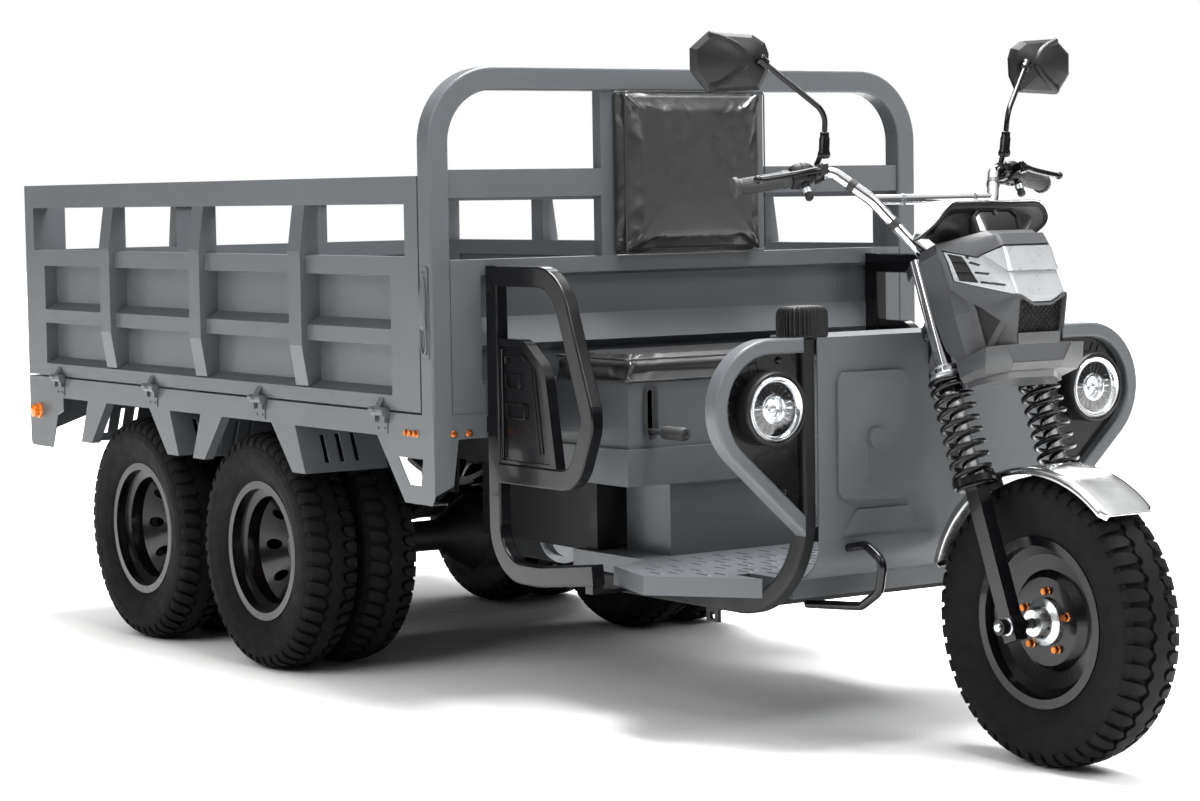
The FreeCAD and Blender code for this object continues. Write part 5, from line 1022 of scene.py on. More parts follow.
class TRIKE_OT_front_mudguard(bpy.types.Operator):
    """Roll the bright front mudguard with its crown, hemmed edges and black brackets"""

    bl_idname = "trike.front_mudguard"
    bl_label = "Front mudguard"

    def execute(self, context):
        guard, brackets, bolts = forms(3)
        reach = FENDER_RADIUS + FENDER_SHEET
        sweep = FENDER_REAR - FENDER_FRONT
        section = edge_to_edge(FENDER_OUTER, 0) + edge_to_edge(FENDER_INNER, FENDER_SHEET)[::-1]
        rings = []
        for step in range(FENDER_STEPS + 1):
            # Each end narrows round its corners.
            end = min(step, FENDER_STEPS - step) / FENDER_STEPS * sweep
            half = FENDER_HALF - FENDER_NOSE * max(0.0, 1 - end / FENDER_NOSE_ANGLE) ** 2
            angle = FENDER_FRONT + sweep * step / FENDER_STEPS
            rings.append([over_wheel(reach - drop, angle, share * half) for share, drop in section])
        guard.skin(rings)
        for angle in (FENDER_FRONT, FENDER_REAR):
            hem = [over_wheel(reach - 1.5, angle, way * (FENDER_HALF - 16)) for way in (RIGHT, LEFT)]
            guard.rod(hem, HEM_RADIUS, 10)
        for way in (RIGHT, LEFT):
            brackets.block((-20, way * 66 - 4, 270), (20, way * 66 + 4, 299), turn=FORK)
            near, far = sorted((way * 68, way * 98))
            brackets.block((-16, near, 282), (16, far, 288), turn=FORK)
            for ahead in (-12, 12):
                bolts.bolt(FORK @ facing((ahead, way * 70.5, 284), (0, way, 0)), 10, 6, 16)
        piece(
            "front_mudguard", guard, "steering", ["rolled_stainless_sheet"], ["front_fender"],
            sharp=40,
        )
        piece("mudguard_brackets", brackets, "steering", ["black_gloss_enamel"], bevel=1.2)
        piece("mudguard_bolts", bolts, "steering", ["black_gloss_enamel"], bevel=0.4)
        return {"FINISHED"}


# Headlamps

LAMP_Y, LAMP_Z = 425.0, 700.0
LAMP_PLATE_X = 1154.0
LAMP_BACK_X = 1092.0
LAMP_FINS = 24
# Places on a lamp plate, outwards and up from the middle of the lamp, and the lean of the marks.
PLATE_SCREWS = ((-33, 92), (93, -4), (-46, -168))
PLATE_MARKS = ((28, 80, 20), (60, 54, 46), (80, 23, 72))


def on_lamp_plate(way, outwards=0, up=0):
    """Place on a lamp plate, local Z straight ahead, measured from the middle of the lamp."""
    return facing((LAMP_PLATE_X, way * (LAMP_Y + outwards), LAMP_Z + up), (1, 0, 0))


def headlamp(form, turn):
    """One lamp: black ring, silver ring, radial fins, bright centre; tones black, silver, reflector."""
    black, silver, mirror = 0, 1, 2
    form.lathe([
        (69, 0.4), (73.6, 0.4), (73.8, 30), (73, 36), (70.5, 39.6), (66.5, 40), (64.5, 37), (64, 18),
    ], 72, True, black, turn)
    form.lathe([
        (63.8, 14), (63.8, 34.5), (62, 36.6), (57.5, 37), (53.5, 34.5), (50.5, 27), (50, 14),
    ], 72, True, silver, turn)
    form.lathe([(49.8, 16), (49.8, 19), (30, 15.5), (30, 12)], 60, True, mirror, turn)
    form.lathe([
        (30.5, 12), (30.5, 27), (28.5, 29.5), (25, 30), (22.5, 27), (20, 20), (19, 12),
    ], 48, True, silver, turn)
    form.lathe([(19, 16), (14, 13.6), (9, 13), (8.5, 22), (7, 25.5), (3, 27)], 32, tone=mirror, turn=turn)
    for number in range(LAMP_FINS):
        spin = turn @ Matrix.Rotation(math.tau * (number + 0.5) / LAMP_FINS, 4, "Z")
        wide_end, slim_end = 4.3, 2.3
        rings = []
        for height, grow in ((17.5, 0.0), (24.5, 0.0), (25.6, -0.9)):
            rings.append([
                (31 - grow, -slim_end - grow, height - 2.5), (49 + grow, -wide_end - grow, height),
                (49 + grow, wide_end + grow, height), (31 - grow, slim_end + grow, height - 2.5),
            ])
        form.skin(rings, True, black, spin)


class TRIKE_OT_headlamps(bpy.types.Operator):
    """Build the round headlamps with their rings and fins, lenses, plates' screws and marks"""

    bl_idname = "trike.headlamps"
    bl_label = "Headlamps"

    def execute(self, context):
        lamps, lenses, screws, marks = forms(4)
        for way in (RIGHT, LEFT):
            turn = on_lamp_plate(way)
            headlamp(lamps, turn)
            lenses.lathe([
                (63.6, 36.8), (63.0, 38.4), (50, 41.6), (30, 43.4), (12, 44), (0.5, 44), (0.5, 42.4),
                (12, 42.4), (30, 41.8), (50, 40), (63.6, 35.6),
            ], 64, True, turn=turn)
            lamps.lathe([
                (26, LAMP_BACK_X - LAMP_PLATE_X), (58, -40), (68, -10), (69, 0.4), (64, 0.4), (24, -50),
            ], 48, True, turn=turn)
            for outwards, up in PLATE_SCREWS:
                screws.lathe(
                    [(7.5, -0.5), (7.5, 1), (6.2, 2.2), (6, 4.2), (4.5, 5.2)], 24,
                    turn=on_lamp_plate(way, outwards, up),
                )
            for outwards, up, lean in PLATE_MARKS:
                mark = on_lamp_plate(way, outwards, up) @ Matrix.Rotation(-way * math.radians(lean), 4, "Z")
                marks.rod([(-9, -8, 0.4), (-9, 9, 0.4), (9, 9, 0.4), (9, -8, 0.4)], 1.5, 8, turn=mark)
        piece("lamp_plate_marks", marks, "chassis", ["black_gloss_enamel"])
        piece(
            "headlamp_units", lamps, "chassis",
            ["black_moulded_nylon", "bright_chrome_plate", "metallised_reflector"], ["headlamps"], sharp=40,
        )
        piece("headlamp_lenses", lenses, "chassis", ["clear_polycarbonate"])
        piece("lamp_plate_screws", screws, "chassis", ["black_gloss_enamel"])
        return {"FINISHED"}


# Nacelle

# Height, back, corner and front places, half width at the back and at the front, from the CAD shell.
NACELLE_LEVELS = (
    (462, 46, 70, 104, 112, 60), (520, 46, 74, 148.8, 122, 58), (547, 26, 76, 162, 126, 57),
    (600, 26, 84, 188, 134, 60), (660, 26, 88, 180, 138, 60), (705, 26, 86, 179, 139, 57),
    (729, 26, 82, 172, 139, 57), (750, 32, 78, 150, 132, 60),
)
# Corners of half outlines as (side, height), chin first.
MASK_HALF = ((23, 591), (63, 607), (127, 665), (129, 727), (91, 696), (85, 699), (54, 705))
VISOR_HALF = ((60, 652), (82, 697), (54, 702))
COVER_HALF = (
    (22, 584), (58, 600), (57, 541), (79, 570), (115, 617), (134, 652), (137.5, 744), (110, 742), (57, 729),
)
COVER_OPENING_HALF = (
    (22.5, 589), (64, 605), (128.6, 664), (130.4, 729.5), (91, 698), (85.6, 700.6), (54, 706.6),
)
LOUVRES = (
    ((126.5, 724), (109, 709.5), (106, 694), (126, 703.5)),
    ((126, 701), (105, 685), (103, 671), (125.5, 682)),
    ((125.5, 680), (100.5, 662), (99.5, 649.5), (124, 662.5)),
)
LOUVRE_BAY = ((125.5, 722), (109.5, 708), (105.5, 691), (102.5, 669), (98.5, 648), (121, 662))
GROOVE_ENDS = ((91, 681), (83, 659), (68, 628))
GROOVE_GAP, GROOVE_WIDTH = Vector((3.5, 1.0)), 4.2
# Dark sheet in each side opening: painted shade of the recess under the bars.
SIDE_OPENING_SHADE = ((111, 611), (76, 563), (97, 526))
SIDE_BARS = (((114.5, 619), (98, 523), 7, 6.5), ((73, 566), (93, 522), 10, 5.0))
SILL = ((-50, 486), (50, 486), (55, 537), (-55, 537))
# Height, half width, ear and front of the chin plates, and height and front of the lip between them.
CHIN_PLATES = ((473, 121, 66, 124), (486, 127, 66, 137), (500, 128, 74, 144), (517, 127.5, 86, 150))
CHIN_LIP, CHIN_BACK, LIP_HALF = ((473, 124), (485, 137)), 50, 66
GRILLE_FOOT, GRILLE_HEAD = NACELLE_LEVELS[1], NACELLE_LEVELS[3]
GRILLE_LEAN = math.atan2(GRILLE_HEAD[3] - GRILLE_FOOT[3], GRILLE_HEAD[0] - GRILLE_FOOT[0])
GRILLE = (
    FORK @ Matrix.Translation((GRILLE_FOOT[3], 0, GRILLE_FOOT[0])) @ Matrix.Rotation(GRILLE_LEAN, 4, "Y")
)
GRILLE_CORNERS = ((-55, 18), (55, 18), (57, 82), (-57, 82))
GRILLE_MIDDLE, GRILLE_WIRES = 50.0, 12


def nacelle_level(height):
    """Plan of the nacelle at a height, between the levels on both sides of it."""
    for low, high in zip(NACELLE_LEVELS, NACELLE_LEVELS[1:]):
        if height <= high[0] or high is NACELLE_LEVELS[-1]:
            share = (height - low[0]) / (high[0] - low[0])
            return [a + (b - a) * share for a, b in zip(low[1:], high[1:])]
    return None


def nacelle_point(side, height):
    """Point of the nacelle's face, in the fork's frame."""
    back, corner, front, wide, narrow = nacelle_level(height)
    share = min(1.0, max(0.0, (abs(side) - narrow) / (wide - narrow)))
    return Vector((front + (corner - front) * share, side, height))


def on_nacelle(side, height, lift):
    """The same point, lifted square off the face."""
    step = 0.6
    across = nacelle_point(side + step, height) - nacelle_point(side - step, height)
    up = nacelle_point(side, height + step) - nacelle_point(side, height - step)
    outward = across.cross(up).normalized()
    return nacelle_point(side, height) + outward * lift


def panel(form, outline, low, high, holes=()):
    """Plate that follows the folds of the face, between two lifts, with holes in it."""
    flat = bmesh.new()
    for loop in (outline, *holes):
        spots = [flat.verts.new((side, height, 0)) for side, height in loop]
        for start, end in zip(spots, spots[1:] + spots[:1]):
            flat.edges.new((start, end))
    bmesh.ops.triangle_fill(flat, use_beauty=True, edges=flat.edges[:], normal=(0, 0, 1))
    folds = [((0, level[0], 0), (0, 1, 0)) for level in NACELLE_LEVELS]
    for first, second in zip(NACELLE_LEVELS, NACELLE_LEVELS[1:]):
        for way in (-1, 1):
            lean = way * (second[5] - first[5]) / (second[0] - first[0])
            folds.append(((way * first[5], first[0], 0), (1, -lean, 0)))
    for spot, across in folds:
        everything = flat.verts[:] + flat.edges[:] + flat.faces[:]
        bmesh.ops.bisect_plane(flat, geom=everything, dist=0.01, plane_co=spot, plane_no=across)
    flat.verts.index_update()
    count = len(flat.verts)
    points = [on_nacelle(spot.co.x, spot.co.y, lift) for lift in (low, high) for spot in flat.verts]
    faces = []
    for face in flat.faces:
        corners = [spot.index for spot in face.verts]
        faces.append(tuple(count + index for index in corners))
        faces.append(tuple(reversed(corners)))
    for edge in flat.edges:
        if edge.is_boundary:
            start, end = (spot.index for spot in edge.verts)
            faces.append((start, end, end + count, start + count))
    flat.free()
    form.put(points, faces)


def both_halves(half):
    """Whole outline from the corners of its right half."""
    return mirrored(half) + list(reversed(half))


def mirrored(corners):
    """The same outline on the other side."""
    return [(-side, height) for side, height in corners]


def grown(corners, amount):
    """Convex outline moved outwards by an amount."""
    middle = sum((Vector(corner) for corner in corners), Vector((0, 0))) / len(corners)
    return [
        tuple(Vector(corner) + (Vector(corner) - middle).normalized() * amount) for corner in corners
    ]


def strip(start, end, width):
    """Narrow four-sided outline between two points."""
    start, end = Vector(start), Vector(end)
    along = (end - start).normalized()
    aside = Vector((-along.y, along.x)) * width / 2
    return [tuple(start + aside), tuple(start - aside), tuple(end - aside), tuple(end + aside)]


def clipped(start, along, corners):
    """Ends of the stretch of a line that lies inside a convex outline, as distances."""
    near, far = -1000.0, 1000.0
    for first, second in zip(corners, corners[1:] + corners[:1]):
        edge = Vector(second) - Vector(first)
        inward = Vector((-edge.y, edge.x)).normalized()
        depth = (Vector(start) - Vector(first)).dot(inward)
        pace = Vector(along).dot(inward)
        if abs(pace) < 1e-6:
            if depth < 0:
                return None
        elif pace > 0:
            near = max(near, -depth / pace)
        else:
            far = min(far, -depth / pace)
    return (near, far) if far - near > 3 else None


def mask_panels(mask, visor, dark):
    """Mask with its bays and grooves cut out, raised visor, and the black backing and blades of the louvres
    as painted shade of the slots.
    """
    openings = [LOUVRE_BAY]
    for louvre, end in zip(LOUVRES, GROOVE_ENDS):
        openings.append(strip(Vector(louvre[2]) - GROOVE_GAP, end, GROOVE_WIDTH))
    openings += [mirrored(opening) for opening in openings]
    panel(mask, both_halves(MASK_HALF), 0.2, 4.2, openings)
    panel(visor, both_halves(VISOR_HALF), 3.6, 9.5)
    # The black backing of each bay and the black blades are painted shade of the louvre slots.
    for bay in (LOUVRE_BAY, mirrored(LOUVRE_BAY)):
        panel(dark, grown(bay, 0.8), 0.05, 0.6)
    for louvre in LOUVRES:
        middle = sum((Vector(corner) for corner in louvre), Vector((0, 0))) / len(louvre)
        inner = [tuple(Vector(corner).lerp(middle, 0.1)) for corner in louvre]
        for blade in (inner, mirrored(inner)):
            panel(dark, blade, 0.1, 3.4)


def cover_panels(cover, dark):
    """Graphite frame round the mask, dark sheets of painted shade in the side openings with their bars,
    screws and the sill.
    """
    panel(cover, both_halves(COVER_HALF), 0.2, 7.5, [both_halves(COVER_OPENING_HALF)])
    for way in (RIGHT, LEFT):
        # The dark sheet in the side opening is painted shade.
        panel(dark, [(way * side, height) for side, height in SIDE_OPENING_SHADE], 0.1, 0.9)
        for start, end, width, lift in SIDE_BARS:
            panel(cover, [(way * side, height) for side, height in strip(start, end, width)], 0.2, lift)
        spot = FORK @ on_nacelle(way * 103, 704, 3.8)
        outward = FORK.to_3x3() @ Vector((0.8, way * 0.6, 0))
        screw = FORK.inverted() @ facing(spot, outward)
        dark.lathe([(3.4, -1), (3.4, 0.8), (2.2, 1.6)], 16, turn=screw)
    panel(cover, SILL, 0.2, 2.4)


def chin_guard(chin):
    """Folded plates on both sides of the chin and the lip between them."""
    for way in (RIGHT, LEFT):
        chin.skin([
            [
                (CHIN_BACK, way * wide, height), (front - 11, way * wide, height),
                (front + 1, way * ear, height), (front - 9, way * (ear - 3), height),
                (CHIN_BACK, way * (ear - 3), height),
            ]
            for height, wide, ear, front in CHIN_PLATES
        ])
    chin.skin([
        [
            (front - 12, -LIP_HALF, height), (front + 1, -LIP_HALF, height), (front + 1, LIP_HALF, height),
            (front - 12, LIP_HALF, height),
        ]
        for height, front in CHIN_LIP
    ])


class TRIKE_OT_nacelle(bpy.types.Operator):
    """Fit the mask with its visor and louvres, the cover frame, the painted shade in the side openings, and
    chin
    """

    bl_idname = "trike.nacelle"
    bl_label = "Nacelle"

    def execute(self, context):
        mask, visor, cover, dark, chin = forms(5, FORK)
        mask_panels(mask, visor, dark)
        cover_panels(cover, dark)
        chin_guard(chin)
        piece("mask_lacquer", mask, "steering", ["silver_flake_lacquer"], ["nacelle_mask"], 0.9, 30)
        piece(
            "mask_visor", visor, "steering", ["silver_flake_lacquer"], bevel=3.4, sharp=30,
            segments=3,
        )
        piece("cover_frame", cover, "steering", ["graphite_moulded_abs"], bevel=1.3, sharp=30)
        piece("mask_louvres", dark, "steering", ["black_moulded_nylon"], bevel=0.6, sharp=30)
        piece("chin_guard", chin, "steering", ["graphite_moulded_abs"], bevel=2.2, sharp=30)
        return {"FINISHED"}


class TRIKE_OT_grille(bpy.types.Operator):
    """Weave the diagonal wire grille and back it with a dark plate"""

    bl_idname = "trike.grille"
    bl_label = "Grille"

    def execute(self, context):
        pitch = context.scene.trike_trim.mesh_pitch / MM
        wires, back = forms(2, GRILLE)
        for way in (RIGHT, LEFT):
            along = Vector((way, 1)).normalized()
            aside = Vector((along.y, -along.x))
            for number in range(-GRILLE_WIRES, GRILLE_WIRES + 1):
                start = Vector((0, GRILLE_MIDDLE)) + aside * number * pitch
                ends = clipped(start, along, GRILLE_CORNERS)
                if ends is None:
                    continue
                path = [start + along * reach for reach in ends]
                wires.rod([(-3.4 + 0.5 * way, spot.x, spot.y) for spot in path], 0.9, 6)
        edge = [(-3.2, side, up) for side, up in GRILLE_CORNERS]
        wires.rod(edge + edge[:1], 1.6, 6)
        back.skin([[(depth, side, up) for side, up in GRILLE_CORNERS] for depth in (-9, -7.5)])
        piece("grille_wires", wires, "steering", ["black_gloss_enamel"], ["nacelle_grille"])
        piece("grille_backing", back, "steering", ["black_moulded_nylon"])
        return {"FINISHED"}


# Instrument pod

POD_HALF_PLAN = (
    (8, 0), (8, 90), (14, 122), (32, 142), (62, 150), (104, 150), (126, 140), (136, 116), (137, 60), (137, 0),
)
POD_FRONT, POD_MIDDLE, POD_HALF_WIDTH = 137.0, 66.0, 150.0
POD_FALL = 0.16
POD_DROOP, POD_DROOP_START = 30.0, 112.0
# Share of the length and of the width, height, share of the tilt and of the droop.
POD_RINGS = (
    (0.58, 0.56, 750.6, 0, 0), (0.6, 0.6, 760, 0, 0), (0.64, 0.66, 768, 0.3, 0),
    (0.68, 0.72, 778, 0.6, 0.1), (0.7, 0.78, 790, 0.8, 0.4), (0.72, 0.8, 800, 0.95, 0.8),
    (0.8, 0.86, 807, 1.0, 0.95), (0.96, 0.99, 811, 1.0, 1.0), (0.985, 1.0, 816.5, 1.0, 1.0),
    (0.97, 0.985, 817.6, 1.0, 1.0), (0.95, 0.965, 815, 1.0, 1.0), (0.93, 0.94, 806, 1.0, 1.0),
    (0.9, 0.9, 804, 1.0, 1.0),
)
POD_RIM = (0.985, 1.0, 816.4, 1.0, 1.0)
LAMP_BOX_HALF = ((61, 753), (64, 789), (47, 804))
LAMP_BOX_MIDDLE = Vector((0, 778))
DIAL_MARKS, DIAL_START, DIAL_STEP = 11, -60, 12


def pod_ring(long, wide, height, tilt, droop):
    """Closed plan of the pod at a share of its size, tilted towards the rider, its ends hanging."""
    half = flowing([(place, side, 0) for place, side in POD_HALF_PLAN], 3)
    whole = half + [Vector((spot.x, -spot.y, 0)) for spot in reversed(half[1:-1])]
    ring = []
    for spot in whole:
        place, side = POD_MIDDLE + (spot.x - POD_MIDDLE) * long, spot.y * wide
        outer = max(0.0, abs(side) - POD_DROOP_START) / (POD_HALF_WIDTH - POD_DROOP_START)
        hang = POD_DROOP * droop * outer ** 1.3
        ring.append((place, side, height - tilt * POD_FALL * (POD_FRONT - place) - hang))
    return ring


def lamp_box_ring(place, share):
    """Outline of the lamp box at a share of its size."""
    outline = list(LAMP_BOX_HALF) + mirrored(LAMP_BOX_HALF)[::-1]
    return [(place, *(LAMP_BOX_MIDDLE + (Vector(corner) - LAMP_BOX_MIDDLE) * share)) for corner in outline]


class TRIKE_OT_instrument_pod(bpy.types.Operator):
    """Mould the instrument pod with its bright rim, display and small front lamp"""

    bl_idname = "trike.instrument_pod"
    bl_label = "Instrument pod"

    def execute(self, context):
        pod, rim, glass, marks = forms(4, FORK)
        pod.skin([pod_ring(*ring) for ring in POD_RINGS])
        rim.rod(pod_ring(*POD_RIM), 1.7, 8, closed=True)
        pod.skin([
            lamp_box_ring(place, share)
            for place, share in ((92, 1.0), (121, 1.0), (126, 0.97), (126.5, 0.86), (120.5, 0.82))
        ])
        glass.skin([
            lamp_box_ring(place, share) for place, share in ((120, 0.82), (123.4, 0.81), (124.2, 0.77))
        ])
        eye = facing((124.6, 0, 797), (1, 0, 0))
        glass.lathe([(5.4, 0), (5.4, 2.2), (3.8, 3), (3.4, 1.8), (0.6, 1.4)], 8, turn=eye)
        tilt = Matrix.Rotation(-math.atan(POD_FALL), 4, "Y")
        top_frame = Matrix.Translation((POD_MIDDLE, 0, 792)) @ tilt
        display = arc_path([
            (-46, -76, 0), (40, -92, 0), (40, 92, 0), (-46, 76, 0), (-46, -76, 0),
        ], (14, 14, 14))
        glass.skin([
            [(spot.x, spot.y, lift) for spot in display[:-1]] for lift in (-8, 1.0, 2.0)
        ], turn=top_frame)
        for number in range(DIAL_MARKS):
            spread = math.radians(DIAL_START + DIAL_STEP * number)
            x, y = 12 + 22 * math.cos(spread), 50 * math.sin(spread)
            marks.block((x - 3, y - 0.8, 1.8), (x + 3, y + 0.8, 2.5), turn=top_frame)
        piece(
            "pod_moulding", pod, "steering", ["black_moulded_nylon"], ["instrument_pod"],
            sharp=40,
        )
        piece("pod_rim", rim, "steering", ["bright_zinc_plate"])
        piece("pod_glass", glass, "steering", ["smoked_acrylic"], bevel=0.6)
        piece("pod_marks", marks, "steering", ["pale_dial_ink"])
        return {"FINISHED"}


# Handlebar

BAR_END = Vector((-138, -410, 957))
BAR_KNEE = Vector((-68, -215, 962))
BAR_BENDS = (Vector((-35, -160, 888)), Vector((-22, -75, 760)))
BAR_WAY = (BAR_KNEE - BAR_END).normalized()
GRIP_LENGTH, GRIP_FLUTES = 116.0, 26
# Distance along the bar, half width, half height and shift of the switch housing.
HOUSING_RINGS = (
    (118, 17, 17, 0), (120, 21, 21, 0.5), (128, 24, 23.5, 2), (139, 24.5, 24, 3), (140, 23.3, 22.9, 3),
    (141, 24.5, 24, 3), (154, 24, 23, 2), (162, 21, 20.5, 0.5), (164.5, 17, 17, 0),
)
# Distance along the bar, lift and reach of the buttons.
BUTTONS = ((127, 10, 25.5), (140, 10, 25.5), (152, 9, 25.5), (140, -9, 24.5))
# Distance along the bar, reach ahead, lift and half width of the lever bracket.
BRACKET = ((149, 12, 0, 11), (149, 26, -1, 10), (150, 40, -4, 12), (152, 56, -6, 12))
LEVER_SECTION = (
    (-1, -0.55), (-0.6, -1), (0.6, -1), (1, -0.55), (1, 0.55), (0.6, 1), (-0.6, 1), (-1, 0.55),
)
OTHER_SIDE = Matrix.Scale(-1, 4, (0, 1, 0))
SIDES = (Matrix(), OTHER_SIDE)


def bar_point(along, ahead=0, up=0):
    """A point near the straight end of the handlebar, right side, in the fork's frame."""
    return BAR_END + BAR_WAY * along + Vector((ahead, 0, up))


def on_bar(along):
    """Place on the handlebar with local Z along it, right side."""
    return facing(bar_point(along), BAR_WAY)


def grip(form, side):
    """Rubber grip: end flange, lengthwise flutes, smooth cuff at the inner end."""
    turn = side @ on_bar(0)
    form.lathe([
        (0.5, -4), (17, -4), (20.5, -2), (21.5, 2), (21, 6), (17.5, 9), (16.4, 14), (16.2, 17), (0.5, 17),
    ], 40, turn=turn)
    rings = []
    for height, deep in ((16, 0.0), (19, 1.0), (97, 1.0), (100, 0.0)):
        ring = []
        for step, (x, y, level) in enumerate(circle(1.0, GRIP_FLUTES * 4, height)):
            radius = 17.0 - 0.9 * deep * (step % 4 > 1)
            ring.append((radius * x, radius * y, level))
        rings.append(ring)
    form.skin(rings, turn=turn)
    form.lathe([
        (12.4, 99), (17.6, 99), (18.4, 101), (18.4, 108), (17.2, 112), (17.2, GRIP_LENGTH),
        (12.4, GRIP_LENGTH),
    ], 40, True, turn=turn)


def switch_housing(form, side):
    """Two-part switch housing with its buttons, screws and the small lever below it."""
    turn = side @ on_bar(0)
    rings = []
    for height, wide, tall, shift in HOUSING_RINGS:
        ring = []
        for across, up, square in squircle(40):
            reach = 0.35 + 0.65 * square
            ring.append((wide * across * reach, tall * up * reach + shift, height))
        rings.append(ring)
    form.skin(rings, turn=turn)
    for height, lift, reach in BUTTONS:
        form.block((reach - 5, lift - 4, height - 4.5), (reach + 2.2, lift + 4, height + 4.5), turn=turn)
    for height in (131, 151):
        screw = turn @ facing((4, -20.4, height), (0, -1, 0), (0, 0, 1))
        form.lathe([(3.6, 0), (3.6, 2.2), (2.4, 2.8), (1.8, 1.6), (0.3, 1.6)], 14, turn=screw)


def brake_lever(form, side):
    """Lever bracket, its pivot bolt and the flat lever with a ball end."""
    clamp = side @ on_bar(0)
    form.lathe([
        (12.2, 142), (19.5, 142), (20.5, 144), (20.5, 154), (19.5, 156), (12.2, 156),
    ], 32, True, turn=clamp)
    bracket = []
    for along, ahead, up, half in BRACKET:
        spot = bar_point(along, ahead, up)
        bracket.append([
            spot + BAR_WAY * a * half + Vector((0, 0, b * 8.5))
            for a, b in ((-1, -1), (1, -1), (1, 1), (-1, 1))
        ])
    form.skin(bracket, turn=side)
    pivot = side @ facing(bar_point(152, 49, -17), (0, 0, 1), (0, 1, 0))
    form.lathe([(6.5, 0), (6.5, 22), (5.2, 23.5), (4.4, 22.6), (0.4, 22.6)], 18, turn=pivot)
    path = flowing([
        bar_point(158, 48, -6), bar_point(138, 53, -6.5), bar_point(108, 52, -7), bar_point(60, 55, -7.5),
        bar_point(12, 60, -8),
    ], 6)
    rings = []
    for index, spot in enumerate(path):
        share = index / (len(path) - 1)
        thick, tall = 3.4 + 1.4 * (1 - share), 6.4 - 1.2 * share
        rings.append([spot + Vector((a * thick, 0, b * tall)) for a, b in LEVER_SECTION])
    form.skin(rings, turn=side)
    ball = side @ facing(bar_point(2, 60, -8), BAR_WAY)
    form.lathe([
        (8.5 * math.sin(math.pi * step / 12), 8.5 - 8.5 * math.cos(math.pi * step / 12))
        for step in range(1, 12)
    ], 20, turn=ball)


class TRIKE_OT_handlebar(bpy.types.Operator):
    """Fit the fluted grips, switch housings, brake levers and tape bands"""

    bl_idname = "trike.handlebar"
    bl_label = "Handlebar"

    def execute(self, context):
        grips, housings, levers, bands, clips = forms(5, FORK)
        for side in SIDES:
            grip(grips, side)
            switch_housing(housings, side)
            brake_lever(levers, side)
            small = side @ facing(bar_point(136, 14, -20), (0.1, 0, -1), (0, 1, 0))
            housings.lathe([(5, 0), (8, 2), (8.5, 8), (7.5, 24), (8.5, 27), (8, 33), (4, 36)], 20, turn=small)
            clips.lathe([(8.9, 10), (8.9, 20), (8.2, 20), (8.2, 10)], 20, True, turn=small)
            for start, end, share in ((BAR_KNEE, BAR_BENDS[0], 0.5), (BAR_BENDS[0], BAR_BENDS[1], 0.42)):
                turn = side @ facing(start.lerp(end, share), end - start)
                bands.lathe([
                    (12.1, -8), (13.2, -7.5), (13.6, -3), (13.1, 1), (13.7, 4), (13.2, 7.6), (12.1, 8),
                ], 28, True, turn=turn)
            for share in (0.24, 0.83):
                place = BAR_BENDS[0].lerp(OTHER_SIDE @ BAR_BENDS[0], share)
                turn = facing(place, (0, 1, 0))
                clips.lathe([(10.1, -5), (11.6, -4.4), (11.6, 4.4), (10.1, 5)], 28, True, turn=turn)
        piece("grips", grips, "steering", ["soft_moulded_rubber"], ["bar_grips"], sharp=25)
        piece(
            "switch_housings", housings, "steering", ["black_moulded_nylon"],
            ["bar_controls"], bevel=0.7, sharp=45,
        )
        piece("brake_levers", levers, "steering", ["black_gloss_enamel"], bevel=0.5, sharp=45)
        piece("tape_bands", bands, "steering", ["soft_moulded_rubber"])
        piece("bar_sleeves", clips, "steering", ["bright_zinc_plate"], bevel=0.3)
        return {"FINISHED"}


# Mirrors

# Corners of a mirror as (inboard, height) from its middle.
MIRROR_OUTLINE = (
    (-82, 27), (-44, 59), (48, 53), (74, 37), (82, 16), (80, -20), (61, -55), (-47, -59), (-77, -24),
    (-82, -16),
)
MIRROR_SHELL = ((1.0, -9), (0.96, -6), (0.88, 0), (0.58, 9), (0.3, 13.5), (0.04, 15))
MIRROR_MIDDLE = Vector((-49, -413, 1188))
MIRROR_JOINT = Vector((13, 57, 2))
MIRROR_TURNS = (-16.0, 2.0)
MIRROR_CLAMP = 175.0
STEM_LOW, STEM_BEND = Vector((-44, -240, 1004)), Vector((-13, -242, 1066))
FORKED_RIB = (
    (0, -46, 55), (0, -12, 43), (0, 14, 27), (0, 27, 4), (0, 14, -16), (0, -12, -34), (0, -47, -53),
)
RIB_SECTION = ((-7.5, -3), (-5.2, 3.2), (-2.2, 5.4), (3.0, 4.6), (10.5, 0.8), (13.5, -3))
STEM_RADIUS = 5.5


def mirror_depth(across, up):
    """How far forward the back of the shell stands at a place inside the outline."""
    share = 0.0
    for first, second in zip(MIRROR_OUTLINE, MIRROR_OUTLINE[1:] + MIRROR_OUTLINE[:1]):
        edge = Vector(second) - Vector(first)
        outward = Vector((edge.y, -edge.x))
        share = max(share, Vector((across, up)).dot(outward) / Vector(first).dot(outward))
    for near, far in zip(MIRROR_SHELL, MIRROR_SHELL[1:]):
        if share >= far[0]:
            return far[1] + (near[1] - far[1]) * (share - far[0]) / (near[0] - far[0])
    return MIRROR_SHELL[-1][1]


def mirror_ring(depth, share):
    """The outline of a mirror at a depth and a share of its size."""
    return [(depth, across * share, up * share) for across, up in MIRROR_OUTLINE]


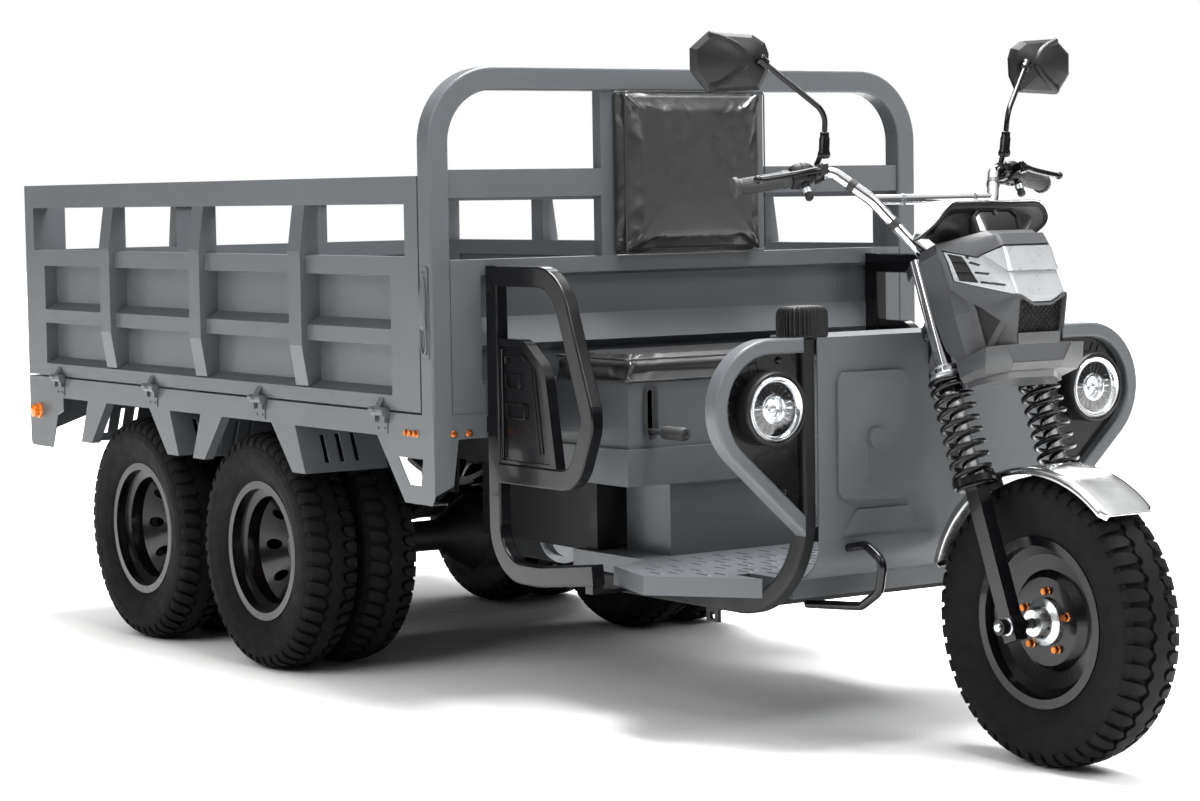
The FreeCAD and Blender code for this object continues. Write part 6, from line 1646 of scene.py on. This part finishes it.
def mirror_head(shell, glass, place):
    """Angular shell with a raised forked rib on its back and the glass set in its face."""
    face = ((0.93, -14), (0.94, -18.5), (0.965, -19), (1.0, -17.5))
    shell.skin([mirror_ring(depth, share) for share, depth in face + MIRROR_SHELL], turn=place)
    pane = ((0.93, -13), (0.93, -17.4), (0.915, -17.8))
    glass.skin([mirror_ring(depth, share) for share, depth in pane], turn=place)
    rib = flowing(FORKED_RIB, 8)
    rings = []
    for index, spot in enumerate(rib):
        before = rib[max(index - 1, 0)]
        after = rib[min(index + 1, len(rib) - 1)]
        along = (after - before).normalized()
        aside = Vector((0, along.z, -along.y))
        foot = mirror_depth(spot.y, spot.z)
        rings.append([Vector((foot + lift, spot.y, spot.z)) + aside * reach for reach, lift in RIB_SECTION])
    shell.skin(rings, turn=place)


class TRIKE_OT_mirrors(bpy.types.Operator):
    """Build the rear-view mirrors: clamps, sleeves, bent stems, ribbed shells and glass"""

    bl_idname = "trike.mirrors"
    bl_label = "Mirrors"

    def execute(self, context):
        stems, shells, glass, bolts = forms(4, FORK)
        for side, turned in zip(SIDES, MIRROR_TURNS):
            upright = Matrix.Rotation(FORK_LEAN, 4, "Y") @ Matrix.Rotation(math.radians(turned), 4, "Z")
            head = side @ Matrix.Translation(MIRROR_MIDDLE) @ upright
            mirror_head(shells, glass, head)
            joint = Matrix.Translation(MIRROR_MIDDLE) @ upright @ MIRROR_JOINT
            path = arc_path([bar_point(MIRROR_CLAMP, 4, 16), STEM_LOW, STEM_BEND, joint], (14, 46))
            stems.rod(path, STEM_RADIUS, 16, turn=side)
            back = (joint - STEM_BEND).normalized()
            boot = side @ facing(joint - back * 12, back)
            stems.lathe([(6, -4), (9.5, -2), (10.5, 3), (10, 9), (12, 13), (11, 18), (6, 20)], 24, turn=boot)
            rise = STEM_BEND - STEM_LOW
            sleeve = side @ facing(STEM_LOW - rise.normalized() * 14, rise)
            stems.lathe([
                (6, -8), (11.5, -6), (13, 0), (11.5, 6), (10.6, 8), (10.6, 32), (9.2, 34), (9, 44), (6, 46),
            ], 28, turn=sleeve)
            clamp = side @ on_bar(MIRROR_CLAMP)
            stems.lathe([
                (12.2, -9), (18.4, -9), (19, -7.5), (19, 7.5), (18.4, 9), (12.2, 9),
            ], 36, True, turn=clamp)
            for ahead in (-21, 21):
                screw = side @ facing(bar_point(MIRROR_CLAMP, ahead, -9), (0, 0, 1), (0, 1, 0))
                stems.block((-5.5, -7, 0), (5.5, 7, 8.4), turn=screw)
                stems.block((-5.5, -7, 9.6), (5.5, 7, 18), turn=screw)
                bolts.bolt(screw @ Matrix.Translation((0, 0, 18)), 6, 5, 10)
        piece(
            "mirror_shells", shells, "steering", ["black_moulded_nylon"], ["mirrors"],
            1.1, 22,
        )
        piece("mirror_stems", stems, "steering", ["black_gloss_enamel"], bevel=0.4, sharp=45)
        piece("mirror_glass", glass, "steering", ["silvered_glass"], bevel=0.4)
        piece("mirror_screws", bolts, "steering", ["bright_zinc_plate"], bevel=0.3)
        return {"FINISHED"}


# Padding

PAD_VOXEL = 6.0
PAD_FRAMES = 20
PAD_PRESSURE = 4.0
PAD_CORNER = 11.0
SEAM_CORD = 2.6


def pad_plan(half, inset):
    """Closed rounded plan of a pad, drawn in by an inset."""
    long, wide = half[0] - inset, half[1] - inset
    corner = max(3.0, min(PAD_CORNER, PAD_CORNER - 0.3 * inset))
    path = arc_path([
        (0, -wide, 0), (long, -wide, 0), (long, wide, 0), (-long, wide, 0), (-long, -wide, 0), (0, -wide, 0),
    ], corner, 6)
    return path[:-1]


def creased(spot, half, thick):
    """A point of the pad moved for the diagonal creases at its corners and its stretched face."""
    side = max(abs(spot.x) / half[0], abs(spot.y) / half[1])
    from_corner = min(abs(half[0] - abs(spot.x)) + abs(half[1] - abs(spot.y)), 400.0)
    level = spot.z / thick
    wall = min(1.0, max(0.0, (side - 0.93) / 0.05)) * math.sin(math.pi * min(1.0, max(0.0, level / 0.86)))
    folds = math.sin((from_corner * 0.62 - spot.z * 0.9) / 4.6) * math.exp(-from_corner / 95)
    face = max(0.0, level - 0.8) / 0.2
    pulls = math.sin(from_corner / 17.0 + spot.x * 0.02) * math.exp(-((from_corner - 60) / 55) ** 2)
    outward = Vector((spot.x / half[0] ** 2, spot.y / half[1] ** 2, 0)).normalized()
    return spot + outward * (3.4 * wall * folds - 2.4 * wall) + Vector((0, 0, 1.3 * face * pulls))


def swelled(thing, place, cap):
    """Runs a short pressure cloth on the mesh and gives its points, none moved past the cap."""
    start = [point.co.copy() for point in thing.data.vertices]
    base = thing.vertex_groups.new(name="base")
    to_pad = place.inverted()
    base.add([
        index for index, spot in enumerate(start) if (to_pad @ (spot / MM)).z < PAD_VOXEL * 0.7
    ], 1.0, "REPLACE")
    cloth = thing.modifiers.new("padding", "CLOTH")
    cloth.settings.quality = 5
    cloth.settings.mass = 0.3
    cloth.settings.tension_stiffness = 12
    cloth.settings.compression_stiffness = 12
    cloth.settings.bending_stiffness = 0.6
    cloth.settings.vertex_group_mass = "base"
    cloth.settings.use_pressure = True
    cloth.settings.uniform_pressure_force = PAD_PRESSURE
    cloth.settings.effector_weights.gravity = 0
    scene = bpy.context.scene
    for frame_number in range(1, PAD_FRAMES + 1):
        scene.frame_set(frame_number)
    depsgraph = bpy.context.evaluated_depsgraph_get()
    after = thing.evaluated_get(depsgraph).to_mesh()
    moved = []
    for spot, point in zip(start, after.vertices):
        step = point.co - spot
        if step.length > cap * MM:
            step = step.normalized() * cap * MM
        moved.append(spot + step)
    thing.evaluated_get(depsgraph).to_mesh_clear()
    thing.modifiers.remove(cloth)
    scene.frame_set(1)
    return moved


def pad(name, node, place, half, thick, swell):
    """Padded piece in the space of its node: voxel mesh, swelled, fitted, creased, subdivided."""
    form = Form(place)
    form.skin([
        [(spot.x, spot.y, height) for spot in pad_plan(half, inset)]
        for inset, height in (
            (half[0] * 0.6, 0), (8, 0), (3, 3), (4.5, thick * 0.3), (4.5, thick * 0.5), (2, thick * 0.76),
            (3.5, thick * 0.82), (12, thick * 0.88), (34, thick * 0.95), (half[0] * 0.6, thick * 0.985),
        )
    ])
    mesh = bpy.data.meshes.new(name)
    mesh.from_pydata([point * MM for point in form.points], [], form.faces)
    thing = bpy.data.objects.new(name, mesh)
    bpy.context.scene.collection.objects.link(thing)
    even = thing.modifiers.new("even_mesh", "REMESH")
    even.mode = "VOXEL"
    even.voxel_size = PAD_VOXEL * MM
    bpy.context.view_layer.update()
    depsgraph = bpy.context.evaluated_depsgraph_get()
    voxels = bpy.data.meshes.new_from_object(thing.evaluated_get(depsgraph))
    thing.modifiers.remove(even)
    thing.data = voxels
    bpy.data.meshes.remove(mesh)
    spots = [point.co.copy() for point in voxels.vertices]
    spots = swelled(thing, place, swell)
    to_pad = place.inverted()
    local = [to_pad @ (spot / MM) for spot in spots]
    sizes = [(min(spot[axis] for spot in local), max(spot[axis] for spot in local)) for axis in range(3)]
    room = ((-half[0] + 0.8, half[0] - 0.8), (-half[1] + 0.8, half[1] - 0.8), (0.4, thick - 0.8))
    for point, spot in zip(voxels.vertices, local):
        fitted = Vector([
            to_low + (value - low) * (to_high - to_low) / (high - low)
            for value, (low, high), (to_low, to_high) in zip(spot, sizes, room)
        ])
        point.co = (place @ creased(fitted, half, thick)) * MM
    voxels.materials.clear()
    voxels.materials.append(finish("pebbled_pvc_leathercloth"))
    voxels.shade_smooth()
    smooth = thing.modifiers.new("fine_surface", "SUBSURF")
    smooth.levels = smooth.render_levels = 1
    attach(thing, "chassis")
    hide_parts(node)


def seam(form, half, inset, height, radius):
    """Piped seam round a pad."""
    form.rod([(spot.x, spot.y, height) for spot in pad_plan(half, inset)], radius, 8, closed=True)


class TRIKE_OT_padding(bpy.types.Operator):
    """Stuff and seam the seat cushion and the backrest"""

    bl_idname = "trike.padding"
    bl_label = "Padding"

    def execute(self, context):
        swell = context.scene.trike_trim.pillow / MM
        low, high = box("seat_cushion")
        half = ((high.x - low.x) / 2, (high.y - low.y) / 2)
        thick = high.z - low.z
        place = Matrix.Translation(((low.x + high.x) / 2, 0, low.z))
        pad("seat_pad", "seat_cushion", place, half, thick, swell)
        piping = Form(place)
        seam(piping, half, 2.4, thick * 0.8, SEAM_CORD)
        seam(piping, half, 3.2, 3.2, SEAM_CORD)
        piece("seat_piping", piping, "chassis", ["pebbled_pvc_leathercloth"])
        low, high = box("backrest")
        half = ((high.y - low.y) / 2, (high.z - low.z) / 2)
        thick = high.x - low.x
        place = facing((low.x, 0, (low.z + high.z) / 2), (1, 0, 0))
        pad("backrest_pad", "backrest", place, half, thick, swell)
        piping = Form(place)
        seam(piping, half, 2.2, thick * 0.8, 1.7)
        seam(piping, half, 3.0, 3.2, 1.7)
        piece("backrest_piping", piping, "chassis", ["pebbled_pvc_leathercloth"])
        return {"FINISHED"}


# Trim of bed and cab

BED_SIDE = 675.0
BED_FRONT_FACE = 324.0
HINGE_PLACES = (-1580.5, -1024.5, -456.5, 107.5)
HINGE_HEIGHT, HINGE_SCREWS = 652.0, 616.0
SIDE_BOLTS = (212.0, 232.0, 252.0)
CORNER_BOLTS = (624.0, 586.0)
BED_BOLT_HEIGHT = 612.0
LATCH_PLACE, LATCH_HEIGHT = 298.0, 872.0
MARKER_PLACE, MARKER_HEIGHT = -1719.0, 560.0
TAIL_LAMP = (-1781.0, -572.0, 573.0)
# Height, half width and rise of the latch blade, and its section as shares of the last two.
BLADE = (
    (78, 3.5, 3), (66, 7, 6), (38, 10.5, 9.5), (6, 11, 10), (-14, 9, 9), (-30, 8.5, 7.5), (-36, 5, 4),
)
BLADE_SECTION = ((-1, 0), (-1, 0.6), (-0.55, 1), (0.55, 1), (1, 0.6), (1, 0))


def outline_ring(width, height, corner):
    """Closed rounded outline about its middle, as points in X and Y."""
    a, b = width / 2, height / 2
    path = arc_path([(0, -b, 0), (a, -b, 0), (a, b, 0), (-a, b, 0), (-a, -b, 0), (0, -b, 0)], corner, 6)
    return [(spot.x, spot.y) for spot in path[:-1]]


def frame_ring(form, outer, inner, low, high, turn):
    """Flat ring between two outlines of as many points."""
    form.skin([
        [(x, y, height) for x, y in outline]
        for outline, height in ((outer, low), (outer, high), (inner, high), (inner, low), (outer, low))
    ], False, turn=turn)


def on_board(side, place, height, out=0.0):
    """Place on the outer face of a side board, local Z outwards."""
    return side @ facing((place, -BED_SIDE - out, height), (0, -1, 0))


def hinge(form, side, place):
    """Barrel with its pin head, the leaf below it and two screws."""
    barrel = side @ facing((place - 24, -BED_SIDE - 9.5, HINGE_HEIGHT), (1, 0, 0))
    form.lathe([
        (7, 0), (8.6, 1), (8.6, 27), (8, 27.6), (8.6, 28.2), (8.6, 51), (7, 52),
    ], 24, turn=barrel)
    form.lathe([(3.4, 50), (3.4, 53), (10.8, 53.4), (10.8, 58), (5, 59.4)], 24, turn=barrel)
    form.block((place - 22, -BED_SIDE - 2.6, 606), (place + 26, -BED_SIDE + 0.4, 645), turn=side)
    for ahead in (-12, 16):
        screw = on_board(side, place + ahead, HINGE_SCREWS, 2.4)
        form.lathe([(3.6, 0), (3.6, 1.6), (2, 2.6)], 14, turn=screw)


def latch(form, side):
    """Slotted latch plate with its raised blade, two bolts and the wire loop."""
    plate = on_board(side, LATCH_PLACE, LATCH_HEIGHT)
    frame_ring(form, outline_ring(31, 200, 7), outline_ring(3, 172, 1.2), 0, 2.4, plate)
    form.prism(outline_ring(31, 64, 7), 0, 3, plate @ Matrix.Translation((0, 68, 0)))
    form.skin([
        [(x * wide, height, 3 + lift * high) for x, lift in BLADE_SECTION] for height, wide, high in BLADE
    ], turn=plate)
    form.bolt(plate @ Matrix.Translation((0, 86, 3)), 7, 4, 11)
    form.bolt(plate @ Matrix.Translation((0, -24, 8)), 6, 3.4, 10)
    wire = arc_path([(-9, -12, 7), (-11, -70, 6), (0, -100, 4), (11, -70, 6), (9, -12, 7)], (24, 7, 24), 6)
    form.rod(wire, 2.3, 10, turn=plate)


def tail_lamp(bezels, lenses, side):
    """Rectangular rear lamp: bezel, lens and the bars across it."""
    place = side @ facing(TAIL_LAMP, (-1, 0, 0))
    outer, inner = outline_ring(118, 42, 8), outline_ring(108, 32, 5)
    frame_ring(bezels, outer, inner, 0.2, 9, place)
    lenses.skin([
        [(x * share, y * share, height) for x, y in inner]
        for height, share in ((0.4, 1), (9.5, 1), (12.4, 0.95), (13.4, 0.8))
    ], turn=place)
    for number in range(-4, 5):
        lenses.block((number * 11 - 0.8, -13, 12.6), (number * 11 + 0.8, 13, 14.2), turn=place)


class TRIKE_OT_bed_trim(bpy.types.Operator):
    """Fit the bed's hinge barrels, plated bolts, board latches with their wire loops, markers and lamps"""

    bl_idname = "trike.bed_trim"
    bl_label = "Bed trim"

    def execute(self, context):
        hinges, bolts, latches, markers, bezels, lenses = forms(6)
        for side in SIDES:
            for x in HINGE_PLACES:
                hinge(hinges, side, x)
            for x in SIDE_BOLTS:
                bolts.bolt(on_board(side, x, BED_BOLT_HEIGHT), 11, 7, 16)
            for y in CORNER_BOLTS:
                bolts.bolt(side @ facing((BED_FRONT_FACE, -y, BED_BOLT_HEIGHT), (1, 0, 0)), 11, 7, 16)
            latch(latches, side)
            markers.lathe([
                (20.6, 0.2), (20.6, 5), (19, 7), (17, 7.4), (17, 17), (16, 20.4), (12, 22), (5, 22.4),
            ], 36, turn=on_board(side, MARKER_PLACE, MARKER_HEIGHT))
            tail_lamp(bezels, lenses, side)
        piece("hinge_barrels", hinges, "chassis", ["slate_baked_enamel"], bevel=0.4)
        piece("bed_bolts", bolts, "chassis", ["copper_flashed_steel"], bevel=0.4)
        piece(
            "latch_castings", latches, "chassis", ["slate_baked_enamel"], ["board_latches"], 0.6
        )
        piece("marker_lenses", markers, "chassis", ["amber_acrylic"], ["side_markers"])
        piece("tail_lamp_bezels", bezels, "chassis", ["black_moulded_nylon"], bevel=0.8)
        piece("tail_lamp_lenses", lenses, "chassis", ["red_acrylic"], ["tail_lamps"], 0.4)
        return {"FINISHED"}


# Outline of a raised step beside the cab floor, right side, and the reach of the floor itself.
STEP_OUTLINE = ((650, -356), (678, -437), (838, -480), (1004, -352))
FLOOR_LOW, FLOOR_HIGH = (650.0, -306.0), (1010.0, 306.0)
FLOOR_TOP = 346.0
BAR_LENGTH, BAR_WIDTH, BAR_RISE = 54.0, 7.0, 1.6
BAR_STEP, BAR_SHIFT, BAR_ROWS, BAR_COLUMNS = 40.0, 20.0, 17, 10
BAR_SECTION = ((-1, 0), (-0.75, -1), (0.75, -1), (1, 0), (0.75, 1), (-0.75, 1))
LEVER_SLOT, LEVER_GRIP = (612.0, -312.0, 657.0), (656.0, -310.0, 616.75)
CAP_FLUTES = 34
# Height, share of the size and depth of the flutes of the socket cap.
CAP_RINGS = (
    (0, 0.95, 0.0), (2, 0.99, 0.0), (5, 1.0, 1.0), (44, 1.0, 1.0), (53, 0.965, 1.0), (59, 0.88, 1.0),
    (61.8, 0.74, 0.7), (62.3, 0.5, 0.0),
)
GUARD_SIDE = 540.0
# Pressed lines of a guard panel as (place, height), each with the radius of its bends.
GUARD_LINES = (
    (((387, 560), (387, 795), (461, 797), (498, 778), (530, 575)), (8, 26, 40)),
    (((401, 762), (401, 779), (462, 781), (480, 766)), 6),
    (((401, 741), (455, 741), (455, 711), (401, 711), (401, 741)), 6),
    (((401, 678), (474, 678), (474, 648), (401, 648), (401, 678)), 6),
)


def inside(x, y, outline):
    """Whether a point lies inside a convex outline that runs clockwise or against it."""
    ways = []
    for (x0, y0), (x1, y1) in zip(outline, outline[1:] + outline[:1]):
        ways.append((x1 - x0) * (y - y0) - (y1 - y0) * (x - x0) > 0)
    return all(ways) or not any(ways)


def chequer_plate(form, pitch):
    """Raised bars on the floor and its side steps, staggered from row to row."""
    half = BAR_LENGTH / 2
    for row in range(-BAR_ROWS, BAR_ROWS + 1):
        for column in range(BAR_COLUMNS):
            x = FLOOR_LOW[0] + half + column * BAR_STEP + (row % 2) * BAR_SHIFT
            y = row * pitch
            on_floor = x + half < FLOOR_HIGH[0] and FLOOR_LOW[1] < y < FLOOR_HIGH[1]
            on_step = all(inside(end, -abs(y), STEP_OUTLINE) for end in (x - half, x + half))
            if (column + row) % 2 or not (on_floor or on_step):
                continue
            form.skin([
                [
                    (x + a * half * share, y + b * BAR_WIDTH / 2 * share, FLOOR_TOP + rise)
                    for a, b in BAR_SECTION
                ]
                for share, rise in ((1.0, -0.4), (1.0, 0.3), (0.82, BAR_RISE))
            ])


def parking_lever(form):
    """Knob of the lever with two raised rings, and its flat bar inside the seat box."""
    place = facing(LEVER_GRIP, (1, 0, 0))
    form.lathe([
        (6, -90), (6, -4), (9, -3), (13, 2), (14, 8), (14.4, 60), (14.2, 74), (12.5, 79), (6, 80.4),
        (5.6, 79), (0.4, 79),
    ], 32, turn=place)
    for start in (12, 66):
        form.lathe([
            (14.3, start), (14.9, start + 1), (14.9, start + 3), (14.3, start + 4),
        ], 32, True, turn=place)
    pivot = centre("hand_levers")
    form.block((560, pivot.y - 6, 505), (590, pivot.y + 6, 650))


def socket_cap(form):
    """Fluted cap, a rounded square in plan, fitted to its node."""
    low, high = box("charge_cap")
    middle, half = (low + high) / 2, (high - low) / 2
    rings = []
    for height, share, deep in CAP_RINGS:
        ring = []
        for step, (across, along, square) in enumerate(squircle(CAP_FLUTES * 4)):
            reach = square * share * (1 - 0.1 * deep * (step % 4 > 1))
            ring.append((
                middle.x + half.x * across * reach, middle.y + half.y * along * reach, low.z + height,
            ))
        rings.append(ring)
    form.skin(rings)


class TRIKE_OT_cab_trim(bpy.types.Operator):
    """Press the chequer bars of floor and steps, and fit the lever, socket cap and panel ribs"""

    bl_idname = "trike.cab_trim"
    bl_label = "Cab trim"

    def execute(self, context):
        bars, lining, lever, cap, ribs = forms(5)
        chequer_plate(bars, context.scene.trike_trim.chequer_pitch / MM)
        slot = facing(LEVER_SLOT, (1, 0, 0))
        frame_ring(lining, outline_ring(36, 116, 17), outline_ring(19, 97, 8.5), 0.1, 2.2, slot)
        parking_lever(lever)
        socket_cap(cap)
        for side in SIDES:
            for corners, bends in GUARD_LINES:
                line = arc_path([(x, -GUARD_SIDE, z) for x, z in corners], bends, 4)
                ribs.rod(line, 1.9, 8, turn=side)
        piece("chequer_bars", bars, "chassis", ["slate_baked_enamel"])
        piece("slot_lining", lining, "chassis", ["soft_moulded_rubber"])
        piece("parking_lever", lever, "chassis", ["soft_moulded_rubber"], ["hand_levers"], 0.4)
        piece(
            "socket_cap", cap, "chassis", ["black_moulded_nylon"], ["charge_cap"], sharp=30
        )
        piece("guard_ribs", ribs, "chassis", ["black_gloss_enamel"])
        return {"FINISHED"}


# Panel and running

GROUPS = (TrikePaint, TrikeTyre, TrikeTrim, TrikeStage)
OPERATORS = (
    TRIKE_OT_finishes, TRIKE_OT_stage, TRIKE_OT_tyres, TRIKE_OT_wheel_fittings, TRIKE_OT_fork,
    TRIKE_OT_front_mudguard, TRIKE_OT_headlamps, TRIKE_OT_nacelle, TRIKE_OT_grille,
    TRIKE_OT_instrument_pod, TRIKE_OT_handlebar, TRIKE_OT_mirrors, TRIKE_OT_padding, TRIKE_OT_bed_trim,
    TRIKE_OT_cab_trim,
)


class TRIKE_PT_looks(bpy.types.Panel):
    """The steps of the looks, in order"""

    bl_idname = "TRIKE_PT_looks"
    bl_label = "Cargo Trike"
    bl_space_type = "VIEW_3D"
    bl_region_type = "UI"
    bl_category = "Cargo Trike"

    def draw(self, context):
        for step in OPERATORS:
            self.layout.operator(step.bl_idname)


def register():
    for item in (*GROUPS, *OPERATORS, TRIKE_PT_looks):
        bpy.utils.register_class(item)
    bpy.types.Scene.trike_paint = PointerProperty(type=TrikePaint)
    bpy.types.Scene.trike_tyre = PointerProperty(type=TrikeTyre)
    bpy.types.Scene.trike_trim = PointerProperty(type=TrikeTrim)
    bpy.types.Scene.trike_stage = PointerProperty(type=TrikeStage)


def unregister():
    del bpy.types.Scene.trike_stage
    del bpy.types.Scene.trike_trim
    del bpy.types.Scene.trike_tyre
    del bpy.types.Scene.trike_paint
    for item in (TRIKE_PT_looks, *reversed(OPERATORS), *reversed(GROUPS)):
        bpy.utils.unregister_class(item)


def main():
    """Runs every step in order."""
    register()
    for step in OPERATORS:
        getattr(bpy.ops.trike, step.bl_idname.removeprefix("trike."))()


if __name__ == "__main__":
    main()
